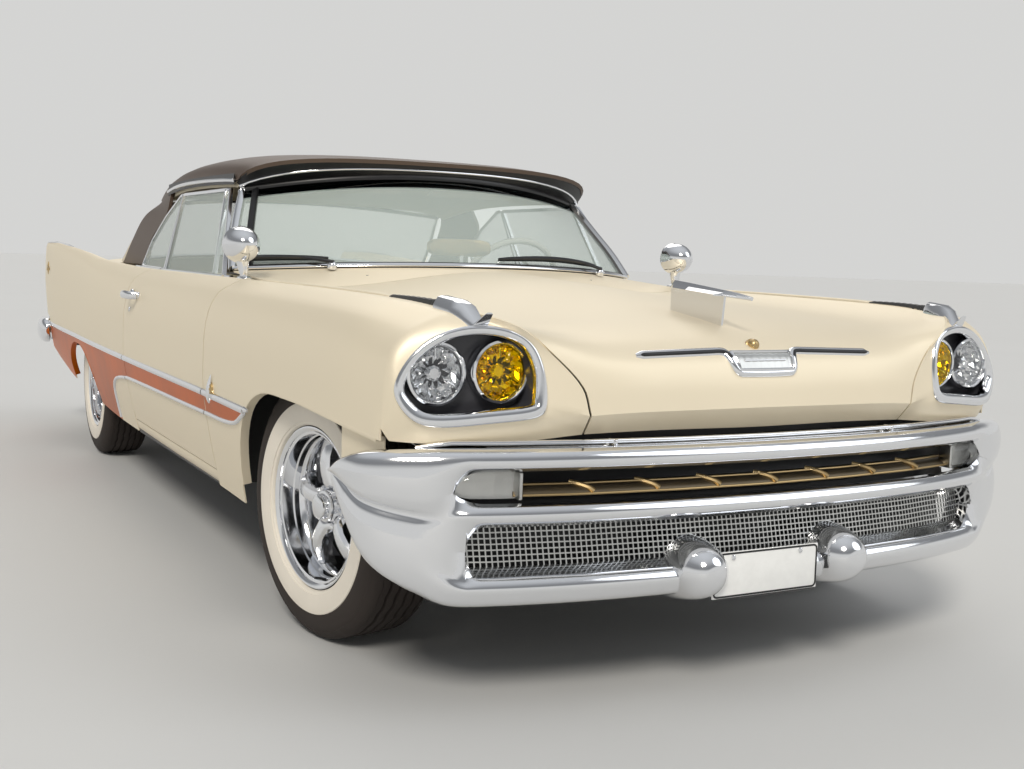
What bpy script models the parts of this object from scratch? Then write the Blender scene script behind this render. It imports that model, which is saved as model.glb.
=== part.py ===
"""A large two-door hardtop of the late 1950s with tail fins, four headlamps and a bumper grille.

Metres, +Z up. The car faces -Y, its left side is +X, and the origin is on the ground under its middle.
"""

from math import atan2, cos, pi, radians, sin, sqrt

import bmesh
import bpy
from mathutils import Matrix, Vector

# Driving dimensions
LENGTH = 5.54
WIDTH = 2.00
BELT_HEIGHT = 0.93
WHEELBASE = 3.20
FRONT_OVERHANG = 0.899
FRONT_TRACK = 1.549
REAR_TRACK = 1.516
TYRE_RADIUS = 0.348
TYRE_WIDTH = 0.215
RIM_RADIUS = 0.2125
REST_STEER = radians(9)
HALF_LENGTH = LENGTH / 2
HALF_WIDTH = WIDTH / 2
FRONT_AXLE_Y = FRONT_OVERHANG - HALF_LENGTH
REAR_AXLE_Y = FRONT_AXLE_Y + WHEELBASE

# Sheet, wall and gap sizes
SKIN = 0.012
PANEL_GAP = 0.007
SEAT_GAP = 0.0003
GLASS = 0.006
GLASS_GAP = 0.008
OVERRUN = 0.4

# Stations of the side, nose to tail. y is a share of half the length, x of half the width, z of the
# belt height. Columns: y, seam x, seam z, crest x, crest z, waist x, sill x, sill z
SIDE_shares = (
    (-0.900, 0.735, 0.965, 0.790, 0.960, 0.925, 0.880, 0.306),
    (-0.830, 0.758, 0.978, 0.825, 0.982, 0.952, 0.925, 0.306),
    (-0.675, 0.770, 0.986, 0.838, 0.992, 0.968, 0.930, 0.306),
    (-0.426, 0.788, 0.990, 0.850, 0.995, 0.972, 0.917, 0.306),
    (-0.200, 0.805, 0.993, 0.857, 0.998, 0.973, 0.914, 0.306),
    (0.018, 0.815, 0.995, 0.862, 1.000, 0.972, 0.910, 0.306),
    (0.180, 0.810, 0.998, 0.868, 1.008, 0.968, 0.903, 0.306),
    (0.343, 0.785, 1.003, 0.878, 1.028, 0.962, 0.890, 0.312),
    (0.480, 0.760, 1.008, 0.886, 1.060, 0.952, 0.887, 0.330),
    (0.650, 0.752, 1.003, 0.893, 1.090, 0.944, 0.882, 0.360),
    (0.800, 0.744, 0.985, 0.896, 1.111, 0.934, 0.872, 0.400),
    (0.935, 0.738, 0.925, 0.892, 1.113, 0.916, 0.868, 0.450),
)
DOOR_FRONT_share = -0.424
DOOR_REAR_share = 0.018
FIN_HOLLOW_share = 0.30
BROW_DROP_share = 0.048
BROW_REACH_share = 0.62
UPPER_z_share = 0.850
UPPER_REACH_share = 0.93
WAIST_z_share = 0.690
TRIM_z_share = 0.616
TRIM_TUCK_share = 0.05
LOW_z_share = 0.470
LOW_TUCK_share = 0.42

# Nose surface: its middle line and how it falls back to the sides, and the crease below the lamps
NOSE_Y_share = -0.962
NOSE_SWEEP_shares = (0.0322, 0.0289)
NOSE_LEAN = 0.18
CREASE_z_share = 0.731
NOSE_BOTTOM_z_share = 0.650

# Headlamp opening, seen from ahead: x and z shares, from the bottom inner corner round the outer side
LAMP_OPENING_shares = (
    (0.605, 0.727), (0.700, 0.717), (0.810, 0.705), (0.864, 0.713), (0.893, 0.748), (0.905, 0.787),
    (0.870, 0.856), (0.817, 0.902), (0.749, 0.924), (0.682, 0.922), (0.626, 0.900), (0.601, 0.858),
    (0.592, 0.808), (0.592, 0.752),
)
# Rim of the nose facing each point of the opening: x, y and z shares. Points 4 to 9 stand for the
# side's first station, waist to seam; points 10 to 13 and 0 run down the hood's seam
NOSE_RIM_shares = (
    (0.483, -0.940, 0.672), (0.680, -0.932, 0.655), (0.840, -0.916, 0.648), (0.895, -0.903, 0.650),
    (0.920, -0.900, 0.690), (0.914, -0.900, 0.850), (0.874, -0.900, 0.912), (0.790, -0.900, 0.960),
    (0.762, -0.900, 0.963), (0.735, -0.900, 0.965), (0.646, -0.937, 0.930), (0.566, -0.943, 0.862),
    (0.505, -0.951, 0.788), (0.488, -0.954, 0.722),
)
FENDER_STATION_shares = (-0.900, -0.830, -0.750, -0.675, -0.600, -0.520, -0.428)

# Front rows of the hood, lip upwards. Columns: middle y, z, valley x, y, z, then the rim point at its seam
HOOD_FRONT_shares = (
    (-0.946, 0.674, 0.300, -0.944, 0.676, 0),
    (-0.962, 0.731, 0.300, -0.959, 0.729, 13),
    (-0.958, 0.800, 0.320, -0.956, 0.798, 12),
    (-0.947, 0.860, 0.360, -0.946, 0.856, 11),
    (-0.917, 0.907, 0.420, -0.921, 0.898, 10),
)
# The hood's top. Columns: seam y, middle y, z, valley x, y, z
HOOD_TOP_shares = (
    (-0.900, -0.860, 0.939, 0.550, -0.868, 0.925),
    (-0.830, -0.800, 0.961, 0.585, -0.805, 0.935),
    (-0.750, -0.738, 0.980, 0.602, -0.739, 0.945),
    (-0.600, -0.600, 1.013, 0.620, -0.600, 0.959),
    (-0.442, -0.442, 1.037, 0.630, -0.442, 0.972),
)
HOOD_REAR_share = -0.442

# Rows of the trunk lid, glass to bumper, with the same columns
TRUNK_shares = (
    (0.582, 1.046, 0.450, 0.582, 1.036, 0.742, 0.582, 1.006),
    (0.686, 1.038, 0.450, 0.686, 1.028, 0.739, 0.686, 1.000),
    (0.794, 1.012, 0.450, 0.794, 1.004, 0.734, 0.794, 0.978),
    (0.874, 0.970, 0.450, 0.874, 0.964, 0.731, 0.874, 0.948),
    (0.910, 0.915, 0.450, 0.910, 0.912, 0.729, 0.908, 0.905),
    (0.930, 0.820, 0.450, 0.930, 0.820, 0.727, 0.926, 0.815),
    (0.938, 0.710, 0.450, 0.938, 0.710, 0.725, 0.934, 0.710),
)

# Rows of the roof, header to rear window. Columns: middle y, z, rail x, y, z
ROOF_shares = (
    (-0.296, 1.448, 0.704, -0.216, 1.352),
    (-0.226, 1.472, 0.709, -0.175, 1.357),
    (-0.090, 1.492, 0.714, -0.072, 1.363),
    (0.072, 1.489, 0.714, 0.050, 1.361),
    (0.200, 1.458, 0.706, 0.140, 1.346),
    (0.285, 1.407, 0.694, 0.205, 1.320),
    (0.338, 1.355, 0.684, 0.240, 1.302),
)
ROOF_PILLAR_ROWS = 3
# Levels of the rear pillar below the rail: z, x, then y at its front, middle and rear edge
PILLAR_shares = (
    (1.235, 0.736, 0.130, 0.200, 0.282),
    (1.118, 0.764, 0.190, 0.262, 0.330),
    (1.008, 0.778, 0.200, 0.290, 0.378),
)

# Rows of the two big windows, top to bottom. Columns: middle y, z, side x, y, z
WINDSHIELD_shares = (
    (-0.290, 1.388, 0.682, -0.214, 1.318),
    (-0.340, 1.270, 0.726, -0.246, 1.210),
    (-0.386, 1.150, 0.764, -0.278, 1.110),
    (-0.420, 1.056, 0.786, -0.304, 1.022),
)
REAR_WINDOW_shares = (
    (0.348, 1.345, 0.672, 0.2515, 1.292),
    (0.408, 1.270, 0.716, 0.300, 1.225),
    (0.484, 1.155, 0.748, 0.350, 1.115),
    (0.548, 1.060, 0.768, 0.396, 1.016),
)
WRAP_POWER = 2.2


def span(y_share):
    return y_share * HALF_LENGTH


def across(x_share):
    return x_share * HALF_WIDTH


def high(z_share):
    return z_share * BELT_HEIGHT


def place(x_share, y_share, z_share):
    return Vector((across(x_share), span(y_share), high(z_share)))


def material(name, color, roughness, metallic=0.0, alpha=1.0):
    found = bpy.data.materials.get(name)
    if found:
        return found
    made = bpy.data.materials.new(name)
    made.use_nodes = True
    shader = made.node_tree.nodes["Principled BSDF"]
    shader.inputs["Base Color"].default_value = (*color, 1.0)
    shader.inputs["Roughness"].default_value = roughness
    shader.inputs["Metallic"].default_value = metallic
    shader.inputs["Alpha"].default_value = alpha
    made.diffuse_color = (*color, alpha)
    return made


def ivory():
    return material("ivory_paint", (0.86, 0.76, 0.58), 0.2)


def bronze():
    return material("bronze_paint", (0.10, 0.07, 0.05), 0.25, 0.4)


def copper():
    return material("copper_paint", (0.62, 0.17, 0.03), 0.25, 0.5)


def chrome():
    return material("chrome", (0.85, 0.86, 0.88), 0.06, 1.0)


def steel():
    return material("dark_steel", (0.06, 0.06, 0.06), 0.6, 0.5)


def cast():
    return material("cast_iron", (0.20, 0.20, 0.21), 0.6, 0.8)


def rubber():
    return material("tyre_rubber", (0.03, 0.025, 0.02), 0.8)


def clear_glass():
    return material("tinted_glass", (0.75, 0.85, 0.80), 0.02, 0.0, 0.3)


def lamp_glass():
    return material("lamp_housing", (0.05, 0.05, 0.06), 0.3)


def red_lens():
    return material("red_lens", (0.5, 0.02, 0.02), 0.1)


def gold():
    return material("gold_anodised", (0.55, 0.40, 0.20), 0.3, 1.0)


def upholstery():
    return material("cream_upholstery", (0.75, 0.68, 0.52), 0.6)


def trim_plastic():
    return material("white_plastic", (0.85, 0.83, 0.78), 0.3)


def smooth_value(table, column, where):
    """Cubic between the rows of a table, whose first column is the place."""
    places = [row[0] for row in table]
    last = len(table) - 1
    where = min(max(where, places[0]), places[last])
    i = max(k for k in range(last) if places[k] <= where)
    j = i + 1

    def slope(k):
        a, b = max(k - 1, 0), min(k + 1, last)
        return (table[b][column] - table[a][column]) / (places[b] - places[a])

    width = places[j] - places[i]
    t = (where - places[i]) / width
    start, end = table[i][column], table[j][column]
    return (
        start * (1 + 2 * t) * (1 - t) ** 2
        + slope(i) * width * t * (1 - t) ** 2
        + end * t * t * (3 - 2 * t)
        - slope(j) * width * t * t * (1 - t)
    )


def side_points(y_share, inset=0.0):
    """The outer side at one station, from the seam over the crest down to the sill: (x, z) pairs."""
    seam_x, seam_z, crest_x, crest_z, waist_x, sill_x, sill_z = (
        smooth_value(SIDE_shares, column, y_share) for column in range(1, 8)
    )
    reach = waist_x - crest_x
    hollow = FIN_HOLLOW_share * max(crest_z - seam_z, 0)
    tuck = waist_x - sill_x
    shares = (
        (seam_x, seam_z),
        ((seam_x + crest_x) / 2, (seam_z + crest_z) / 2 - hollow),
        (crest_x, crest_z),
        (crest_x + BROW_REACH_share * reach, crest_z - BROW_DROP_share),
        (crest_x + UPPER_REACH_share * reach, UPPER_z_share),
        (waist_x, WAIST_z_share),
        (waist_x - TRIM_TUCK_share * tuck, TRIM_z_share),
        (waist_x - LOW_TUCK_share * tuck, LOW_z_share),
        (sill_x, sill_z),
    )
    return [(across(x) - inset, high(z)) for x, z in shares]


def new_object(name, mesh, made_of, collection="hardtop_car"):
    obj = bpy.data.objects.new(name, mesh)
    bpy.data.collections[collection].objects.link(obj)
    if made_of:
        mesh.materials.clear()
        mesh.materials.append(made_of)
    return obj


def mesh_from(bm, name):
    mesh = bpy.data.meshes.new(name)
    bm.to_mesh(mesh)
    bm.free()
    return mesh


def grid_faces(bm, rows, closed=False):
    """Quads between rows of points; closed joins each row's last point to its first."""
    made = [[bm.verts.new(point) for point in row] for row in rows]
    columns = len(rows[0])
    for low, up in zip(made, made[1:]):
        for j in range(columns if closed else columns - 1):
            k = (j + 1) % columns
            corners = (low[j], low[k], up[k], up[j])
            bm.faces.new(corners)
    return made


def outward(bm, centre):
    """Turns an open surface's faces away from a point inside the car."""
    bm.faces.ensure_lookup_table()
    bmesh.ops.recalc_face_normals(bm, faces=bm.faces)
    facing = sum((face.calc_center_median() - centre).dot(face.normal) * face.calc_area() for face in bm.faces)
    if facing < 0:
        bmesh.ops.reverse_faces(bm, faces=bm.faces)


def shell(name, grids, made_of, thickness=SKIN, centre=None, side=1, smooth=True):
    """Open surfaces, joined where their points meet, given a thickness inwards."""
    bm = bmesh.new()
    for rows in grids:
        grid_faces(bm, [[Vector((side * p[0], p[1], p[2])) for p in row] for row in rows])
    bmesh.ops.remove_doubles(bm, verts=bm.verts, dist=SEAT_GAP)
    bmesh.ops.dissolve_degenerate(bm, edges=bm.edges, dist=SEAT_GAP)
    outward(bm, centre or Vector((0, 0, high(SIDE_MIDDLE_share))))
    obj = new_object(name, mesh_from(bm, name), made_of)
    if smooth:
        obj.data.shade_smooth()
    solid = obj.modifiers.new("thickness", "SOLIDIFY")
    solid.thickness = thickness
    solid.offset = -1
    solid.use_even_offset = False
    return obj


SIDE_MIDDLE_share = 0.6


def loft(name, rings, made_of, smooth=False, collection="hardtop_car"):
    """Closed sections joined in order, with both ends capped."""
    bm = bmesh.new()
    made = grid_faces(bm, rings, closed=True)
    bm.faces.new(made[0])
    bm.faces.new(made[-1])
    bmesh.ops.recalc_face_normals(bm, faces=bm.faces)
    obj = new_object(name, mesh_from(bm, name), made_of, collection)
    if smooth:
        obj.data.shade_smooth()
        obj.data.set_sharp_from_angle(angle=radians(40))
    return obj


def block(name, low, up, made_of, collection="hardtop_car"):
    """A box between two corners."""
    bm = bmesh.new()
    bmesh.ops.create_cube(bm, size=1)
    low, up = Vector(low), Vector(up)
    bmesh.ops.scale(bm, vec=up - low, verts=bm.verts)
    bmesh.ops.translate(bm, vec=(low + up) / 2, verts=bm.verts)
    return new_object(name, mesh_from(bm, name), made_of, collection)


def rod(name, start, end, radius, made_of, end_radius=None, sides=16, collection="hardtop_car"):
    """A cylinder or cone between two points."""
    start, end = Vector(start), Vector(end)
    bm = bmesh.new()
    bmesh.ops.create_cone(
        bm,
        cap_ends=True,
        segments=sides,
        radius1=radius,
        radius2=radius if end_radius is None else end_radius,
        depth=(end - start).length,
    )
    turn = (end - start).to_track_quat("Z", "Y").to_matrix().to_4x4()
    bmesh.ops.transform(bm, matrix=Matrix.Translation((start + end) / 2) @ turn, verts=bm.verts)
    obj = new_object(name, mesh_from(bm, name), made_of, collection)
    obj.data.shade_smooth()
    obj.data.set_sharp_from_angle(angle=radians(40))
    return obj


def cut_or_join(target, other, operation):
    """A Boolean that keeps its helper in the cutters' collection."""
    if other.name in bpy.data.collections["hardtop_car"].objects:
        bpy.data.collections["hardtop_car"].objects.unlink(other)
        bpy.data.collections["cutters"].objects.link(other)
    other.hide_render = True
    other.display_type = "WIRE"
    made = target.modifiers.new(other.name, "BOOLEAN")
    made.operation = operation
    made.object = other
    made.solver = "EXACT"
    return target


def cut(target, cutter):
    return cut_or_join(target, cutter, "DIFFERENCE")


def join(target, *others):
    for other in others:
        cut_or_join(target, other, "UNION")
    return target


def turned(name, profile, steps, made_of, collection="hardtop_car", closed=False):
    """A profile of (x, radius) pairs turned round the X axis through the object's origin."""
    mesh = bpy.data.meshes.new(name)
    points = [(along, 0, -radius) for along, radius in profile]
    count = len(points)
    mesh.from_pydata(points, [(i, (i + 1) % count) for i in range(count if closed else count - 1)], [])
    obj = new_object(name, mesh, made_of, collection)
    screw = obj.modifiers.new("turn", "SCREW")
    screw.axis = "X"
    screw.steps = steps
    screw.render_steps = steps
    screw.use_merge_vertices = True
    screw.merge_threshold = SCREW_MERGE
    screw.use_smooth_shade = True
    return obj


SCREW_MERGE = 0.0001


def extruded(name, outline, low_x, high_x, collection="cutters"):
    """A flat (y, z) outline carried from one x to another, as a mesh made from a filled curve."""
    curve = bpy.data.curves.new(name + "_outline", "CURVE")
    curve.dimensions = "2D"
    curve.fill_mode = "BOTH"
    curve.extrude = (high_x - low_x) / 2
    line = curve.splines.new("POLY")
    line.points.add(len(outline) - 1)
    for point, (y, z) in zip(line.points, outline):
        point.co = (y, z, 0, 1)
    line.use_cyclic_u = True
    guide = bpy.data.objects.new(name + "_guide", curve)
    bpy.data.collections["cutters"].objects.link(guide)
    # Curve axes x, y, z become y, z, x of the car
    guide.matrix_world = Matrix(
        ((0, 0, 1, (low_x + high_x) / 2), (1, 0, 0, 0), (0, 1, 0, 0), (0, 0, 0, 1))
    )
    bpy.context.view_layer.update()
    graph = bpy.context.evaluated_depsgraph_get()
    mesh = bpy.data.meshes.new_from_object(guide.evaluated_get(graph))
    bm = bmesh.new()
    bm.from_mesh(mesh)
    bmesh.ops.remove_doubles(bm, verts=bm.verts, dist=SCREW_MERGE)
    bmesh.ops.transform(bm, matrix=guide.matrix_world, verts=bm.verts)
    bmesh.ops.recalc_face_normals(bm, faces=bm.faces)
    bm.to_mesh(mesh)
    bm.free()
    bpy.data.objects.remove(guide)
    made = new_object(name, mesh, None, collection)
    if collection == "cutters":
        made.hide_render = True
        made.display_type = "WIRE"
    return made


# Wheel arches: half the opening, its top, how square its corners are
FRONT_ARCH_HALF = 0.390
FRONT_ARCH_TOP = 0.630
REAR_ARCH_HALF = 0.390
REAR_ARCH_TOP = 0.547
ARCH_FOOT = 0.22
ARCH_POINTS = 10
ARCH_POWER = 2.4


def arch_outline(centre_y, half, top):
    """A wheel opening, squarer than a circle."""
    points = [(centre_y + half, -OVERRUN), (centre_y + half, ARCH_FOOT)]
    for i in range(1, ARCH_POINTS):
        angle = pi * i / ARCH_POINTS
        c, s = cos(angle), sin(angle)
        across_part = abs(c) ** (2 / ARCH_POWER) * (1 if c > 0 else -1)
        points.append((centre_y + half * across_part, ARCH_FOOT + (top - ARCH_FOOT) * s ** (2 / ARCH_POWER)))
    points += [(centre_y - half, ARCH_FOOT), (centre_y - half, -OVERRUN)]
    return points


NOSE_CUT_z_share = 0.656


def front_cutter(side):
    """The front wheel opening, with the open stretch ahead of it that the bumper's end fills."""
    outline = arch_outline(FRONT_AXLE_Y, FRONT_ARCH_HALF, FRONT_ARCH_TOP)
    half_way = len(outline) // 2 + 1
    ahead = -HALF_LENGTH - OVERRUN
    level = high(NOSE_CUT_z_share)
    outline = [p for p in outline[:half_way + 1] if p[0] > FRONT_AXLE_Y - FRONT_ARCH_HALF / 2]
    outline += [(FRONT_AXLE_Y - FRONT_ARCH_HALF / 2, level), (ahead, level), (ahead, -OVERRUN)]
    low, up = sorted((side * across(ARCH_INNER_share), side * (HALF_WIDTH + OVERRUN)))
    return extruded(f"front_arch_cut_{side}", outline, low, up)


ARCH_INNER_share = 0.30


def side_name(stem, side):
    return f"{stem}_{'left' if side > 0 else 'right'}"


def front_fender(side):
    """Wing from the lamp opening to the door, with the strip under the lamps."""
    length = [[(x, span(s), z) for x, z in side_points(s)] for s in FENDER_STATION_shares]
    rim = [place(*p) for p in NOSE_RIM_shares]
    opening = [Vector((across(x), nose_y(across(x), high(z)), high(z))) for x, z in LAMP_OPENING_shares]
    # The rim's points 4 to 9 are the side's first station, waist to seam
    first = length[0]
    for k, column in zip(range(4, 10), (5, 4, 3, 2, 1, 0)):
        rim[k] = Vector(first[column])
    middle = [(a * NOSE_MIX_share + b * (1 - NOSE_MIX_share)) for a, b in zip(rim, opening)]
    middle = [Vector((p.x, min(p.y, nose_y(p.x, p.z) + NOSE_PROUD), p.z)) if 0 < k < 4 else p
              for k, p in enumerate(middle)]
    flange = [p + Vector((0, LAMP_FLANGE, 0)) for p in opening]
    loop = [ring + ring[:1] for ring in (rim, middle, opening, flange)]
    made = shell(side_name("front_fender", side), [length, loop], ivory(), side=side,
                 centre=Vector((0, FRONT_AXLE_Y, high(SIDE_MIDDLE_share))))
    return cut(made, front_cutter(side))


def lamp_ring(side, draw, depth):
    """The lamp opening's outline drawn in towards its middle, some way behind the nose."""
    mid_x, mid_z = POD_CENTRE_shares
    ring = []
    for x, z in LAMP_OPENING_shares:
        px, pz = across(mid_x + (x - mid_x) * draw), high(mid_z + (z - mid_z) * draw)
        ring.append(Vector((side * px, nose_y(px, pz) + depth, pz)))
    return ring


NOSE_MIX_share = 0.5
NOSE_PROUD = 0.004
LAMP_FLANGE = 0.022


def nose_y(x, z):
    """Depth of the nose surface at a place seen from ahead."""
    share = abs(x) / HALF_WIDTH
    sweep = NOSE_SWEEP_shares[0] * share ** 2 + NOSE_SWEEP_shares[1] * share ** 4
    lean = NOSE_LEAN * (z - high(CREASE_z_share))
    return span(NOSE_Y_share + sweep) + lean


def seam_row(columns, middle, valley, seam):
    """One row from seam to seam through the middle and the valley beside it, all (x, y, z)."""
    row = []
    for k in range(-columns, columns + 1):
        x = abs(k) / columns * seam[0]
        near, far = (middle, valley) if x <= valley[0] else (valley, seam)
        t = ((x - near[0]) / (far[0] - near[0])) ** 2
        row.append(Vector((x if k > 0 else -x, near[1] + (far[1] - near[1]) * t, near[2] + (far[2] - near[2]) * t)))
    return row


# How the gap round the hood's nose runs: inwards, back and up
HOOD_EDGE_shares = (-1.6, 2.4, 1.2)
HOOD_CORNER_GAPS = 1.7
HOOD_COLUMNS = 5
TRUNK_COLUMNS = 4


def hood():
    """The bonnet, which turns down into the upper nose."""
    rows = []
    for mid_y, mid_z, val_x, val_y, val_z, rim in HOOD_FRONT_shares:
        seam = place(*NOSE_RIM_shares[rim]) + PANEL_GAP * Vector(HOOD_EDGE_shares)
        rows.append(seam_row(HOOD_COLUMNS, place(0, mid_y, mid_z), place(val_x, val_y, val_z), seam))
    for station in FENDER_STATION_shares[:-1] + (HOOD_REAR_share,):
        mid_y, mid_z, val_x, val_y, val_z = (smooth_value(HOOD_TOP_shares, k, station) for k in range(1, 6))
        seam_x, seam_z = side_points(station)[0]
        gap = PANEL_GAP * (HOOD_CORNER_GAPS if station == FENDER_STATION_shares[0] else 1)
        seam = Vector((seam_x - gap, span(station), seam_z))
        rows.append(seam_row(HOOD_COLUMNS, place(0, mid_y, mid_z), place(val_x, val_y, val_z), seam))
    return shell("hood", [rows], ivory(), centre=Vector((0, FRONT_AXLE_Y, high(SIDE_MIDDLE_share))))


def trunk_lid():
    rows = [
        seam_row(TRUNK_COLUMNS, place(0, mid_y, mid_z), place(val_x, val_y, val_z), place(x, y, z))
        for mid_y, mid_z, val_x, val_y, val_z, x, y, z in TRUNK_shares
    ]
    return shell("trunk_lid", [rows], ivory(), centre=Vector((0, REAR_AXLE_Y, high(SIDE_MIDDLE_share))))


# Doors and the cabin's side walls
DOOR_INNER_x = 0.800
DOOR_TOP_DROP = 0.002
DOOR_BOTTOM_z = 0.332
DOOR_REAR_SLANT = 0.022
WALL_INNER_TOP = 0.010


def wall_ring(y_share, bottom, slant, side):
    """A thick wall's section: the outer skin, then a flat inner face."""
    y = span(y_share)
    outer = side_points(y_share)
    sill_x, sill_z = outer[-1]
    low_x, low_z = outer[-2]
    t = (bottom - sill_z) / (low_z - sill_z)
    outer[-1] = (sill_x + (low_x - sill_x) * t, bottom)
    ring = [Vector((side * x, y, z)) for x, z in outer]
    ring.append(Vector((side * DOOR_INNER_x, y - slant, bottom)))
    ring.append(Vector((side * DOOR_INNER_x, y - slant, high(WAIST_z_share))))
    ring.append(Vector((side * DOOR_INNER_x, y - slant, outer[0][1] - DOOR_TOP_DROP)))
    return ring


def door(side):
    front, rear = DOOR_FRONT_share, DOOR_REAR_share
    stations = [front + (rear - front) * k / 4 for k in range(5)]
    slants = [0, 0, 0, 0, DOOR_REAR_SLANT]
    rings = [wall_ring(s, DOOR_BOTTOM_z, slant, side) for s, slant in zip(stations, slants)]
    return loft(side_name("door", side), rings, ivory(), smooth=True)


QUARTER_WALL_shares = (0.0205, 0.10, 0.20, 0.300)


def quarter_panel(side):
    """Rear wing with its fin, and the thick wall beside the rear seat."""
    stations = (0.0205, 0.10, 0.18, 0.26, 0.343, 0.41, 0.48, 0.57, 0.65, 0.73, 0.80, 0.87, 0.935)
    length = [[(x, span(s), z) for x, z in side_points(s)] for s in stations]
    made = shell(side_name("quarter_panel", side), [length], ivory(), side=side,
                 centre=Vector((0, REAR_AXLE_Y, high(SIDE_MIDDLE_share))))
    wall = loft(f"quarter_wall_{side}", [wall_ring_inside(s, side) for s in QUARTER_WALL_shares], None)
    join(made, wall)
    low, up = sorted((side * across(QUARTER_CUT_share), side * (HALF_WIDTH + OVERRUN)))
    outline = arch_outline(REAR_AXLE_Y, REAR_ARCH_HALF, REAR_ARCH_TOP)
    cut(made, extruded(f"rear_arch_cut_{side}", outline, low, up))
    return cut(made, extruded(f"quarter_end_cut_{side}", QUARTER_END, low, up))


# What is taken off below the tail lamp, where the bumper's end comes round: (y, z)
QUARTER_END = ((2.318, -0.4), (2.318, 0.610), (2.430, 0.630), (2.600, 0.820), (3.000, 0.820), (3.000, -0.400))


QUARTER_CUT_share = 0.6
WALL_SINK = 0.006
WALL_LIP = 0.003


def wall_ring_inside(y_share, side):
    """The same wall kept just under the skin, so that the two join."""
    ring = wall_ring(y_share, high(QUARTER_FOOT_share), 0, side)
    moved = [ring[0] + Vector((-side * WALL_LIP, 0, -WALL_LIP / 2))]
    for point in ring[1:]:
        x = abs(point.x)
        inner = x <= DOOR_INNER_x
        moved.append(Vector((side * (x if inner else x - WALL_SINK), point.y, point.z - (0 if inner else WALL_SINK))))
    return moved


QUARTER_FOOT_share = 0.345


def roof():
    """Top, and the two rear pillars that run down from its rear corners."""
    top = []
    half = ROOF_COLUMNS
    for mid_y, mid_z, rail_x, rail_y, rail_z in ROOF_shares:
        row = []
        for k in range(-half, half + 1):
            u = abs(k) / half
            bend = sin(u * pi / 2)
            drop = u ** ROOF_POWER
            x = bend * rail_x
            y = mid_y + (rail_y - mid_y) * u ** 2
            z = mid_z + (rail_z - mid_z) * drop
            row.append(place(x if k > 0 else -x, y, z))
        top.append(row)
    grids = [top]
    for side in (-1, 1):
        edge = [row[-1 if side > 0 else 0] for row in top[-ROOF_PILLAR_ROWS:]]
        levels = [edge]
        for z, x, front, middle, rear in PILLAR_shares:
            levels.append([place(side * x, y, z) for y in (front, middle, rear)])
        grids.append(levels)
    return shell("roof", grids, bronze(), thickness=ROOF_SKIN, centre=Vector((0, 0, high(1))))


ROOF_COLUMNS = 5
ROOF_POWER = 3.0
ROOF_SKIN = 0.020


def window_rows(table, half, inset=0.0):
    rows = []
    for mid_y, mid_z, side_x, side_y, side_z in table:
        row = []
        for k in range(-half, half + 1):
            u = abs(k) / half
            x = side_x * u * (1 - inset)
            wrap = u ** WRAP_POWER
            row.append(place(x if k > 0 else -x, mid_y + (side_y - mid_y) * wrap, mid_z + (side_z - mid_z) * wrap))
        rows.append(row)
    return rows


WINDOW_COLUMNS = 6


def windshield():
    return shell("windshield", [window_rows(WINDSHIELD_shares, WINDOW_COLUMNS)], clear_glass(), thickness=GLASS,
                 centre=Vector((0, 0, high(1))))


def rear_window():
    return shell("rear_window", [window_rows(REAR_WINDOW_shares, WINDOW_COLUMNS)], clear_glass(), thickness=GLASS,
                 centre=Vector((0, 0, high(1))))


# Side glass: (y, z, x) shares of its corners, going round from the front foot
DOOR_GLASS_shares = ((-0.292, 0, 0.808), (0.008, 0, 0.808), (0.034, 1.316, 0.722), (-0.204, 1.316, 0.718))
QUARTER_GLASS_shares = (
    (0.0225, 0, 0.806), (0.185, 0, 0.798), (0.178, 1.118, 0.760), (0.122, 1.225, 0.737),
    (0.052, 1.312, 0.721), (0.0385, 1.316, 0.721),
)
PANE_SEAT = 0.0012


def pane_corner(y_share, z_share, x_share, side):
    """A corner whose z share is zero stands on the belt there."""
    corner = place(side * x_share, y_share, z_share)
    if not z_share:
        corner.z = side_points(y_share)[0][1] + PANE_SEAT
    return corner


def flat_pane(name, corners, side):
    bm = bmesh.new()
    face = [bm.verts.new(pane_corner(y, z, x, side)) for y, z, x in corners]
    bm.faces.new(face)
    bmesh.ops.triangulate(bm, faces=bm.faces)
    outward(bm, Vector((0, 0, high(1))))
    obj = new_object(name, mesh_from(bm, name), clear_glass())
    solid = obj.modifiers.new("thickness", "SOLIDIFY")
    solid.thickness = GLASS
    solid.offset = 0
    return obj


def door_glass(side):
    return flat_pane(side_name("door_glass", side), DOOR_GLASS_shares, side)


def quarter_glass(side):
    return flat_pane(side_name("quarter_glass", side), QUARTER_GLASS_shares, side)


COWL_FRONT_share = -0.4395
COWL_SINK = 0.010
FIREWALL = ((-0.900, -1.2150, 0.300), (0.900, -1.1960, 0.860))
FIREWALL_TOP = ((-0.760, -1.2140, 0.800), (0.760, -1.1970, 0.897))
FLOOR_TOP = 0.2975
PILLAR_RADIUS = 0.009
PILLAR_FOOT = (0.790, -0.832, 0.915)
PILLAR_HEAD = (0.7086, -0.583, 1.228)
PILLAR_BASE = ((0.762, -0.870, 0.902), (0.7945, -0.820, 0.934))


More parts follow.
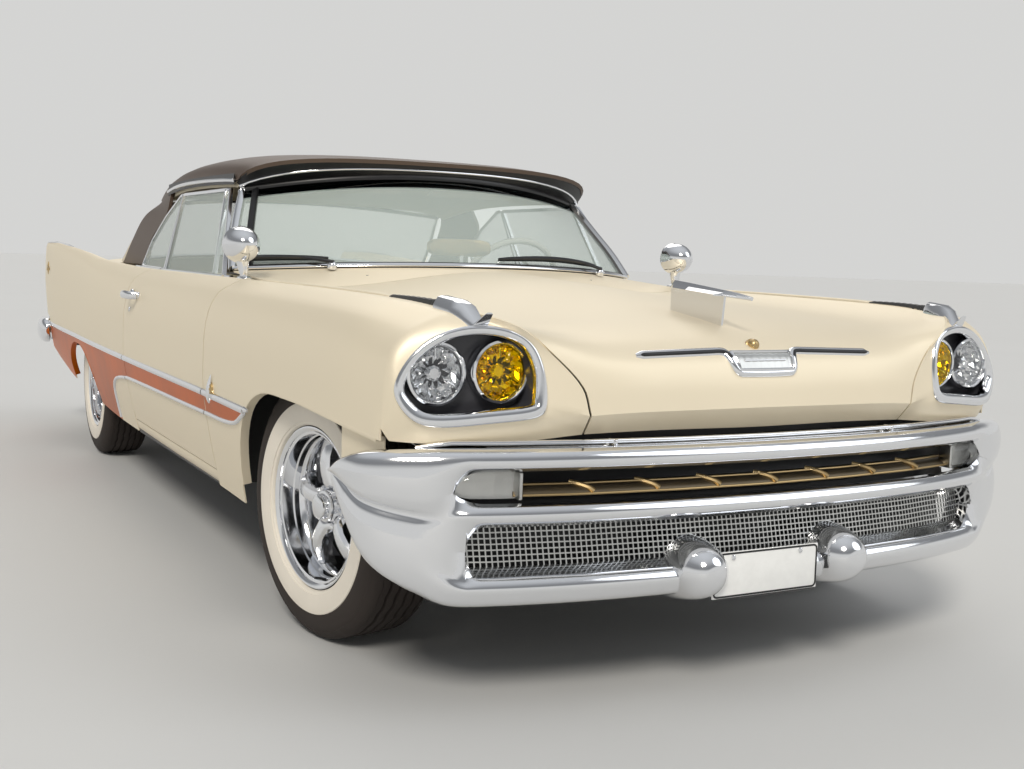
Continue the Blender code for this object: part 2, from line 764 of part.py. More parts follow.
def cowl():
    """Panel ahead of the windshield, the wall below it, and the windshield's bright posts."""
    base = window_rows(WINDSHIELD_shares, WINDOW_COLUMNS)[-1]
    y = span(COWL_FRONT_share)
    seam_x, seam_z = side_points(COWL_FRONT_share)[0]
    mid_z, valley_x, valley_z = (smooth_value(HOOD_TOP_shares, k, COWL_FRONT_share) for k in (2, 3, 5))
    front = seam_row(WINDOW_COLUMNS, Vector((0, y, high(mid_z))), Vector((across(valley_x), y, high(valley_z))),
                     Vector((seam_x - PANEL_GAP, y, seam_z)))
    foot = [p + Vector((0, -COWL_SINK, -COWL_SINK)) for p in base]
    middle = [(a + b) / 2 for a, b in zip(front, foot)]
    made = shell("cowl", [[front, middle, foot]], ivory(), centre=Vector((0, 0, 0)))
    parts = [block("firewall", *FIREWALL, None), block("firewall_top", *FIREWALL_TOP, None)]
    for side in (1, -1):
        (low_x, low_y, low_z), (high_x, high_y, high_z) = PILLAR_BASE
        low, up = sorted((side * low_x, side * high_x))
        parts.append(block(f"pillar_base_{side}", (low, low_y, low_z), (up, high_y, high_z), None))
        ends = [(side * x, y, z) for x, y, z in (PILLAR_FOOT, PILLAR_HEAD)]
        parts.append(rod(f"pillar_{side}", *ends, PILLAR_RADIUS, None, sides=12))
    return join(made, *parts)


# Wheels: the rim's section and five spokes, all about an axle along X with the outer face at +X
RIM_HALF = 0.095
RIM_LIP = 0.009
RIM_BARREL = 0.1925
RIM_SKIN = 0.007
RIM_WELL = 0.014
BEAD_GAP = 0.0005
SPOKES = 5
# Columns: radius, half width, inner x, outer x
SPOKE_SECTIONS = (
    (0.049, 0.024, 0.008, 0.040),
    (0.090, 0.021, 0.016, 0.052),
    (0.140, 0.024, 0.010, 0.050),
    (0.184, 0.032, -0.012, 0.036),
)
HUB_RADIUS = 0.062
HUB_BACK = -0.030
HUB_FRONT = 0.044
CAP_RADIUS = 0.036
CAP_LENGTH = 0.040
CAP_TIP = 0.018
WHEEL_STEPS = 28


def rim_profile():
    half, lip, barrel = RIM_HALF, RIM_LIP, RIM_BARREL
    inner = barrel - RIM_SKIN
    right = [
        (half - 4 * lip, inner - RIM_WELL),
        (half, inner),
        (half, RIM_RADIUS),
        (half - lip, RIM_RADIUS),
        (half - lip, barrel),
    ]
    return right + [(-x, radius) for x, radius in reversed(right)]


def wheel_mesh():
    """One wheel joined into a single mesh, which all four share."""
    rim = turned("rim", rim_profile(), WHEEL_STEPS, chrome(), closed=True)
    parts = []
    for k in range(SPOKES):
        turn = Matrix.Rotation(2 * pi * k / SPOKES, 4, "X")
        rings = []
        for radius, half, low, up in SPOKE_SECTIONS:
            ring = [(low, -half, radius), (up, -half * SPOKE_FACE_share, radius), (up, half * SPOKE_FACE_share, radius), (low, half, radius)]
            rings.append([turn @ Vector(p) for p in ring])
        parts.append(loft(f"spoke_{k}", rings, None))
    parts.append(rod("hub", (HUB_BACK, 0, 0), (HUB_FRONT, 0, 0), HUB_RADIUS, None))
    cap_root = HUB_FRONT - CAP_TIP
    parts.append(rod("cap", (cap_root, 0, 0), (HUB_FRONT + CAP_LENGTH, 0, 0), CAP_RADIUS, None, CAP_TIP))
    join(rim, *parts)
    return baked(rim, "wheel")


SPOKE_FACE_share = 0.62


def tyre_profile():
    half, radius = TYRE_WIDTH / 2, TYRE_RADIUS
    seat = RIM_HALF - RIM_LIP - BEAD_GAP
    wall = radius - RIM_RADIUS
    right = [
        (seat, RIM_BARREL + BEAD_GAP),
        (seat, RIM_RADIUS + TYRE_RIM_STEP),
        (half * 0.95, RIM_RADIUS + wall * 0.16),
        (half, RIM_RADIUS + wall * 0.42),
        (half * 0.97, RIM_RADIUS + wall * 0.66),
        (half * 0.86, RIM_RADIUS + wall * 0.90),
        (half * 0.62, radius - TREAD_CROWN),
        (half * 0.25, radius),
    ]
    return right + [(-x, r) for x, r in reversed(right)]


TYRE_RIM_STEP = 0.003
TREAD_CROWN = 0.003
TYRE_STEPS = 28


def baked(obj, name):
    """The object's evaluated mesh under its own name; the object and its helpers go."""
    bpy.context.view_layer.update()
    graph = bpy.context.evaluated_depsgraph_get()
    mesh = bpy.data.meshes.new_from_object(obj.evaluated_get(graph))
    mesh.name = name
    helpers = [m.object for m in obj.modifiers if m.type == "BOOLEAN"]
    for helper in helpers + [obj]:
        bpy.data.objects.remove(helper, do_unlink=True)
    mesh.shade_smooth()
    mesh.set_sharp_from_angle(angle=radians(40))
    return mesh


KINGPIN_x = 0.700
UPRIGHT_HALF = 0.028
UPRIGHT_LOW = 0.2255
UPRIGHT_TOP = 0.50
DRUM_RADIUS = 0.120
DRUM_INNER = 0.655
HUB_GAP = 0.001
STEER_ARM = 0.15
STEER_ARM_HALF = 0.012


def empty(name, location, turn=0.0):
    made = bpy.data.objects.new(name, None)
    bpy.data.collections["hardtop_car"].objects.link(made)
    made.location = location
    made.rotation_euler = (0, 0, turn)
    return made


def wheels():
    """Four wheels and tyres; the front pair hang on kingpins that are turned a little."""
    wheel = wheel_mesh()
    tyre = baked(turned("tyre_turn", tyre_profile(), TYRE_STEPS, rubber(), closed=True), "tyre")
    for side in (1, -1):
        kingpin = empty(side_name("kingpin", side), (side * KINGPIN_x, FRONT_AXLE_Y, TYRE_RADIUS), REST_STEER)
        knuckle(side, kingpin)
        for end, track, y in (("front", FRONT_TRACK, FRONT_AXLE_Y), ("rear", REAR_TRACK, REAR_AXLE_Y)):
            for stem, mesh in (("wheel", wheel), ("tyre", tyre)):
                obj = bpy.data.objects.new(side_name(f"{stem}_{end}", side), mesh)
                bpy.data.collections["hardtop_car"].objects.link(obj)
                obj.rotation_euler = (0, 0, 0 if side > 0 else pi)
                if end == "front":
                    obj.parent = kingpin
                    obj.location = (side * (track / 2 - KINGPIN_x), 0, 0)
                else:
                    obj.location = (side * track / 2, y, TYRE_RADIUS)


def knuckle(side, kingpin):
    """Upright, brake drum and steering arm that turn about the kingpin."""
    face = FRONT_TRACK / 2 + HUB_BACK - HUB_GAP - KINGPIN_x
    back = DRUM_INNER - KINGPIN_x
    upright = block(side_name("knuckle", side),
                    (-UPRIGHT_HALF, -UPRIGHT_HALF, UPRIGHT_LOW - TYRE_RADIUS),
                    (UPRIGHT_HALF, UPRIGHT_HALF, UPRIGHT_TOP - TYRE_RADIUS), cast())
    low, up = sorted((side * back, side * face))
    drum = rod(f"drum_{side}", (low, 0, 0), (up, 0, 0), DRUM_RADIUS, None, sides=24)
    arm = block(f"steer_arm_{side}", (-side * STEER_ARM_HALF - STEER_ARM_HALF, 0, -DRUM_RADIUS / 2),
                (-side * STEER_ARM_HALF + STEER_ARM_HALF, STEER_ARM, -DRUM_RADIUS / 2 + 2 * STEER_ARM_HALF), None)
    join(upright, drum, arm)
    for obj in (upright, drum, arm):
        obj.parent = kingpin
    return upright


AXLE_TUBE = 0.038
DIFF_RADIUS = 0.135
DIFF_HALF = 0.10
SHAFT_RADIUS = 0.034
SHAFT_FRONT_y = -1.190
SPRING_x = 0.52
SPRING_WIDTH = 0.06
SPRING_TOP = 0.275
SPRING_THICK = 0.030
SPRING_FRONT = 0.62
SPRING_REAR = 0.66
SPRING_PAD = 0.05


def rear_axle():
    face = REAR_TRACK / 2 + HUB_BACK - HUB_GAP
    centre = (0, REAR_AXLE_Y, TYRE_RADIUS)
    made = rod("rear_axle", (-face, REAR_AXLE_Y, TYRE_RADIUS), (face, REAR_AXLE_Y, TYRE_RADIUS), AXLE_TUBE, cast())
    parts = [rod("differential", (-DIFF_HALF, *centre[1:]), (DIFF_HALF, *centre[1:]), DIFF_RADIUS, None, sides=20)]
    for side in (1, -1):
        ends = (side * (face - DRUM_DEPTH), *centre[1:]), (side * face, *centre[1:])
        parts.append(rod(f"rear_drum_{side}", *ends, DRUM_RADIUS, None, sides=24))
        parts.append(block(f"pad_{side}",
                           (side * SPRING_x - SPRING_PAD / 2, REAR_AXLE_Y - SPRING_PAD, SPRING_TOP + SEAT_GAP),
                           (side * SPRING_x + SPRING_PAD / 2, REAR_AXLE_Y + SPRING_PAD, TYRE_RADIUS), None))
    parts.append(rod("drive_shaft", (0, SHAFT_FRONT_y, TYRE_RADIUS), (0, REAR_AXLE_Y, TYRE_RADIUS), SHAFT_RADIUS, None))
    return join(made, *parts)


DRUM_DEPTH = 0.07

# The frame's rails: y, x, middle z at each bend, and their section
RAIL_HALF_x = 0.030
RAIL_HALF_z = 0.050
RAILS = (
    (-2.520, 0.400, 0.330),
    (-1.500, 0.400, 0.330),
    (-1.235, 0.560, 0.235),
    (0.700, 0.560, 0.235),
    (1.000, 0.440, 0.235),
    (1.110, 0.440, 0.450),
    (1.560, 0.440, 0.450),
    (1.800, 0.440, 0.420),
    (2.480, 0.440, 0.400),
)
CROSS_HALF = 0.040
# Crossmembers: y, half width, low z, high z
CROSSES = (
    (-2.420, 0.400, 0.290, 0.370),
    (-1.871, 0.400, 0.200, 0.2997),
    (-0.950, 0.560, 0.205, 0.270),
    (0.620, 0.560, 0.205, 0.270),
    (2.300, 0.440, 0.360, 0.440),
)
ARM_HALF = 0.030
ARM_LOW = 0.203
ARM_TOP = 0.2252


def chassis_frame():
    """Two kicked rails, crossmembers, lower arms and leaf springs."""
    parts = []
    for side in (1, -1):
        rings = []
        for y, x, z in RAILS:
            rings.append([Vector((side * (x + dx * RAIL_HALF_x), y, z + dz * RAIL_HALF_z))
                          for dx, dz in ((-1, -1), (1, -1), (1, 1), (-1, 1))])
        parts.append(loft(f"rail_{side}", rings, steel()))
        tip = KINGPIN_x + ARM_HALF / 2
        parts.append(block(f"arm_{side}", (min(side * RAILS[0][1] * RAIL_IN_share, side * tip), FRONT_AXLE_Y - ARM_HALF, ARM_LOW),
                           (max(side * RAILS[0][1] * RAIL_IN_share, side * tip), FRONT_AXLE_Y + ARM_HALF, ARM_TOP), None))
        parts.append(block(f"spring_{side}",
                           (side * SPRING_x - SPRING_WIDTH / 2, REAR_AXLE_Y - SPRING_FRONT, SPRING_TOP - SPRING_THICK),
                           (side * SPRING_x + SPRING_WIDTH / 2, REAR_AXLE_Y + SPRING_REAR, SPRING_TOP), None))
        for k, (y, z) in enumerate(((REAR_AXLE_Y - SPRING_FRONT, RAILS[3][2]), (REAR_AXLE_Y + SPRING_REAR, RAILS[7][2]))):
            parts.append(block(f"hanger_{side}_{k}",
                               (min(side * RAILS[5][1], side * SPRING_x), y - CROSS_HALF / 2, SPRING_TOP - SPRING_THICK),
                               (max(side * RAILS[5][1], side * (SPRING_x + SPRING_WIDTH / 2)), y + CROSS_HALF / 2, z + RAIL_HALF_z / 2), None))
    for k, (y, half, low, up) in enumerate(CROSSES):
        parts.append(block(f"cross_{k}", (-half, y - CROSS_HALF, low), (half, y + CROSS_HALF, up), None))
    frame = parts[0]
    frame.name = "chassis_frame"
    return join(frame, *parts[1:])


RAIL_IN_share = 0.94

ENGINE_HALF = 0.24
ENGINE_FRONT = -2.12
ENGINE_REAR = -1.26
ENGINE_LOW = 0.300
ENGINE_TOP = 0.800


def engine_block():
    return block("engine_block", (-ENGINE_HALF, ENGINE_FRONT, ENGINE_LOW), (ENGINE_HALF, ENGINE_REAR, ENGINE_TOP), cast())


BAY_WALL_x = 0.420
BAY_LOW = 0.3803
BAY_SHELF = 0.842
BAY_SKIN = 0.010
BAY_FLANGE_x = 0.800
BAY_STATION_shares = (-0.860, -0.830, -0.750, -0.675, -0.600, -0.520, -0.4405)
RADIATOR_DEPTH = 0.03


def engine_bay():
    """Inner wings on both sides and the radiator support between them."""
    walls = []
    for side in (1, -1):
        rings = []
        for s in BAY_STATION_shares:
            y = span(s)
            top = side_points(s)[1][1] - SKIN - BAY_SKIN / 2
            x, f, t = BAY_WALL_x, BAY_FLANGE_x, BAY_SKIN
            outline = [(x, BAY_LOW), (x + t, BAY_LOW), (x + t, BAY_SHELF - t), (f, BAY_SHELF - t), (f, top),
                       (f - t, top), (f - t, BAY_SHELF), (x, BAY_SHELF)]
            rings.append([Vector((side * px, y, pz)) for px, pz in outline])
        walls.append(loft(f"inner_wing_{side}", rings, steel()))
    reach = BAY_WALL_x + BAY_SKIN / 2
    y = span(BAY_STATION_shares[0]) + BAY_SKIN / 2
    support = block("radiator_support", (-reach, y, BAY_LOW + BAY_SKIN / 2),
                    (reach, y + RADIATOR_DEPTH, BAY_SHELF - BAY_SKIN / 2), None)
    walls[0].name = "engine_bay"
    return join(walls[0], walls[1], support)


FLOOR_HALF = 0.785
FLOOR_LOW = 0.2855
FLOOR_FRONT = -1.190
FLOOR_REAR = 0.962
TUNNEL_HALF = 0.14
TUNNEL_TOP = 0.415
SILL_OUTER = 0.908
SILL_INNER = 0.760
SILL_TOP = 0.324
SILL_FRONT = -1.165
SILL_REAR = 0.040
BOOT_FLOOR = 0.530
BOOT_HALF = 0.600
BOOT_REAR = 2.500
HOUSE_RADIUS = 0.400
HOUSE_OUTER_x = 0.915
SHEET = 0.012


def arc_outline(centre_y, centre_z, radius, low_z, points):
    """A half round from low_z on one side over to low_z on the other."""
    start = atan2(low_z - centre_z, sqrt(radius ** 2 - (low_z - centre_z) ** 2))
    return [
        (centre_y + radius * cos(start + (pi - 2 * start) * k / points), centre_z + radius * sin(start + (pi - 2 * start) * k / points))
        for k in range(points + 1)
    ]


HOUSE_POINTS = 10
HOUSE_LOW = 0.500
KICK_HALF = 0.590


def floor_pan():
    """Cabin floor with its tunnel and sills, the boot floor and the rear wheel housings."""
    floor = block("floor_pan", (-FLOOR_HALF, FLOOR_FRONT, FLOOR_LOW), (FLOOR_HALF, FLOOR_REAR, FLOOR_TOP), steel())
    inset = SHEET / 4
    parts = [
        block("tunnel", (-TUNNEL_HALF, FLOOR_FRONT + inset, FLOOR_LOW + inset),
              (TUNNEL_HALF, FLOOR_REAR - inset, TUNNEL_TOP), None),
        block("kick_up", (-KICK_HALF, FLOOR_REAR - SHEET - inset, FLOOR_LOW + inset),
              (KICK_HALF, FLOOR_REAR - inset, BOOT_FLOOR + inset), None),
        block("boot_floor", (-BOOT_HALF, FLOOR_REAR - SHEET, BOOT_FLOOR), (BOOT_HALF, BOOT_REAR, BOOT_FLOOR + SHEET), None),
    ]
    for side in (1, -1):
        low, up = sorted((side * SILL_INNER, side * SILL_OUTER))
        parts.append(block(f"sill_{side}", (low, SILL_FRONT, FLOOR_LOW - inset), (up, SILL_REAR, SILL_TOP), None))
    join(floor, *parts)
    channel = block("tunnel_channel", (-TUNNEL_HALF + SHEET, FLOOR_FRONT - OVERRUN, -OVERRUN),
                    (TUNNEL_HALF - SHEET, FLOOR_REAR + OVERRUN, TUNNEL_TOP - SHEET), None)
    return cut(floor, channel)


def wheel_house(side):
    """Arched cover over a rear wheel with the wall that closes it towards the boot."""
    inner_x = BOOT_HALF + SEAT_GAP
    low, up = sorted((side * inner_x, side * HOUSE_OUTER_x))
    arcs = [arc_outline(REAR_AXLE_Y, TYRE_RADIUS, radius, HOUSE_LOW, HOUSE_POINTS)
            for radius in (HOUSE_RADIUS + SHEET, HOUSE_RADIUS, HOUSE_RADIUS + SHEET / 2)]
    name = side_name("wheel_house", side)
    made = extruded(name, arcs[0] + arcs[1][::-1], low, up, "hardtop_car")
    made.data.materials.append(steel())
    low, up = sorted((side * (inner_x + SHEET / 4), side * (inner_x + SHEET)))
    return join(made, extruded(f"house_wall_{side}", arcs[2], low, up))


DECK_GAP_share = 0.003
SHELF_LOW = 0.880
SHELF_FRONT = 1.03
SHELF_HALF = 0.70
DECK_WALL_y = 1.580


def rear_deck():
    """Panel between the rear window and the boot lid, with the parcel shelf under it."""
    glass = window_rows(REAR_WINDOW_shares, WINDOW_COLUMNS)[-1]
    foot = [p + Vector((0, COWL_SINK, -COWL_SINK)) for p in glass]
    row = TRUNK_shares[0]
    y = row[0] - DECK_GAP_share
    lid = seam_row(WINDOW_COLUMNS, place(0, y, row[1]), place(row[2], y, row[4]), place(row[5], y, row[7]))
    middle = [(a + b) / 2 for a, b in zip(foot, lid)]
    made = shell("rear_deck", [[foot, middle, lid]], ivory(), centre=Vector((0, REAR_AXLE_Y, 0)))
    shelf = block("parcel_shelf", (-SHELF_HALF, SHELF_FRONT, SHELF_LOW), (SHELF_HALF, DECK_WALL_y, SHELF_LOW + SHEET), None)
    wall = block("deck_wall", (-SHELF_HALF, DECK_WALL_y - SHEET, SHELF_LOW), (SHELF_HALF, DECK_WALL_y, high(row[7]) - SHEET / 2), None)
    return join(made, shelf, wall)


TAIL_PANEL = ((-0.730, 2.5003, 0.480), (0.730, 2.560, 0.645))


def tail_panel():
    return block("tail_panel", *TAIL_PANEL, ivory())


# Tail lamp housing seen from behind: x and z of its corners, and its three lamps
TAIL_OUTLINE = ((0.744, 0.655), (0.744, 0.843), (0.812, 0.868), (0.868, 0.940), (0.880, 0.972), (0.889, 0.972),
                (0.897, 0.800), (0.895, 0.655))
TAIL_FRONT = 2.44
TAIL_REAR = 2.615
TAIL_LAMP_x = 0.828
TAIL_LAMPS = (0.715, 0.790, 0.863)
TAIL_LAMP_RADIUS = 0.034
TAIL_LAMP_PROUD = 0.020
TAIL_LAMP_TIP = 0.026


def tail_lamp(side):
    rings = [[Vector((side * x, y, z)) for x, z in TAIL_OUTLINE] for y in (TAIL_FRONT, TAIL_REAR)]
    made = loft(side_name("tail_lamp", side), rings, red_lens())
    lenses = [
        rod(f"lens_{side}_{k}", (side * TAIL_LAMP_x, TAIL_REAR - SHEET, z), (side * TAIL_LAMP_x, TAIL_REAR + TAIL_LAMP_PROUD, z),
            TAIL_LAMP_RADIUS, None, TAIL_LAMP_TIP)
        for k, z in enumerate(TAIL_LAMPS)
    ]
    return join(made, *lenses)


# Headlamp housing: depth behind the nose surface and how far its outline draws in
POD_RINGS = ((0.060, 0.900), (0.000, 0.992), (-0.010, 0.985), (-0.008, 0.88), (0.036, 0.85))
LAMPS = ((0.664, -2.545, 0.764), (0.812, -2.527, 0.760))
LAMP_RADIUS = 0.061
LAMP_DEPTH = 0.035
POD_CENTRE_shares = (0.744, 0.826)


def lamp_pod(side):
    """Bezel and dark bowl in the wing's opening, with two round lamps."""
    rings = [lamp_ring(side, draw, depth) for depth, draw in POD_RINGS]
    made = loft(side_name("lamp_pod", side), rings, lamp_glass(), smooth=True)
    lamps = [
        rod(f"lamp_{side}_{k}", (side * x, y + LAMP_DEPTH, z), (side * x, y, z), LAMP_RADIUS, None, sides=20)
        for k, (x, y, z) in enumerate(LAMPS)
    ]
    return join(made, *lamps)


# Bumpers follow a plan curve, given as shares from the middle to the tip: x, then y
FRONT_PLAN_shares = (
    (0.000, -0.982), (0.250, -0.979), (0.500, -0.970), (0.700, -0.956), (0.790, -0.9455), (0.850, -0.937),
    (0.940, -0.918), (0.982, -0.902), (0.997, -0.880), (0.995, -0.850), (0.987, -0.815),
)
REAR_PLAN_shares = (
    (0.000, 0.9985), (0.300, 0.996), (0.600, 0.985), (0.800, 0.967), (0.900, 0.950), (0.950, 0.928),
    (0.968, 0.895), (0.966, 0.840),
)
# Bar sections: how far in front of the plan curve, and height
UPPER_BAR = ((0.0, 0.566), (0.0, 0.590), (-0.020, 0.604), (-0.060, 0.600), (-0.060, 0.572), (-0.020, 0.556))
MIDDLE_BAR = ((0.0, 0.446), (0.0, 0.474), (-0.020, 0.486), (-0.080, 0.482), (-0.080, 0.440), (-0.020, 0.434))
LOWER_BAR = ((0.0, 0.290), (-0.005, 0.318), (-0.030, 0.326), (-0.100, 0.290), (-0.095, 0.262), (-0.030, 0.258))
CORNER_BAR = (
    (0.003, 0.570), (0.001, 0.590), (-0.020, 0.6055), (-0.050, 0.602), (-0.062, 0.500), (-0.080, 0.380), (-0.098, 0.262),
    (-0.060, 0.254), (-0.030, 0.265), (-0.010, 0.310), (-0.006, 0.400), (-0.012, 0.436), (0.002, 0.475),
)
REAR_BAR = ((0.0, 0.500), (0.0, 0.570), (-0.020, 0.600), (-0.060, 0.598), (-0.060, 0.500), (-0.040, 0.465), (-0.015, 0.470))
CORNER_START = 4
WRAP_LIFTS = (0, 0, 0, 0, 0, 0, 0, 0, 0.1, 0.3, 0.55)


def plan_points(plan_shares, rear=False):
    """Both halves of a plan curve, right tip to left tip, with the outward direction at each point."""
    half = [Vector((across(x), span(y), 0)) for x, y in plan_shares]
    points = [Vector((-p.x, p.y, 0)) for p in reversed(half[1:])] + half
    found = []
    for i, point in enumerate(points):
        along = points[min(i + 1, len(points) - 1)] - points[max(i - 1, 0)]
        out = Vector((along.y, -along.x, 0)).normalized() * (-1 if rear else 1)
        found.append((point, out))
    return found


def bar(name, plan, section, made_of, lifts=None):
    """A section carried along plan points; lifts raise its foot towards the top."""
    rings = []
    top = max(z for _, z in section)
    for i, (point, out) in enumerate(plan):
        lift = lifts[i] if lifts else 0
        rings.append([point + out * d + Vector((0, 0, z + (top - z) * lift)) for d, z in section])
    return loft(name, rings, made_of, smooth=True)


GUARD_x = 0.212
GUARD_z = 0.352
GUARD_ROOT_y = -2.672
GUARD_TIP_y = -2.700
GUARD_NOSE_y = -2.768
GUARD_RADIUS = 0.046
GUARD_ROOT_RADIUS = 0.060
GUARD_NOSE_RADIUS = 0.020
PLATE_HALF = 0.170
PLATE_LOW = 0.226
PLATE_TOP = 0.344
PLATE_y = -2.732
PLATE_THICK = 0.008
BRACKET_HALF = 0.10


def front_bumper():
    """Upper and middle bars that close on tall wrapped corners, the lower bar, guards and plate."""
    plan = plan_points(FRONT_PLAN_shares)
    count = len(FRONT_PLAN_shares)
    middle = count - 1
    inner = plan[middle - CORNER_START - 1:middle + CORNER_START + 2]
    bumper = bar("front_bumper", inner, UPPER_BAR, chrome())
    parts = [bar("middle_bar", inner, MIDDLE_BAR, None), bar("lower_bar", inner, LOWER_BAR, None)]
    left = plan[middle + CORNER_START:]
    right = plan[:middle - CORNER_START + 1]
    ahead = Vector((0, -1, 0))
    left[0] = (left[0][0], ahead)
    right[-1] = (right[-1][0], ahead)
    lifts = list(WRAP_LIFTS[CORNER_START:])
    parts.append(bar("corner_left", left, CORNER_BAR, None, lifts))
    parts.append(bar("corner_right", right, CORNER_BAR, None, lifts[::-1]))
    for side in (1, -1):
        x = side * GUARD_x
        parts.append(rod(f"guard_{side}", (x, GUARD_ROOT_y, GUARD_z), (x, GUARD_TIP_y, GUARD_z), GUARD_ROOT_RADIUS, None, GUARD_RADIUS))
        parts.append(rod(f"guard_tip_{side}", (x, GUARD_TIP_y + SHEET, GUARD_z), (x, GUARD_NOSE_y, GUARD_z), GUARD_RADIUS, None, GUARD_NOSE_RADIUS))
    parts.append(block("plate", (-PLATE_HALF, PLATE_y, PLATE_LOW), (PLATE_HALF, PLATE_y + PLATE_THICK, PLATE_TOP), None))
    for side in (1, -1):
        low, up = sorted((side * IRON_INNER_x, side * IRON_OUTER_x))
        parts.append(block(f"bumper_iron_{side}", (low, FRONT_IRON_y, FRONT_IRON_LOW), (up, RAILS[0][0] - SEAT_GAP, FRONT_IRON_TOP), None))
    parts.append(block("plate_bracket", (-BRACKET_HALF, PLATE_y + PLATE_THICK / 2, PLATE_LOW + PLATE_THICK),
                       (BRACKET_HALF, GUARD_ROOT_y, PLATE_TOP - PLATE_THICK), None))
    return join(bumper, *parts)


IRON_INNER_x = 0.385
IRON_OUTER_x = 0.425
FRONT_IRON_y = -2.655
FRONT_IRON_LOW = 0.286
FRONT_IRON_TOP = 0.335
REAR_IRON_x = 0.440
REAR_IRON_y = 2.690
REAR_IRON_LOW = 0.385
REAR_IRON_TOP = 0.450
REAR_IRON_HEAD_y = 2.640
REAR_IRON_HEAD = 0.540


def rear_bumper():
    """One bar that wraps round both corners, on two irons from the frame."""
    made = bar("rear_bumper", plan_points(REAR_PLAN_shares, rear=True), REAR_BAR, chrome())
    parts = []
    half = (IRON_OUTER_x - IRON_INNER_x) / 2
    for side in (1, -1):
        low, up = side * REAR_IRON_x - half, side * REAR_IRON_x + half
        parts.append(block(f"iron_{side}", (low, RAILS[-1][0] + SEAT_GAP, REAR_IRON_LOW), (up, REAR_IRON_y, REAR_IRON_TOP), None))
        parts.append(block(f"iron_head_{side}", (low + half / 4, REAR_IRON_HEAD_y, REAR_IRON_LOW + half / 4),
                           (up - half / 4, REAR_IRON_y + half, REAR_IRON_HEAD), None))
    return join(made, *parts)


# Square mesh below the middle bar: its half width, heights, bar width and count of holes
MESH_HALF = 0.770
MESH_LOW = 0.342
MESH_TOP = 0.4383
MESH_DEPTH = 0.070
MESH_BAR = 0.006
MESH_SKIN = 0.006
MESH_COLUMNS = 22
MESH_ROWS = 3


def plan_depth(plan_shares, x):
    """Where a plan curve lies at one x."""
    share = abs(x) / HALF_WIDTH
    for (x0, y0), (x1, y1) in zip(plan_shares, plan_shares[1:]):
        if share <= x1:
            return span(y0 + (y1 - y0) * (share - x0) / (x1 - x0))
    return span(plan_shares[-1][1])


def grille_mesh():
    """A sheet with square holes, thickened."""
    pitch_x = (2 * MESH_HALF - MESH_BAR) / MESH_COLUMNS
    pitch_z = (MESH_TOP - MESH_LOW - MESH_BAR) / MESH_ROWS
    xs, zs = [], []
    for k in range(MESH_COLUMNS + 1):
        xs += [-MESH_HALF + k * pitch_x, -MESH_HALF + k * pitch_x + MESH_BAR]
    for k in range(MESH_ROWS + 1):
        zs += [MESH_LOW + k * pitch_z, MESH_LOW + k * pitch_z + MESH_BAR]
    bm = bmesh.new()
    made = [[bm.verts.new((x, plan_depth(FRONT_PLAN_shares, x) + MESH_DEPTH, z)) for z in zs] for x in xs]
    for i in range(len(xs) - 1):
        for j in range(len(zs) - 1):
            if i % 2 and j % 2:
                continue
            bm.faces.new((made[i][j], made[i + 1][j], made[i + 1][j + 1], made[i][j + 1]))
    obj = new_object("grille_mesh", mesh_from(bm, "grille_mesh"), chrome())
    solid = obj.modifiers.new("thickness", "SOLIDIFY")
    solid.thickness = MESH_SKIN
    solid.offset = 0
    return obj


GRILLE_HALF_share = 0.66
GRILLE_SECTION = ((-0.040, 0.500), (-0.040, 0.512), (-0.060, 0.532), (-0.085, 0.532), (-0.085, 0.500))
LAMP_SECTION = ((-0.010, 0.494), (-0.010, 0.5556), (-0.062, 0.5556), (-0.085, 0.520), (-0.085, 0.494))
GRILLE_POINTS = 7
LAMP_END_share = 0.786
TOOTH_COUNT = 7
TOOTH_HALF = 0.006
TOOTH_REACH = 0.028


def line_plan(first_share, last_share, count):
    """Points at even steps of x on the front plan curve, all facing straight ahead."""
    found = []
    for k in range(count):
        x = across(first_share + (last_share - first_share) * k / (count - 1))
        found.append((Vector((x, plan_depth(FRONT_PLAN_shares, x), 0)), Vector((0, -1, 0))))
    return found


def grille_bar():
    """The bar inside the oval with its slanted teeth and the parking lamps at its ends."""
    made = bar("grille_bar", line_plan(-GRILLE_HALF_share, GRILLE_HALF_share, GRILLE_POINTS), GRILLE_SECTION, gold())
    parts = []
    for side in (1, -1):
        plan = line_plan(side * (GRILLE_HALF_share - TOOTH_HALF), side * LAMP_END_share, 3)
        if side < 0:
            plan = plan[::-1]
        parts.append(bar(f"parking_lamp_{side}", plan, LAMP_SECTION, None))
    for k in range(TOOTH_COUNT):
        x = across(GRILLE_HALF_share) * (2 * (k + 1) / (TOOTH_COUNT + 1) - 1)
        y = plan_depth(FRONT_PLAN_shares, x)
        section = [(x - TOOTH_HALF, y - GRILLE_SECTION[0][0] - TOOTH_HALF, GRILLE_SECTION[0][1] + TOOTH_HALF),
                   (x + TOOTH_HALF, y - GRILLE_SECTION[3][0], GRILLE_SECTION[3][1] + TOOTH_HALF)]
        parts.append(block(f"tooth_{k}", section[0], section[1], None))
    return join(made, *parts)


FRONT_SEAT = ((-0.660, -0.460, 0.425), (0.660, 0.060, 0.540))
FRONT_SEAT_BACK = ((-0.665, -0.010, 0.435), (0.665, 0.160, 0.940))
REAR_SEAT = ((-0.580, 0.420, 0.425), (0.580, 0.930, 0.500))
REAR_SEAT_BACK = ((-0.575, 0.832, 0.435), (0.575, 0.944, 0.868))
SEAT_BASE_LOW = 0.2978
SEAT_BASE_TOP = 0.460
SEAT_BASE_INNER = 0.165
SEAT_BASE_INSET = 0.030


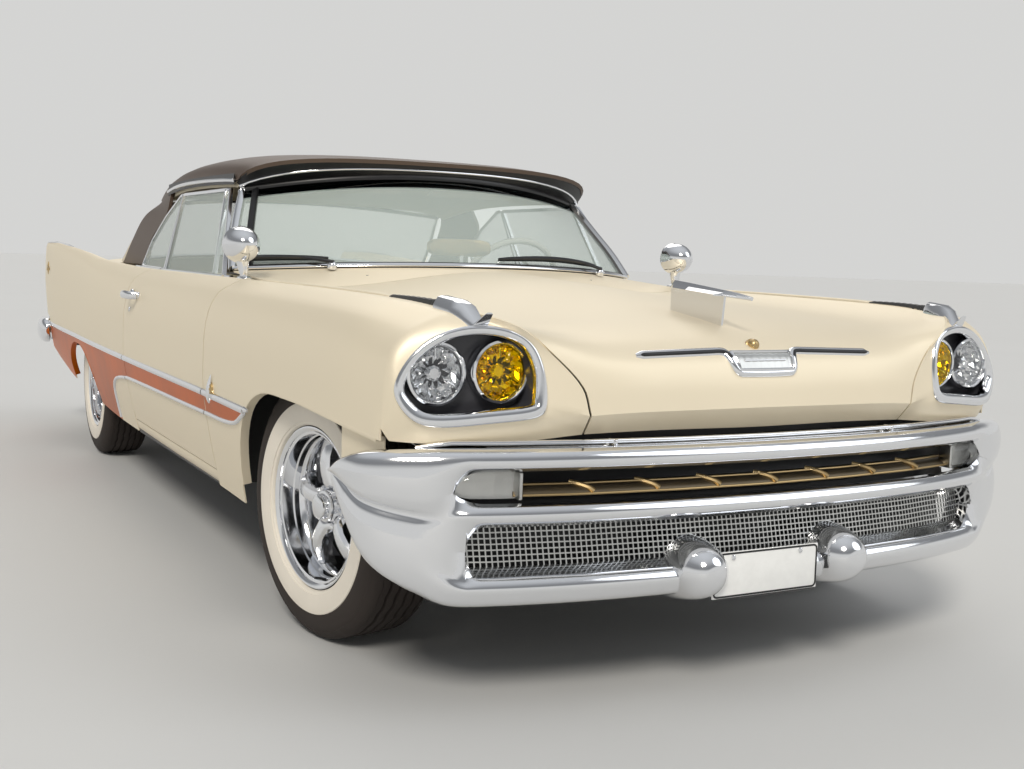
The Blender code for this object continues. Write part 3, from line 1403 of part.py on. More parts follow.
def seat(name, cushion, back):
    """A bench: cushion, back and the two plinths that stand on the floor beside the tunnel."""
    made = block(name, *cushion, upholstery())
    (_, front, _), (half, rear, _) = cushion
    parts = [block(name + "_back", *back, None)]
    for side in (1, -1):
        low, up = sorted((side * SEAT_BASE_INNER, side * (half - SEAT_BASE_INSET)))
        parts.append(block(f"{name}_base_{side}", (low, front + SEAT_BASE_INSET, SEAT_BASE_LOW),
                           (up, rear - SEAT_BASE_INSET, SEAT_BASE_TOP), None))
    return join(made, *parts)


DASH_HALF = 0.765
DASH_SECTION = ((-1.110, 0.800), (-1.110, 0.885), (-0.920, 0.905), (-0.815, 0.890), (-0.795, 0.800), (-0.850, 0.730))
COLUMN_RADIUS = 0.024
STEER_CENTRE = (0.385, -0.600, 0.900)
STEER_TILT = radians(28)
STEER_RADIUS = 0.205
STEER_RIM = 0.013
COLUMN_GAP = 0.006
COLUMN_LENGTH = 0.40
HUB_DISC = 0.045
HUB_THICK = 0.020


def steer_axis():
    return Vector((0, cos(STEER_TILT), sin(STEER_TILT)))


def dashboard():
    rings = [[Vector((x, y, z)) for y, z in DASH_SECTION] for x in (-DASH_HALF, DASH_HALF)]
    made = loft("dashboard", rings, ivory())
    axis = steer_axis()
    centre = Vector(STEER_CENTRE)
    column = rod("steering_column", centre - axis * COLUMN_LENGTH, centre - axis * (HUB_THICK + COLUMN_GAP), COLUMN_RADIUS, None)
    return join(made, column)


def steering_wheel():
    """Rim, two spokes and a hub about the column's axis."""
    bm = bmesh.new()
    pivot = empty("steering_pivot", STEER_CENTRE)
    rings = []
    for i in range(STEER_SEGMENTS):
        a = 2 * pi * i / STEER_SEGMENTS
        ring = []
        for j in range(STEER_SIDES):
            b = 2 * pi * j / STEER_SIDES
            r = STEER_RADIUS + STEER_RIM * cos(b)
            ring.append(Vector((r * cos(a), r * sin(a), STEER_RIM * sin(b))))
        rings.append(ring)
    made = grid_faces(bm, rings + rings[:1], closed=True)
    bmesh.ops.remove_doubles(bm, verts=bm.verts, dist=SCREW_MERGE)
    bmesh.ops.recalc_face_normals(bm, faces=bm.faces)
    wheel = new_object("steering_wheel", mesh_from(bm, "steering_wheel"), trim_plastic())
    wheel.data.shade_smooth()
    parts = [
        rod("steer_hub", (0, 0, -HUB_THICK), (0, 0, HUB_THICK), HUB_DISC, None, HUB_DISC / 2),
        rod("steer_spokes", (-STEER_RADIUS, 0, 0), (STEER_RADIUS, 0, 0), STEER_RIM * SPOKE_FACE_share, None, sides=10),
    ]
    join(wheel, *parts)
    pivot.rotation_euler = (-(pi / 2 - STEER_TILT), 0, 0)
    for obj in [wheel] + parts:
        obj.parent = pivot
    return wheel


STEER_SEGMENTS = 28
STEER_SIDES = 6

MIRROR_FOOT = (0.822, -1.100, 0.9265)
MIRROR_HEAD = (0.832, -1.100, 1.030)
MIRROR_RADIUS = 0.055
MIRROR_BACK = 0.020
MIRROR_NOSE = 0.085
MIRROR_NOSE_RADIUS = 0.018
MIRROR_STEM = 0.012
MIRROR_STEM_TOP = 0.018


def mirror(side):
    """Bullet-shaped door mirror on a stem."""
    x, y, z = MIRROR_HEAD
    head = rod(side_name("mirror", side), (side * x, y + MIRROR_BACK, z), (side * x, y - MIRROR_NOSE, z), MIRROR_RADIUS, chrome(), MIRROR_NOSE_RADIUS)
    foot = (side * MIRROR_FOOT[0], *MIRROR_FOOT[1:])
    stem = rod(f"mirror_stem_{side}", foot, (side * x, y, z), MIRROR_STEM, None, MIRROR_STEM_TOP)
    return join(head, stem)


EXHAUST_x = 0.30
EXHAUST_PATH = ((-1.200, 0.1787), (0.720, 0.1787), (0.950, 0.200), (1.750, 0.200), (2.050, 0.300), (2.600, 0.300))
EXHAUST_RADIUS = 0.026
MUFFLER = (-0.60, 0.10)
MUFFLER_RADIUS = 0.058


def exhaust():
    """One pipe with its silencer along the right of the drive shaft."""
    curve = bpy.data.curves.new("exhaust_path", "CURVE")
    curve.dimensions = "3D"
    curve.bevel_depth = EXHAUST_RADIUS
    curve.bevel_resolution = 2
    curve.use_fill_caps = True
    line = curve.splines.new("POLY")
    line.points.add(len(EXHAUST_PATH) - 1)
    for point, (y, z) in zip(line.points, EXHAUST_PATH):
        point.co = (-EXHAUST_x, y, z, 1)
    guide = bpy.data.objects.new("exhaust_guide", curve)
    bpy.data.collections["cutters"].objects.link(guide)
    bpy.context.view_layer.update()
    mesh = bpy.data.meshes.new_from_object(guide.evaluated_get(bpy.context.evaluated_depsgraph_get()))
    bm = bmesh.new()
    bm.from_mesh(mesh)
    bmesh.ops.remove_doubles(bm, verts=bm.verts, dist=SCREW_MERGE)
    bm.to_mesh(mesh)
    bm.free()
    bpy.data.objects.remove(guide)
    pipe = new_object("exhaust", mesh, steel())
    z = EXHAUST_PATH[0][1]
    silencer = rod("silencer", (-EXHAUST_x, MUFFLER[0], z), (-EXHAUST_x, MUFFLER[1], z), MUFFLER_RADIUS, None)
    return join(pipe, silencer)


FUEL_TANK = ((-0.255, 1.800, 0.320), (0.255, 2.240, 0.5297))


def fuel_tank():
    return block("fuel_tank", *FUEL_TANK, steel())


def clear_scene():
    for obj in list(bpy.data.objects):
        bpy.data.objects.remove(obj, do_unlink=True)
    for name in ("hardtop_car", "cutters"):
        made = bpy.data.collections.get(name) or bpy.data.collections.new(name)
        if name not in bpy.context.scene.collection.children:
            bpy.context.scene.collection.children.link(made)


def main():
    clear_scene()
    hood()
    trunk_lid()
    roof()
    windshield()
    rear_window()
    for side in (1, -1):
        front_fender(side)
        door(side)
        quarter_panel(side)
        door_glass(side)
        quarter_glass(side)
        lamp_pod(side)
        tail_lamp(side)
        mirror(side)
        wheel_house(side)
    cowl()
    rear_deck()
    tail_panel()
    floor_pan()
    chassis_frame()
    engine_block()
    engine_bay()
    rear_axle()
    wheels()
    front_bumper()
    rear_bumper()
    grille_mesh()
    grille_bar()
    seat("front_seat", FRONT_SEAT, FRONT_SEAT_BACK)
    seat("rear_seat", REAR_SEAT, REAR_SEAT_BACK)
    dashboard()
    steering_wheel()
    exhaust()
    fuel_tank()


main()
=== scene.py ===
"""Looks of the two-door hardtop: panels, trim, lamps, glass, wheels and cabin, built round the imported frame.

Metres, +Z up. The car faces -Y, its left side is +X, and the origin is on the ground under its middle.
"""

from math import cos, pi, radians, sin

import bmesh
import bpy
from mathutils import Matrix, Vector


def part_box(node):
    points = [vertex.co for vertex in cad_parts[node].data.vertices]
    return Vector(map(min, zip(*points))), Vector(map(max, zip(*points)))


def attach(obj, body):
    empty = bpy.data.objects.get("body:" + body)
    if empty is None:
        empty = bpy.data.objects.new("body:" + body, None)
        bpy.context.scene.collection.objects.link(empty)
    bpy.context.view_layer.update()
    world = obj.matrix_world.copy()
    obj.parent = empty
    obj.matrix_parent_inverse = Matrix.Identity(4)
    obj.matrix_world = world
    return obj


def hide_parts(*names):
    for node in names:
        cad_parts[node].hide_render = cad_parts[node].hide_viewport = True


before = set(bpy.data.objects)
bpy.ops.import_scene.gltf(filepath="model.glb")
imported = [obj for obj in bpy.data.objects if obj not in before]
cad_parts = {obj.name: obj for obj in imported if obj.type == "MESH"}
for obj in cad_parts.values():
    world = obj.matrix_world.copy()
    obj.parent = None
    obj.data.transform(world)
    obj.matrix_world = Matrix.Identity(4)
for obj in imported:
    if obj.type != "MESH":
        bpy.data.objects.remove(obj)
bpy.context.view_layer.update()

# Sizes and tables shared with the CAD source
LENGTH = 5.54
WIDTH = 2.00
BELT_HEIGHT = 0.93
WHEELBASE = 3.20
FRONT_OVERHANG = 0.899
FRONT_TRACK = 1.549
REAR_TRACK = 1.516
TYRE_RADIUS = 0.348
RIM_RADIUS = 0.2125
REST_STEER = radians(9)
HALF_LENGTH = LENGTH / 2
HALF_WIDTH = WIDTH / 2
FRONT_AXLE_Y = FRONT_OVERHANG - HALF_LENGTH
REAR_AXLE_Y = FRONT_AXLE_Y + WHEELBASE
SIDE_shares = (
    (-0.900, 0.735, 0.965, 0.790, 0.960, 0.925, 0.880, 0.306),
    (-0.830, 0.758, 0.978, 0.825, 0.982, 0.952, 0.925, 0.306),
    (-0.675, 0.770, 0.986, 0.838, 0.992, 0.968, 0.930, 0.306),
    (-0.426, 0.788, 0.990, 0.850, 0.995, 0.972, 0.917, 0.306),
    (-0.200, 0.805, 0.993, 0.857, 0.998, 0.973, 0.914, 0.306),
    (0.018, 0.815, 0.995, 0.862, 1.000, 0.972, 0.910, 0.306),
    (0.180, 0.810, 0.998, 0.868, 1.008, 0.968, 0.903, 0.306),
    (0.343, 0.785, 1.003, 0.878, 1.028, 0.962, 0.890, 0.312),
    (0.480, 0.760, 1.008, 0.886, 1.060, 0.952, 0.887, 0.330),
    (0.650, 0.752, 1.003, 0.893, 1.090, 0.944, 0.882, 0.360),
    (0.800, 0.744, 0.985, 0.896, 1.111, 0.934, 0.872, 0.400),
    (0.935, 0.738, 0.925, 0.892, 1.113, 0.916, 0.868, 0.450),
)
FIN_HOLLOW_share = 0.30
BROW_DROP_share = 0.048
BROW_REACH_share = 0.62
UPPER_z_share = 0.850
UPPER_REACH_share = 0.93
WAIST_z_share = 0.690
TRIM_z_share = 0.616
TRIM_TUCK_share = 0.05
LOW_z_share = 0.470
LOW_TUCK_share = 0.42
NOSE_Y_share = -0.962
NOSE_SWEEP_shares = (0.0322, 0.0289)
NOSE_LEAN = 0.18
CREASE_z_share = 0.731
LAMP_OPENING_shares = (
    (0.605, 0.727), (0.700, 0.717), (0.810, 0.705), (0.864, 0.713), (0.893, 0.748), (0.905, 0.787),
    (0.870, 0.856), (0.817, 0.902), (0.749, 0.924), (0.682, 0.922), (0.626, 0.900), (0.601, 0.858),
    (0.592, 0.808), (0.592, 0.752),
)
NOSE_RIM_shares = (
    (0.483, -0.940, 0.672), (0.680, -0.932, 0.655), (0.840, -0.916, 0.648), (0.895, -0.903, 0.650),
    (0.920, -0.900, 0.690), (0.914, -0.900, 0.850), (0.874, -0.900, 0.912), (0.790, -0.900, 0.960),
    (0.762, -0.900, 0.963), (0.735, -0.900, 0.965), (0.646, -0.937, 0.930), (0.566, -0.943, 0.862),
    (0.505, -0.951, 0.788), (0.488, -0.954, 0.722),
)
HOOD_FRONT_shares = (
    (-0.946, 0.674, 0.300, -0.944, 0.676, 0),
    (-0.962, 0.731, 0.300, -0.959, 0.729, 13),
    (-0.958, 0.800, 0.320, -0.956, 0.798, 12),
    (-0.947, 0.860, 0.360, -0.946, 0.856, 11),
    (-0.917, 0.907, 0.420, -0.921, 0.898, 10),
)
HOOD_TOP_shares = (
    (-0.900, -0.860, 0.939, 0.550, -0.868, 0.925),
    (-0.830, -0.800, 0.961, 0.585, -0.805, 0.935),
    (-0.750, -0.738, 0.980, 0.602, -0.739, 0.945),
    (-0.600, -0.600, 1.013, 0.620, -0.600, 0.959),
    (-0.442, -0.442, 1.037, 0.630, -0.442, 0.972),
)
HOOD_REAR_share = -0.442
TRUNK_shares = (
    (0.582, 1.046, 0.450, 0.582, 1.036, 0.742, 0.582, 1.006),
    (0.686, 1.038, 0.450, 0.686, 1.028, 0.739, 0.686, 1.000),
    (0.794, 1.012, 0.450, 0.794, 1.004, 0.734, 0.794, 0.978),
    (0.874, 0.970, 0.450, 0.874, 0.964, 0.731, 0.874, 0.948),
    (0.910, 0.915, 0.450, 0.910, 0.912, 0.729, 0.908, 0.905),
    (0.930, 0.820, 0.450, 0.930, 0.820, 0.727, 0.926, 0.815),
    (0.938, 0.710, 0.450, 0.938, 0.710, 0.725, 0.934, 0.710),
)
ROOF_shares = (
    (-0.296, 1.448, 0.704, -0.216, 1.352),
    (-0.226, 1.472, 0.709, -0.175, 1.357),
    (-0.090, 1.492, 0.714, -0.072, 1.363),
    (0.072, 1.489, 0.714, 0.050, 1.361),
    (0.200, 1.458, 0.706, 0.140, 1.346),
    (0.285, 1.407, 0.694, 0.205, 1.320),
    (0.338, 1.355, 0.684, 0.240, 1.302),
)
PILLAR_shares = (
    (1.235, 0.736, 0.130, 0.200, 0.282),
    (1.118, 0.764, 0.190, 0.262, 0.330),
    (1.008, 0.778, 0.200, 0.290, 0.378),
)
WINDSHIELD_shares = (
    (-0.290, 1.388, 0.682, -0.214, 1.318),
    (-0.340, 1.270, 0.726, -0.246, 1.210),
    (-0.386, 1.150, 0.764, -0.278, 1.110),
    (-0.420, 1.056, 0.786, -0.304, 1.022),
)
REAR_WINDOW_shares = (
    (0.348, 1.345, 0.672, 0.2515, 1.292),
    (0.408, 1.270, 0.716, 0.300, 1.225),
    (0.484, 1.155, 0.748, 0.350, 1.115),
    (0.548, 1.060, 0.768, 0.396, 1.016),
)
WRAP_POWER = 2.2
FRONT_ARCH_HALF = 0.390
REAR_ARCH_HALF = 0.390
REAR_ARCH_TOP = 0.547
ARCH_FOOT = 0.22
ARCH_POWER = 2.4
QUARTER_END = ((2.318, -0.4), (2.318, 0.610), (2.430, 0.630), (2.600, 0.820), (3.000, 0.820), (3.000, -0.400))
DOOR_GLASS_shares = ((-0.292, 0, 0.808), (0.008, 0, 0.808), (0.034, 1.316, 0.722), (-0.204, 1.316, 0.718))
QUARTER_GLASS_shares = (
    (0.0225, 0, 0.806), (0.185, 0, 0.798), (0.178, 1.118, 0.760), (0.122, 1.225, 0.737),
    (0.052, 1.312, 0.721), (0.0385, 1.316, 0.721),
)
PANE_SEAT = 0.0012
RIM_HALF = 0.095
RIM_BARREL = 0.1925
SPOKES = 5
KINGPIN_x = 0.700
TAIL_OUTLINE = ((0.744, 0.655), (0.744, 0.843), (0.812, 0.868), (0.868, 0.940), (0.880, 0.972),
                (0.889, 0.972), (0.897, 0.800), (0.895, 0.655))
TAIL_LAMP_x = 0.828
TAIL_LAMPS = (0.715, 0.790, 0.863)
LAMPS = ((0.664, -2.545, 0.764), (0.812, -2.527, 0.760))
POD_CENTRE_shares = (0.744, 0.826)
FRONT_PLAN_shares = (
    (0.000, -0.982), (0.250, -0.979), (0.500, -0.970), (0.700, -0.956), (0.790, -0.9455), (0.850, -0.937),
    (0.940, -0.918), (0.982, -0.902), (0.997, -0.880), (0.995, -0.850), (0.987, -0.815),
)
REAR_PLAN_shares = (
    (0.000, 0.9985), (0.300, 0.996), (0.600, 0.985), (0.800, 0.967), (0.900, 0.950), (0.950, 0.928),
    (0.968, 0.895), (0.966, 0.840),
)
GUARD_x = 0.212
MESH_LOW = 0.342
MESH_TOP = 0.4383
GRILLE_HALF_share = 0.66
FRONT_SEAT = ((-0.660, -0.460, 0.425), (0.660, 0.060, 0.540))
FRONT_SEAT_BACK = ((-0.665, -0.010, 0.435), (0.665, 0.160, 0.940))
REAR_SEAT = ((-0.580, 0.420, 0.425), (0.580, 0.930, 0.500))
REAR_SEAT_BACK = ((-0.575, 0.832, 0.435), (0.575, 0.944, 0.868))
DASH_HALF = 0.765
DASH_SECTION = ((-1.110, 0.800), (-1.110, 0.885), (-0.920, 0.905), (-0.815, 0.890), (-0.795, 0.800),
                (-0.850, 0.730))
STEER_CENTRE = (0.385, -0.600, 0.900)
STEER_TILT = radians(28)
STEER_RADIUS = 0.205
STEER_AXIS = Vector((0, cos(STEER_TILT), sin(STEER_TILT)))
MIRROR_FOOT = (0.822, -1.100, 0.9265)
MIRROR_HEAD = (0.832, -1.100, 1.030)


def span(y_share):
    return y_share * HALF_LENGTH


def across(x_share):
    return x_share * HALF_WIDTH


def high(z_share):
    return z_share * BELT_HEIGHT


def place(x_share, y_share, z_share):
    return Vector((across(x_share), span(y_share), high(z_share)))


def smooth_value(table, column, where):
    """Cubic between the rows of a table, whose first column is the place."""
    places = [row[0] for row in table]
    last = len(table) - 1
    where = min(max(where, places[0]), places[last])
    i = max(k for k in range(last) if places[k] <= where)
    j = i + 1

    def slope(k):
        a, b = max(k - 1, 0), min(k + 1, last)
        return (table[b][column] - table[a][column]) / (places[b] - places[a])

    width = places[j] - places[i]
    t = (where - places[i]) / width
    start, end = table[i][column], table[j][column]
    return (
        start * (1 + 2 * t) * (1 - t) ** 2
        + slope(i) * width * t * (1 - t) ** 2
        + end * t * t * (3 - 2 * t)
        - slope(j) * width * t * t * (1 - t)
    )


def side_points(y_share):
    """The outer side at one station, from the seam over the crest down to the sill: (x, z) pairs."""
    seam_x, seam_z, crest_x, crest_z, waist_x, sill_x, sill_z = (
        smooth_value(SIDE_shares, column, y_share) for column in range(1, 8)
    )
    reach = waist_x - crest_x
    hollow = FIN_HOLLOW_share * max(crest_z - seam_z, 0)
    tuck = waist_x - sill_x
    shares = (
        (seam_x, seam_z),
        ((seam_x + crest_x) / 2, (seam_z + crest_z) / 2 - hollow),
        (crest_x, crest_z),
        (crest_x + BROW_REACH_share * reach, crest_z - BROW_DROP_share),
        (crest_x + UPPER_REACH_share * reach, UPPER_z_share),
        (waist_x, WAIST_z_share),
        (waist_x - TRIM_TUCK_share * tuck, TRIM_z_share),
        (waist_x - LOW_TUCK_share * tuck, LOW_z_share),
        (sill_x, sill_z),
    )
    return [(across(x), high(z)) for x, z in shares]


def nose_y(x, z):
    """Depth of the nose surface at a place seen from ahead."""
    share = abs(x) / HALF_WIDTH
    sweep = NOSE_SWEEP_shares[0] * share ** 2 + NOSE_SWEEP_shares[1] * share ** 4
    lean = NOSE_LEAN * (z - high(CREASE_z_share))
    return span(NOSE_Y_share + sweep) + lean


def window_rows(table, half):
    rows = []
    for mid_y, mid_z, side_x, side_y, side_z in table:
        row = []
        for k in range(-half, half + 1):
            u = abs(k) / half
            x = side_x * u
            wrap = u ** WRAP_POWER
            row.append(place(x if k > 0 else -x, mid_y + (side_y - mid_y) * wrap,
                             mid_z + (side_z - mid_z) * wrap))
        rows.append(row)
    return rows


def plan_depth(plan_shares, x):
    """Where a plan curve lies at one x."""
    share = abs(x) / HALF_WIDTH
    for (x0, y0), (x1, y1) in zip(plan_shares, plan_shares[1:]):
        if share <= x1:
            return span(y0 + (y1 - y0) * (share - x0) / (x1 - x0))
    return span(plan_shares[-1][1])


# Materials


def node(tree, kind, **values):
    made = tree.nodes.new(kind)
    for key, value in values.items():
        if key in made.inputs:
            made.inputs[key].default_value = value
        else:
            setattr(made, key, value)
    return made


def finish(name, color, rough, metal=0.0, tone=0.06, tone_scale=3.0, rough_change=0.08, grain=0.0,
           grain_scale=400.0, coat=0.0, **sockets):
    """A Principled material whose colour and roughness drift over it, with a fine grain in relief."""
    found = bpy.data.materials.get(name)
    if found:
        return found
    made = bpy.data.materials.new(name)
    made.use_nodes = True
    tree = made.node_tree
    shader = tree.nodes["Principled BSDF"]
    shader.inputs["Metallic"].default_value = metal
    shader.inputs["Coat Weight"].default_value = coat
    shader.inputs["Coat Roughness"].default_value = 0.04
    for key, value in sockets.items():
        shader.inputs[key.replace("_", " ")].default_value = value
    place_node = node(tree, "ShaderNodeTexCoord")
    scaled = node(tree, "ShaderNodeMapping")
    tree.links.new(place_node.outputs["Object"], scaled.inputs["Vector"])
    cloud = node(tree, "ShaderNodeTexNoise", Scale=tone_scale, Detail=5.0, Roughness=0.6)
    tree.links.new(scaled.outputs["Vector"], cloud.inputs["Vector"])
    ramp = node(tree, "ShaderNodeValToRGB")
    darker = tuple(c * (1 - tone) for c in color)
    lighter = tuple(min(c * (1 + tone), 1) for c in color)
    ramp.color_ramp.elements[0].position = 0.35
    ramp.color_ramp.elements[0].color = (*darker, 1)
    ramp.color_ramp.elements[1].position = 0.65
    ramp.color_ramp.elements[1].color = (*lighter, 1)
    tree.links.new(cloud.outputs["Fac"], ramp.inputs["Fac"])
    tree.links.new(ramp.outputs["Color"], shader.inputs["Base Color"])
    spread = node(tree, "ShaderNodeMapRange")
    spread.inputs["To Min"].default_value = max(rough * (1 - rough_change), 0.02)
    spread.inputs["To Max"].default_value = min(rough * (1 + rough_change) + rough_change * 0.2, 1)
    tree.links.new(cloud.outputs["Fac"], spread.inputs["Value"])
    tree.links.new(spread.outputs["Result"], shader.inputs["Roughness"])
    if grain:
        fine = node(tree, "ShaderNodeTexNoise", Scale=grain_scale, Detail=3.0)
        tree.links.new(scaled.outputs["Vector"], fine.inputs["Vector"])
        relief = node(tree, "ShaderNodeBump", Strength=grain, Distance=0.001)
        tree.links.new(fine.outputs["Fac"], relief.inputs["Height"])
        tree.links.new(relief.outputs["Normal"], shader.inputs["Normal"])
    return made


def ivory():
    return finish("ivory_paint", (0.91, 0.84, 0.69), 0.26, tone=0.025, tone_scale=1.4, grain=0.02,
                  grain_scale=900, coat=0.8)


def copper():
    return finish("copper_paint", (0.62, 0.135, 0.010), 0.38, 1.0, tone=0.14, tone_scale=2.2, grain=0.05,
                  grain_scale=1500, coat=0.05)


def bronze():
    return finish("bronze_paint", (0.020, 0.012, 0.008), 0.24, 0.1, tone=0.12, grain=0.04, grain_scale=1500,
                  coat=0.7)


def bronze_face():
    return finish("bronze_face", (0.13, 0.105, 0.07), 0.32, 0.85, tone=0.10, grain=0.05, grain_scale=900)


def chrome():
    return finish("chrome", (0.78, 0.79, 0.80), 0.055, 1.0, tone=0.02, tone_scale=6, rough_change=0.5,
                  grain=0.008, grain_scale=300)


def satin():
    return finish("satin_metal", (0.62, 0.62, 0.60), 0.28, 1.0, tone=0.06, tone_scale=12, grain=0.06,
                  grain_scale=1200)


def gold():
    return finish("gold_anodised", (0.86, 0.56, 0.16), 0.18, 1.0, tone=0.06, tone_scale=20, grain=0.03,
                  grain_scale=900)


def black_trim():
    return finish("black_trim", (0.010, 0.010, 0.011), 0.35, tone=0.2, tone_scale=20, grain=0.1,
                  grain_scale=900)


def pod_black():
    return finish("lamp_housing", (0.012, 0.012, 0.014), 0.16, tone=0.15, tone_scale=30, coat=0.6, grain=0.02)


def rubber():
    return finish("tyre_rubber", (0.022, 0.019, 0.017), 0.72, tone=0.25, tone_scale=14, grain=0.35,
                  grain_scale=900)


def whitewall():
    return finish("whitewall_rubber", (0.82, 0.76, 0.66), 0.5, tone=0.03, tone_scale=9, grain=0.08,
                  grain_scale=700)


def steel():
    return finish("dark_steel", (0.045, 0.043, 0.040), 0.62, 0.4, tone=0.35, tone_scale=8, grain=0.35,
                  grain_scale=260)


def cast():
    return finish("cast_iron", (0.11, 0.105, 0.10), 0.66, 0.7, tone=0.3, tone_scale=9, grain=0.6,
                  grain_scale=220)


def engine_paint():
    return finish("engine_paint", (0.09, 0.10, 0.10), 0.45, 0.2, tone=0.25, tone_scale=12, grain=0.4,
                  grain_scale=240)


def fabric():
    return finish("cream_upholstery", (0.72, 0.64, 0.48), 0.62, tone=0.07, tone_scale=18, grain=0.55,
                  grain_scale=620, Sheen_Weight=0.25)


def dark_fabric():
    return finish("dark_upholstery", (0.055, 0.036, 0.024), 0.68, tone=0.25, tone_scale=60, grain=0.7,
                  grain_scale=700, Sheen_Weight=0.3)


def carpet():
    return finish("carpet", (0.10, 0.075, 0.05), 0.95, tone=0.3, tone_scale=90, grain=1.0, grain_scale=500,
                  Sheen_Weight=0.4)


def plastic():
    return finish("white_plastic", (0.80, 0.77, 0.70), 0.26, tone=0.04, tone_scale=14, grain=0.02, coat=0.5)


def dash_paint():
    return finish("dash_paint", (0.60, 0.50, 0.34), 0.3, tone=0.04, tone_scale=8, grain=0.05, coat=0.8)


def white_enamel():
    return finish("plate_white", (0.83, 0.83, 0.81), 0.35, tone=0.03, tone_scale=30, grain=0.04, coat=0.3)


def yellow_bowl():
    return finish("yellow_reflector", (0.98, 0.76, 0.05), 0.12, 1.0, tone=0.18, tone_scale=55, grain=0.1,
                  grain_scale=120)


def clear_bowl():
    return finish("clear_reflector", (0.80, 0.81, 0.82), 0.10, 1.0, tone=0.12, tone_scale=55, grain=0.1,
                  grain_scale=120)


GLASS_ROUGH = 0.02
GLASS_GLOSS = 0.5


def see_through(name, color, mix=0.0):
    """Glass that lets light straight through, with a reflection that grows towards its edges."""
    found = bpy.data.materials.get(name)
    if found:
        return found
    made = bpy.data.materials.new(name)
    made.use_nodes = True
    tree = made.node_tree
    tree.nodes.remove(tree.nodes["Principled BSDF"])
    out = tree.nodes["Material Output"]
    clear = node(tree, "ShaderNodeBsdfTransparent")
    body = node(tree, "ShaderNodeBsdfPrincipled", Metallic=1.0, Roughness=GLASS_ROUGH)
    place_node = node(tree, "ShaderNodeTexCoord")
    cloud = node(tree, "ShaderNodeTexNoise", Scale=5.0, Detail=3.0)
    tree.links.new(place_node.outputs["Object"], cloud.inputs["Vector"])
    ramp = node(tree, "ShaderNodeValToRGB")
    ramp.color_ramp.elements[0].color = (*(c * 0.94 for c in color), 1)
    ramp.color_ramp.elements[1].color = (*color, 1)
    tree.links.new(cloud.outputs["Fac"], ramp.inputs["Fac"])
    tree.links.new(ramp.outputs["Color"], clear.inputs["Color"])
    body.inputs["Base Color"].default_value = (0.9, 0.92, 0.92, 1)
    edge = node(tree, "ShaderNodeFresnel", IOR=1.45)
    share = node(tree, "ShaderNodeMath", operation="MULTIPLY_ADD")
    share.inputs[1].default_value = GLASS_GLOSS
    share.inputs[2].default_value = mix
    tree.links.new(edge.outputs["Fac"], share.inputs[0])
    blend = node(tree, "ShaderNodeMixShader")
    tree.links.new(share.outputs["Value"], blend.inputs["Fac"])
    tree.links.new(clear.outputs["BSDF"], blend.inputs[1])
    tree.links.new(body.outputs["BSDF"], blend.inputs[2])
    tree.links.new(blend.outputs["Shader"], out.inputs["Surface"])
    return made


def window_glass():
    return see_through("tinted_glass", (0.74, 0.86, 0.79))


def shade_band():
    return see_through("shade_band", (0.045, 0.085, 0.10))


def lens_clear():
    return see_through("lamp_lens", (0.97, 0.97, 0.97), 0.02)


def lens_yellow():
    return see_through("yellow_lens", (1.0, 0.86, 0.16), 0.02)


def lens_red():
    return finish("red_lens", (0.42, 0.012, 0.010), 0.10, tone=0.2, tone_scale=40, coat=1.0,
                  Transmission_Weight=0.15)


# Geometry helpers

# Faces that meet at more than this many degrees keep a sharp edge
SHADE_ANGLE = 38


def smooth_line(keys, steps, closed=False, corners=()):
    """Points of a smooth curve through the keys, with the listed keys left as corners."""
    keys = [Vector(k) for k in keys]
    count = len(keys)
    spans = count if closed else count - 1

    def slope(i, side):
        before, after = i - 1, i + 1
        if closed:
            before, after = before % count, after % count
        if not closed and i == 0 or i in corners and side > 0:
            before = i
        elif not closed and i == count - 1 or i in corners:
            after = i
        a, b, c = keys[before], keys[i], keys[after]
        length = (b - a).length + (c - b).length
        return (c - a) / length if length else Vector((0, 0, 0))

    found = []
    for i in range(spans):
        a, b = keys[i], keys[(i + 1) % count]
        chord = (b - a).length
        start, end = slope(i, 1) * chord, slope((i + 1) % count, -1) * chord
        for k in range(steps):
            t = k / steps
            found.append(a * (1 + 2 * t) * (1 - t) ** 2 + start * t * (1 - t) ** 2 + b * t * t
                         * (3 - 2 * t) - end * t * t * (1 - t))
    if not closed:
        found.append(keys[-1])
    return found


def to_object(bm, name, materials, body, angle=SHADE_ANGLE):
    """A finished bmesh as a piece that rides on a body."""
    mesh = bpy.data.meshes.new(name)
    bm.to_mesh(mesh)
    bm.free()
    obj = bpy.data.objects.new(name, mesh)
    bpy.context.scene.collection.objects.link(obj)
    for made_of in materials if isinstance(materials, (list, tuple)) else [materials]:
        mesh.materials.append(made_of)
    mesh.shade_smooth()
    mesh.set_sharp_from_angle(angle=radians(angle))
    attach(obj, body)
    return obj


def settle(obj, angle=SHADE_ANGLE):
    """The modifiers are applied to the mesh, which is shaded again."""
    bpy.context.view_layer.update()
    mesh = bpy.data.meshes.new_from_object(obj.evaluated_get(bpy.context.evaluated_depsgraph_get()))
    mesh.name = obj.name
    obj.modifiers.clear()
    obj.data = mesh
    mesh.shade_smooth()
    mesh.set_sharp_from_angle(angle=radians(angle))


def grid(bm, rows, closed=False, pick=None):
    """Quads between rows of points; pick gives each quad's material slot."""
    made = [[bm.verts.new(p) for p in row] for row in rows]
    columns = len(rows[0])
    for i, (low, up) in enumerate(zip(made, made[1:])):
        for j in range(columns if closed else columns - 1):
            k = (j + 1) % columns
            face = bm.faces.new((low[j], low[k], up[k], up[j]))
            if pick:
                face.material_index = pick(i, j)
    return made


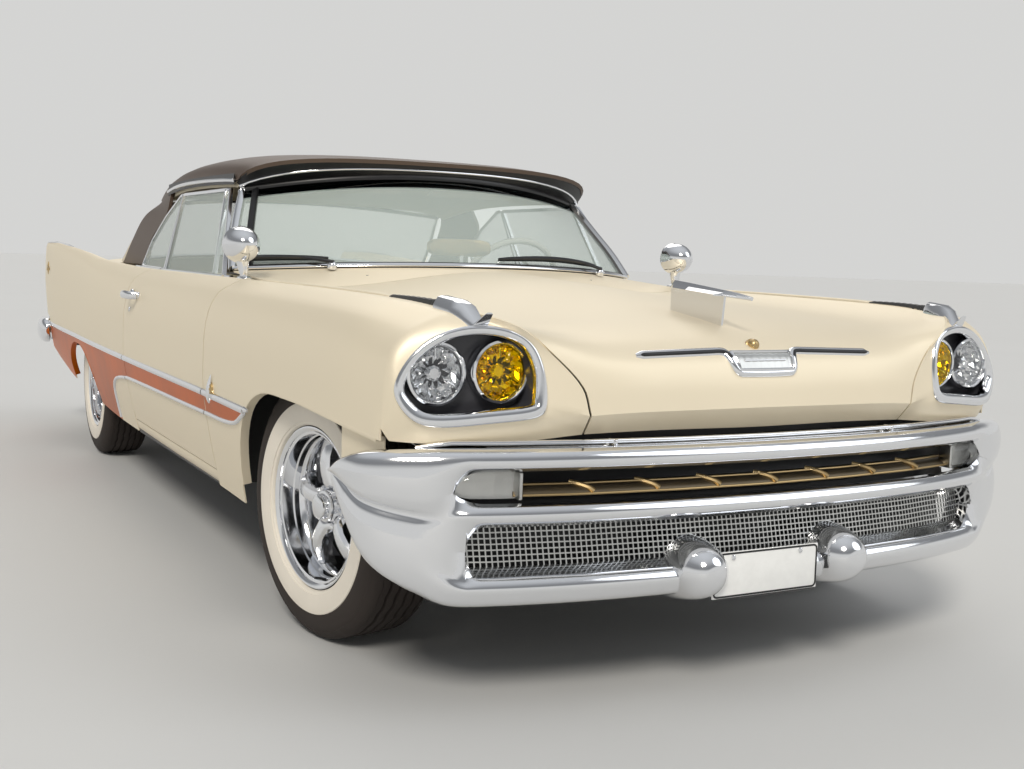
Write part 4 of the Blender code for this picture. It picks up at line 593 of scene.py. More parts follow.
def surface(name, grids, materials, body, thickness=0.004, centre=(0, 0, 0.5), side=1, picks=None, cutters=(),
            angle=SHADE_ANGLE):
    """Open surfaces joined where they meet and given a thickness inwards, then cut."""
    bm = bmesh.new()
    for index, rows in enumerate(grids):
        pick = picks[index] if picks else None
        grid(bm, [[Vector((side * p[0], p[1], p[2])) for p in row] for row in rows], pick=pick)
    bmesh.ops.remove_doubles(bm, verts=bm.verts, dist=0.0002)
    bmesh.ops.dissolve_degenerate(bm, edges=bm.edges, dist=0.0001)
    bmesh.ops.recalc_face_normals(bm, faces=bm.faces)
    middle = Vector(centre)
    if sum((f.calc_center_median() - middle).dot(f.normal) * f.calc_area() for f in bm.faces) < 0:
        bmesh.ops.reverse_faces(bm, faces=bm.faces)
    obj = to_object(bm, name, materials, body, angle)
    if thickness:
        solid = obj.modifiers.new("thickness", "SOLIDIFY")
        solid.thickness = thickness
        solid.offset = -1
        solid.use_even_offset = False
    for cutter in cutters:
        made = obj.modifiers.new("cut", "BOOLEAN")
        made.operation = "DIFFERENCE"
        made.solver = "EXACT"
        made.object = cutter
    if obj.modifiers:
        settle(obj, angle)
    for cutter in cutters:
        bpy.data.objects.remove(cutter, do_unlink=True)
    return obj


def tool(outline, low_x, high_x):
    """A cutter: a flat (y, z) outline carried from one x to another."""
    bm = bmesh.new()
    ends = [[bm.verts.new((x, y, z)) for y, z in outline] for x in (low_x, high_x)]
    count = len(outline)
    for i in range(count):
        k = (i + 1) % count
        bm.faces.new((ends[0][i], ends[0][k], ends[1][k], ends[1][i]))
    for end in ends:
        face = bm.faces.new(end)
        bmesh.ops.triangulate(bm, faces=[face])
    bmesh.ops.recalc_face_normals(bm, faces=bm.faces)
    mesh = bpy.data.meshes.new("tool")
    bm.to_mesh(mesh)
    bm.free()
    obj = bpy.data.objects.new("tool", mesh)
    bpy.context.scene.collection.objects.link(obj)
    obj.hide_render = True
    return obj


def rings_object(name, rings, materials, body, closed=False, pick=None, angle=SHADE_ANGLE, side=1):
    """Closed sections joined in order."""
    bm = bmesh.new()
    rings = [[Vector((side * p[0], p[1], p[2])) for p in ring] for ring in rings]
    made = grid(bm, rings + rings[:1] if closed else rings, closed=True, pick=pick)
    if closed:
        bmesh.ops.remove_doubles(bm, verts=bm.verts, dist=0.00001)
    else:
        bm.faces.new(made[0])
        bm.faces.new(made[-1])
    bmesh.ops.recalc_face_normals(bm, faces=bm.faces)
    return to_object(bm, name, materials, body, angle)


def frames(path, outs, closed=False):
    """For each point of a path: the point, the direction out of the surface, and the one across the path."""
    count = len(path)
    found = []
    for i, point in enumerate(path):
        after = path[(i + 1) % count] if closed else path[min(i + 1, count - 1)]
        before = path[i - 1] if closed or i else path[0]
        along = (after - before).normalized()
        out = Vector(outs[i] if isinstance(outs, list) else outs)
        out = (out - along * out.dot(along)).normalized()
        found.append((point, out, along.cross(out)))
    return found


def sweep(name, path, outs, section, materials, body, closed=False, taper=None):
    """A section of (out, across) pairs carried along a path; taper gives a size for each point."""
    path = [Vector(p) for p in path]
    rings = []
    for i, (point, out, across_way) in enumerate(frames(path, outs, closed)):
        size = taper(i / (len(path) - 1)) if taper else 1
        rings.append([point + (out * a + across_way * b) * size for a, b in section])
    return rings_object(name, rings, materials, body, closed=closed)


def round_section(radius, sides=10, flat=1.0):
    return [(radius * flat * cos(2 * pi * k / sides), radius * sin(2 * pi * k / sides)) for k in range(sides)]


def moulding(width, height, root=-0.002):
    """Half-round trim: across its width it stands a little proud of the panel."""
    half = width / 2
    points = [(root, -half)]
    for k in range(7):
        angle = pi * k / 6
        points.append((height * sin(angle), -half * cos(angle)))
    return points + [(root, half)]


def lathe(name, profile, steps, materials, body, matrix, pick=None, angle=SHADE_ANGLE, closed=False):
    """A profile of (along, radius) pairs turned round X, then placed by a matrix."""
    bm = bmesh.new()
    rings = []
    for along, radius in profile:
        rings.append([Vector((along, -radius * sin(2 * pi * k / steps), radius * cos(2 * pi * k / steps)))
                      for k in range(steps)])
    if closed:
        rings.append(rings[0])
    grid(bm, rings, closed=True, pick=(lambda i, j: pick(i)) if pick else None)
    bmesh.ops.remove_doubles(bm, verts=bm.verts, dist=0.00002)
    bmesh.ops.dissolve_degenerate(bm, edges=bm.edges, dist=0.00001)
    bmesh.ops.recalc_face_normals(bm, faces=bm.faces)
    bmesh.ops.transform(bm, matrix=matrix, verts=bm.verts)
    if matrix.determinant() < 0:
        bmesh.ops.reverse_faces(bm, faces=bm.faces)
    return to_object(bm, name, materials, body, angle)


def soft_block(name, low, up, radius, materials, body, segments=3):
    """A box with rounded edges."""
    bm = bmesh.new()
    bmesh.ops.create_cube(bm, size=1)
    low, up = Vector(low), Vector(up)
    bmesh.ops.scale(bm, vec=[abs(v) for v in up - low], verts=bm.verts)
    bmesh.ops.bevel(bm, geom=bm.edges, offset=radius, segments=segments, affect="EDGES", profile=0.5)
    bmesh.ops.translate(bm, vec=(low + up) / 2, verts=bm.verts)
    return to_object(bm, name, materials, body, 50)


def aim(start, end):
    """A matrix that carries the X axis on to the line from start to end, with its origin at start."""
    start, end = Vector(start), Vector(end)
    return Matrix.Translation(start) @ (end - start).to_track_quat("X", "Z").to_matrix().to_4x4()


def joined(name, objects):
    """Several pieces of one body as one mesh, with their materials kept."""
    first = objects[0]
    if len(objects) > 1:
        with bpy.context.temp_override(active_object=first, selected_editable_objects=objects,
                                       selected_objects=objects):
            bpy.ops.object.join()
    first.name = name
    return first


def named(stem, side):
    return f"{stem}_{'left' if side > 0 else 'right'}"


def outward(side):
    """Turns what points along +X so that it points out of the given side."""
    return Matrix.Rotation(0 if side > 0 else pi, 4, "Z")


def even(first, reach, count):
    """Evenly spaced values from first over a reach, count steps long."""
    return [first + reach * k / count for k in range(count + 1)]


def outer(row, side):
    """The point of a full-width row at its end on one side."""
    return row[-1 if side > 0 else 0]


def columns_to_rows(columns):
    return [list(row) for row in zip(*columns)]


def leaf(side):
    return named("door_leaf", side)


# Side of the body

STEPS = 5
TRIM_Z = high(TRIM_z_share)
# Lower edge of the two-tone sweep: y, z
SWEEP = ((-1.62, 0.566), (-1.50, 0.523), (-1.20, 0.513), (0.00, 0.501), (0.20, 0.486), (0.30, 0.470),
         (0.355, 0.448), (0.385, 0.415), (0.400, 0.345), (0.405, 0.296), (3.0, 0.296))
TIP_Y = -1.62
TAIL_Y = 2.44


def side_table(y):
    return [(z, x) for x, z in reversed(side_points(y / HALF_LENGTH)[2:])]


def side_x(y, z):
    """Half width of the body at a place on its side."""
    return smooth_value(side_table(y), 1, z)


def sweep_z(y):
    return max(smooth_value(SWEEP, 1, y), side_points(y / HALF_LENGTH)[-1][1] + 0.004)


def section(y):
    """The outer side at y from the seam over the crest to the sill, in columns that match at every y."""
    keys = side_points(y / HALF_LENGTH)
    table = side_table(y)
    (x0, z0), (x1, z1), (x2, z2) = keys[:3]
    points = []
    for i in range(2 * STEPS):
        t = i / (2 * STEPS)
        a, b, c = (1 - t) * (1 - 2 * t), 4 * t * (1 - t), t * (2 * t - 1)
        points.append([x0 * a + x1 * b + x2 * c, z0 * a + z1 * b + z2 * c])
    for k in (2, 3, 4):
        for i in range(STEPS):
            z = keys[k][1] + (keys[k + 1][1] - keys[k][1]) * i / STEPS
            points.append([smooth_value(table, 1, z), z])
    crest = 2 * STEPS
    for _ in range(2):
        for j in (crest - 1, crest, crest + 1):
            for axis in (0, 1):
                points[j][axis] = points[j][axis] / 2 + (points[j - 1][axis] + points[j + 1][axis]) / 4
    low = keys[-1][1]
    border = sweep_z(y)
    for first, last, count in ((keys[5][1], TRIM_Z, 2), (TRIM_Z, border, 3), (border, low, 5)):
        for i in range(count):
            z = first + (last - first) * i / count
            points.append([smooth_value(table, 1, z), z])
    points.append([keys[-1][0], low])
    return [Vector((x, y, z)) for x, z in points]


WAIST_COLUMN = 5 * STEPS
SWEEP_COLUMNS = (WAIST_COLUMN + 2, WAIST_COLUMN + 5)


def two_tone(ys):
    """Which material each quad between two stations takes: 1 is the sweep's colour."""
    def pick(i, j):
        y = (ys[i] + ys[i + 1]) / 2
        inside = SWEEP_COLUMNS[0] <= j < SWEEP_COLUMNS[1]
        below = j >= SWEEP_COLUMNS[1] and y > 0.398
        return 1 if y > TIP_Y and (inside or below) else 0
    return pick


def stations(first, last, pitch=0.045):
    count = max(2, round((last - first) / pitch))
    return even(first, last - first, count)


ARCH_POINTS = 28


def arch(centre_y, half, top):
    """A wheel opening as (y, z) points, rear foot to front foot."""
    found = []
    for i in range(ARCH_POINTS + 1):
        angle = pi * i / ARCH_POINTS
        c, s = cos(angle), max(sin(angle), 0)
        reach = abs(c) ** (2 / ARCH_POWER) * (1 if c > 0 else -1)
        found.append((centre_y + half * reach, ARCH_FOOT + (top - ARCH_FOOT) * s ** (2 / ARCH_POWER)))
    return found


NOSE_LIP_Z = 0.6095
ARCH_LIFT_TOP = 0.650
# Lower lip ahead of the front arch: y, z
LIP_KEYS = ((-2.05, 0.6480), (-2.16, 0.6420), (-2.28, 0.6340), (-2.40, 0.6230), (-2.50, 0.6130),
            (-2.60, NOSE_LIP_Z))


def front_edge():
    """Lower edge of the front wing as (y, z): the arch's rear leg, its top, and the lip ahead of it."""
    curve = [p for p in arch(FRONT_AXLE_Y, FRONT_ARCH_HALF, ARCH_LIFT_TOP) if p[0] > FRONT_AXLE_Y - 0.05]
    ahead = smooth_line([Vector((0, y, z)) for y, z in (curve[-1],) + LIP_KEYS], 4)
    return curve[:-1] + [(p.y, p.z) for p in ahead]


NOSE_KEYS = [place(*p) for p in NOSE_RIM_shares]
FENDER_Y = span(-0.900)
LIP_START_Z = 0.30


def seam_keys():
    """Key points of the seam between hood and wing, from the lower lip up to the second station."""
    first = Vector((side_points(-0.900)[0][0], FENDER_Y, side_points(-0.900)[0][1]))
    after = Vector((side_points(-0.830)[0][0], span(-0.830), side_points(-0.830)[0][1]))
    return [NOSE_KEYS[0], NOSE_KEYS[13], NOSE_KEYS[12], NOSE_KEYS[11], NOSE_KEYS[10], first, after]


def nose_seam():
    """The dense seam over its front five spans, lower lip first."""
    return smooth_line(seam_keys(), STEPS, corners=(1,))[:5 * STEPS + 1]


def nose_loops():
    """Rings of the wing's nose, from its rim to the lamp opening and into the bowl."""
    side = section(FENDER_Y)[:WAIST_COLUMN + 1]
    rim = list(reversed(side)) + list(reversed(nose_seam()))[1:]
    bottom = smooth_line([NOSE_KEYS[0], NOSE_KEYS[1], NOSE_KEYS[2], NOSE_KEYS[3], side[-1]], STEPS)
    rim += bottom[1:-1]
    keys = [Vector((across(x), nose_y(across(x), high(z)), high(z))) for x, z in LAMP_OPENING_shares]
    opening = smooth_line(keys[4:] + keys[:4], STEPS, closed=True)
    rings = []
    for share in (0.0, 0.12, 0.26, 0.42, 0.58, 0.74, 0.88, 1.0):
        ring = []
        for k, (start, end) in enumerate(zip(rim, opening)):
            chord = end - start
            bend = sin(pi * min(max(k / (5 * STEPS), 0), 1)) ** 0.5 if k <= 5 * STEPS else 0
            leave = chord.lerp(Vector((0, -1, 0)) * chord.length * 1.2, bend)
            inward = Vector((chord.x, nose_y(end.x, end.z) - nose_y(start.x, start.z), chord.z))
            arrive = chord.lerp(inward, bend)
            t = share
            ring.append(start * (1 + 2 * t) * (1 - t) ** 2 + leave * t * (1 - t) ** 2
                        + end * t * t * (3 - 2 * t) - arrive * t * t * (1 - t))
        rings.append(ring)
    rings.append([p + Vector((0, 0.020, 0)) for p in opening])
    return [ring + ring[:1] for ring in rings], opening


# Rolled edge of a wheel arch: out of the panel, across
FRONT_LIP_SECTION = ((0.002, -0.006), (0.004, 0.0), (0.002, 0.006), (-0.022, 0.006), (-0.022, -0.004))
FRONT_FENDER_END_Y = -1.1832


def front_fender(side):
    """Front wing with its nose and lamp opening, and the rolled edge of its arch."""
    ys = stations(FENDER_Y, FRONT_FENDER_END_Y)
    length = [section(y) for y in ys]
    loops, _ = nose_loops()
    edge = front_edge()
    outline = [(edge[0][0], -0.4)] + edge + [(-HALF_LENGTH - 0.4, NOSE_LIP_Z), (-HALF_LENGTH - 0.4, -0.4)]
    low, up = sorted((side * 0.30, side * 1.4))
    made = surface(named("front_fender_skin", side), [length, loops], [ivory(), copper()], "body",
                   side=side, centre=(0, FRONT_AXLE_Y, 0.6), picks=[two_tone(ys), None],
                   cutters=[tool(outline, low, up)])
    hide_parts(named("front_fender", side))
    path = [Vector((side * (side_x(y, z) - 0.003), y, z))
            for y, z in edge if z > LIP_START_Z and y > FENDER_Y]
    outs = [Vector((side, 0, 0))] * len(path)
    lip = sweep(named("front_arch_lip", side), path, outs, FRONT_LIP_SECTION,
                ivory(), "body")
    return made


# Behind the wing's lip: its two ends, how far in it lies, and its rows
FILLER_YS = (-2.470, -2.275, 0.03)
FILLER_ROWS = (0.655, 0.630, 0.590, 0.545)
FILLER_IN = 0.024


def nose_filler(side):
    """Painted sheet behind the wing's lower lip, down to the bumper."""
    ys = stations(*FILLER_YS)
    rows = [[Vector((side * (side_x(max(y, FENDER_Y), 0.61) - FILLER_IN), y, z)) for y in ys]
            for z in FILLER_ROWS]
    made = surface(named("nose_filler", side), [rows], ivory(), "body", thickness=0.003,
                   centre=(0, -2.4, 0.5))


# Rows of the sill: z, and how far it is tucked in
ROCKER_ROWS = ((0.3305, 0.020), (0.3305, 0.003), (0.318, 0.0015), (0.302, 0.002), (0.291, 0.007),
               (0.288, 0.024))


def rocker(side):
    """Painted sill below the door."""
    ys = stations(-1.180, 0.0525, 0.06)
    rows = [[Vector((side * (side_x(y, z) - tuck), y, z)) for y in ys] for z, tuck in ROCKER_ROWS]
    made = surface(named("rocker", side), [rows], ivory(), "body", thickness=0.003, centre=(0, -0.5, 0.31),
                   angle=50)


# Ends of the door, its bottom edge, its inner face and how far that face slants at the rear edge
DOOR_YS = (-1.1768, 0.0495, 0.040)
DOOR_BOTTOM = 0.334
DOOR_INNER_X = 0.806
DOOR_SLANT = 0.022


def door(side):
    """Outer skin and inner trim panel of one door, as a closed leaf."""
    ys = stations(*DOOR_YS)
    bottom = DOOR_BOTTOM
    rings = []
    for y in ys:
        outer = section(y)
        x_low = side_x(y, bottom)
        outer = [p if p.z > bottom else Vector((min(p.x, x_low), y, bottom)) for p in outer]
        slant = DOOR_SLANT * max(0, (y - ys[-3]) / (ys[-1] - ys[-3]))
        inner = [Vector((DOOR_INNER_X, y - slant, z)) for z in (bottom, 0.50, 0.72, outer[0].z - 0.004)]
        rings.append(outer + inner)
    columns = len(section(0.0))

    tone = two_tone(ys)

    def pick(i, j):
        return tone(i, j) if j < columns else 0
    made = rings_object(named("door_skin", side), rings, [ivory(), copper()], leaf(side), pick=pick,
                        side=side)
    bm = bmesh.new()
    bm.from_mesh(made.data)
    bmesh.ops.dissolve_degenerate(bm, edges=bm.edges, dist=0.0002)
    bm.to_mesh(made.data)
    bm.free()
    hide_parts(named("door", side))


# Rolled edge of the rear arch, and the cabin's inner wall
REAR_LIP_SECTION = ((0.002, -0.005), (0.004, 0.0), (0.002, 0.005), (-0.022, 0.005), (-0.022, -0.004))
REAR_LIP_FOOT = 0.33


def quarter_panel(side):
    """Rear quarter with its fin, the arch's rolled edge, and the cabin's inner wall."""
    ys = stations(0.0557, span(0.935), 0.045)
    ys = sorted(set([y for y in ys if not 0.2 < y < 0.45] + stations(0.215, 0.435, 0.0125)))
    length = [section(y) for y in ys]
    outline = [(y, z) for y, z in arch(REAR_AXLE_Y, REAR_ARCH_HALF, REAR_ARCH_TOP)]
    outline = [(outline[0][0], -0.4)] + outline + [(outline[-1][0], -0.4)]
    low, up = sorted((side * 0.60, side * 1.4))
    made = surface(named("quarter_skin", side), [length], [ivory(), copper()], "body", side=side,
                   centre=(0, REAR_AXLE_Y, 0.6), picks=[two_tone(ys)],
                   cutters=[tool(outline, low, up), tool(list(QUARTER_END), low, up)])
    path = [Vector((side * (side_x(y, z) - 0.003), y, z))
            for y, z in arch(REAR_AXLE_Y, REAR_ARCH_HALF, REAR_ARCH_TOP) if z > REAR_LIP_FOOT]
    lip = sweep(named("rear_arch_lip", side), path, Vector((side, 0, 0)),
                REAR_LIP_SECTION, copper(), "body")
    wall = soft_block(named("quarter_wall", side), (side * 0.806, 0.062, 0.335), (side * 0.86, 0.84, 0.915),
                      0.012, dark_fabric(), "body")
    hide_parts(named("quarter_panel", side))


# Hood, trunk lid, cowl, deck and roof


def across_row(middle, valley, seam, near_count=12, far_count=6):
    """One row from seam to seam, smooth through the valley beside the raised middle."""
    half = []
    for i in range(near_count):
        t = i / near_count
        f = t * t * (3 - 2 * t)
        half.append(Vector((valley.x * t, middle.y + (valley.y - middle.y) * f,
                            middle.z + (valley.z - middle.z) * f)))
    for i in range(far_count + 1):
        t = i / far_count
        half.append(Vector((valley.x + (seam.x - valley.x) * t, valley.y + (seam.y - valley.y) * t * t,
                            valley.z + (seam.z - valley.z) * t * t)))
    return [Vector((-p.x, p.y, p.z)) for p in reversed(half[1:])] + half


HOOD_GAP = 0.0055


def hood_lines():
    """Middle, valley and seam of the hood, lower lip first, all with the same count of points."""
    stations_y = stations(FENDER_Y, span(HOOD_REAR_share))
    top = [[smooth_value(HOOD_TOP_shares, k, y / HALF_LENGTH) for k in range(1, 6)]
           for y in stations_y + [span(-0.830)]]
    middle_keys = [place(0, row[0], row[1]) for row in HOOD_FRONT_shares]
    valley_keys = [place(*row[2:5]) for row in HOOD_FRONT_shares]
    middle_keys += [place(0, *top[0][:2]), place(0, *top[-1][:2])]
    valley_keys += [place(*top[0][2:]), place(*top[-1][2:])]
    middle = smooth_line(middle_keys, STEPS, corners=(1,))[:5 * STEPS]
    valley = smooth_line(valley_keys, STEPS, corners=(1,))[:5 * STEPS]
    seam = nose_seam()[:-1]
    for y, row in zip(stations_y, top):
        middle.append(place(0, *row[:2]))
        valley.append(place(*row[2:]))
        x, z = side_points(y / HALF_LENGTH)[0]
        seam.append(Vector((x, y, z)))
    seam = [s + (v - s).normalized() * HOOD_GAP for s, v in zip(seam, valley)]
    return middle, valley, seam


def lid_rows(lines):
    """Rows right across a lid, from the lines along its middle, its valley and its seam."""
    return [across_row(*points) for points in zip(*lines)]


def hood():
    """The hood's skin from seam to seam."""
    rows = lid_rows(hood_lines())
    made = surface("hood_skin", [rows], ivory(), "hood_lid", thickness=0.005, centre=(0, FRONT_AXLE_Y, 0.6))
    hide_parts("hood")
    return made


def trunk_lines():
    keys = [[place(0, r[0], r[1]), place(r[2], r[3], r[4]), place(r[5], r[6], r[7])] for r in TRUNK_shares]
    return [smooth_line([row[k] for row in keys], 7) for k in range(3)]


TRUNK_GAP = 0.002


def trunk_lid():
    """The trunk lid's skin."""
    middle, valley, seam = trunk_lines()
    seam = [s + (v - s).normalized() * TRUNK_GAP for s, v in zip(seam, valley)]
    rows = lid_rows((middle, valley, seam))
    made = surface("trunk_skin", [rows], ivory(), "boot_lid", thickness=0.005, centre=(0, REAR_AXLE_Y, 0.5))
    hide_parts("trunk_lid")


def roof_rows():
    """Dense rows of the roof's top, header first."""
    half = 14
    keys = []
    for mid_y, mid_z, rail_x, rail_y, rail_z in ROOF_shares:
        row = []
        for k in range(-half, half + 1):
            u = abs(k) / half
            x = sin(u * pi / 2) * rail_x
            row.append(place(x if k > 0 else -x, mid_y + (rail_y - mid_y) * u ** 2,
                             mid_z + (rail_z - mid_z) * u ** 3))
        keys.append(row)
    lines = [smooth_line([row[c] for row in keys], 5) for c in range(2 * half + 1)]
    return columns_to_rows(lines)


def pillar_grid(side, rows):
    """Rear roof pillar, hanging from the last rows of the roof's edge."""
    edge = [outer(row, side) for row in rows[-11:]]
    lower = [smooth_line([place(side * x, y, z) for y in (front, middle, rear)], 5)
             for z, x, front, middle, rear in PILLAR_shares]
    columns = [smooth_line([edge[c]] + [level[c] for level in lower], 6) for c in range(11)]
    return columns_to_rows(columns)


def roof():
    """The roof's shell with its rear pillars, and the headliner."""
    rows = roof_rows()
    grids = [rows, pillar_grid(1, rows), pillar_grid(-1, rows)]
    made = surface("roof_skin", grids, bronze(), "body", thickness=0.014, centre=(0, 0, 0.93))
    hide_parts("roof")
    liner = [[p * 0.985 + Vector((0, 0, -0.006)) for p in row] for row in rows[1:-1]]
    lining = surface("headliner", [liner], fabric(), "body", thickness=0.002, centre=(0, 0, 0.93))


def dense_window(table, half=14, steps=5):
    keys = window_rows(table, half)
    lines = [smooth_line([row[c] for row in keys], steps) for c in range(2 * half + 1)]
    return columns_to_rows(lines)


# Where the cowl starts, as a share, and how its foot lies under the glass
COWL_FRONT_share = -0.4395
GLASS_FOOT_DROP = (0, -0.006, -0.008)
FIREWALL_Y = -1.205
INTAKE_Y = -1.148
INTAKE_PITCH = 0.046


def cowl():
    """Panel under the windshield, the ribbed firewall, and the air intake's slots, drawn as black blocks of
    painted shade.
    """
    base = dense_window(WINDSHIELD_shares, 18)[-1]
    share = COWL_FRONT_share
    y = span(share)
    seam_x, seam_z = side_points(share)[0]
    mid_z, valley_x, valley_z = (smooth_value(HOOD_TOP_shares, k, share) for k in (2, 3, 5))
    front = across_row(Vector((0, y, high(mid_z))), Vector((across(valley_x), y, high(valley_z))),
                       Vector((seam_x - HOOD_GAP, y, seam_z)))
    foot = [p + Vector(GLASS_FOOT_DROP) for p in base]
    rows = [[a.lerp(b, t / 6) for a, b in zip(front, foot)] for t in range(7)]
    made = surface("cowl_skin", [rows], ivory(), "body", thickness=0.005, centre=(0, 0, 0))
    wall = [[Vector((x, FIREWALL_Y + 0.006 * (1 if (i // 2) % 2 else -1) * (1 if abs(x) < 0.7 else 0), z))
             for x in even(-0.9, 1.8, 24)] for i, z in enumerate(even(0.30, 0.56, 12))]
    sheet = surface("firewall", [wall], steel(), "body", thickness=0.004, centre=(0, 0, 0.5))
    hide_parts("cowl")
    # Air intake ahead of the wipers: a row of slots, each a black block that paints the shade inside it
    slot_shades = []
    for k in range(-9, 10):
        x = k * INTAKE_PITCH
        y_mid, z_mid = INTAKE_Y, high(1.037) - 0.0115 - 0.020 * (abs(x) / 0.55) ** 2
        slot_shades.append(soft_block(f"intake_slot_shade_{k + 9}", (x - 0.019, y_mid - 0.006, z_mid - 0.001),
                                (x + 0.019, y_mid + 0.006, z_mid + 0.0022), 0.001, black_trim(), "body", 1))
    joined("cowl_intake_shade", slot_shades)


PARCEL_SHELF = ((-0.70, 1.03, 0.880), (0.70, 1.575, 0.894))


def rear_deck():
    """Panel under the rear window, and the parcel shelf."""
    glass = dense_window(REAR_WINDOW_shares, 18)[-1]
    foot = [p + Vector((0, 0.006, -0.008)) for p in glass]
    row = TRUNK_shares[0]
    y = row[0] - 0.003
    lid = across_row(place(0, y, row[1]), place(row[2], y, row[4]), place(row[5], y, row[7]))
    rows = [[a.lerp(b, t / 6) for a, b in zip(foot, lid)] for t in range(7)]
    made = surface("deck_skin", [rows], ivory(), "body", thickness=0.005, centre=(0, REAR_AXLE_Y, 0))
    shelf = soft_block("parcel_shelf", *PARCEL_SHELF, 0.005, dark_fabric(), "body", 2)
    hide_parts("rear_deck")


# Floor, light and camera


# Floor, sky and suns: a stop is its place and value, a sun its elevation, azimuth, power, angle and tint
FLOOR_RADIUS = 120
HORIZON = (0.66, 0.66, 0.65, 1)
SKY_STOPS = ((0.34, 0.22), (0.55, 0.26), (0.80, 0.50), (1.0, 0.62))
SUNS = (
    ("key", 42, 215, 1.75, 16, (1.0, 0.95, 0.87)),
    ("fill", 35, 130, 0.55, 40, (0.94, 0.97, 1.0)),
    ("back", 40, 20, 0.50, 40, (1.0, 0.97, 0.93)),
)


def studio():
    """Pale floor, sky and three soft suns."""
    bm = bmesh.new()
    bmesh.ops.create_circle(bm, cap_ends=True, segments=96, radius=FLOOR_RADIUS)
    mesh = bpy.data.meshes.new("floor")
    bm.to_mesh(mesh)
    bm.free()
    floor = bpy.data.objects.new("floor", mesh)
    bpy.context.scene.collection.objects.link(floor)
    mesh.materials.append(finish("floor_pale", (0.62, 0.62, 0.61), 0.75, tone=0.01, tone_scale=0.4))
    world = bpy.data.worlds.new("studio")
    bpy.context.scene.world = world
    world.use_nodes = True
    tree = world.node_tree
    background = tree.nodes["Background"]
    way = node(tree, "ShaderNodeTexCoord")
    parts = node(tree, "ShaderNodeSeparateXYZ")
    tree.links.new(way.outputs["Generated"], parts.inputs["Vector"])
    ramp = node(tree, "ShaderNodeValToRGB")
    stops = ramp.color_ramp.elements
    stops[0].position, stops[0].color = 0.0, HORIZON
    stops[1].position, stops[1].color = 0.20, HORIZON
    for position, value in SKY_STOPS:
        stop = stops.new(position)
        stop.color = (value * 0.97, value, value * 1.04, 1)
    tree.links.new(parts.outputs["Z"], ramp.inputs["Fac"])
    tree.links.new(ramp.outputs["Color"], background.inputs["Color"])
    background.inputs["Strength"].default_value = 1.0
    for name, elevation, azimuth, power, angle, tint in SUNS:
        lamp = bpy.data.lights.new(name, "SUN")
        lamp.energy = power
        lamp.angle = radians(angle)
        lamp.color = tint
        obj = bpy.data.objects.new(name, lamp)
        bpy.context.scene.collection.objects.link(obj)
        up, turn = radians(elevation), radians(azimuth)
        source = Vector((sin(turn) * cos(up), cos(turn) * cos(up), sin(up)))
        obj.rotation_euler = source.to_track_quat("Z", "Y").to_euler()


# The photo's camera: focal length in its pixels, and yaw, pitch and roll in degrees
FOCAL_PIXELS = 1240.2
PICTURE_WIDTH = 1024
SENSOR_WIDTH = 36
FAR_CLIP = 400
CAMERA_TURNS = (28.41, 5.84, -1.75)
CAMERA_PLACE = (-1.936, -4.953, 1.015)


def camera():
    """Camera at the photo's place, angle and focal length."""
    data = bpy.data.cameras.new("camera")
    data.sensor_width = SENSOR_WIDTH
    data.lens = FOCAL_PIXELS * SENSOR_WIDTH / PICTURE_WIDTH
    data.clip_end = FAR_CLIP
    obj = bpy.data.objects.new("camera", data)
    bpy.context.scene.collection.objects.link(obj)
    yaw, pitch, roll = (radians(turn) for turn in CAMERA_TURNS)
    ahead = Vector((sin(yaw) * cos(pitch), cos(yaw) * cos(pitch), -sin(pitch)))
    right = Vector((cos(yaw), -sin(yaw), 0))
    down = ahead.cross(right)
    turned_right = right * cos(roll) + down * sin(roll)
    turned_down = right * -sin(roll) + down * cos(roll)
    turn = Matrix((turned_right, -turned_down, -ahead)).transposed().to_4x4()
    obj.matrix_world = Matrix.Translation(CAMERA_PLACE) @ turn
    bpy.context.scene.camera = obj


# Lamps and the front end

LAMP_GROWTH = 1.10


# A lamp's parts: along its axis, radius
LAMP_RING = ((-0.030, 0.060), (0.000, 0.0655), (0.007, 0.0635), (0.010, 0.0590), (0.006, 0.0555),
             (-0.004, 0.0545), (-0.030, 0.054))
LAMP_BOWL = ((-0.003, 0.0545), (-0.010, 0.050), (-0.018, 0.043), (-0.024, 0.034), (-0.028, 0.024),
             (-0.0305, 0.013))
BULB_SHIELD = ((-0.0305, 0.014), (-0.020, 0.0165), (-0.011, 0.0165), (-0.007, 0.011), (-0.0065, 0.0))
BULB_CLIP = ((-0.020, 0.0), (-0.020, 0.0022), (0.0, 0.0022), (0.0, 0.0))
LENS_RADIUS = 0.0545
BOWL_FACETS = 24
LENS_TURNS = 96
LENS_RINGS = 14
LENS_BULGE = 0.008
FLUTE_DEPTH = 0.0011


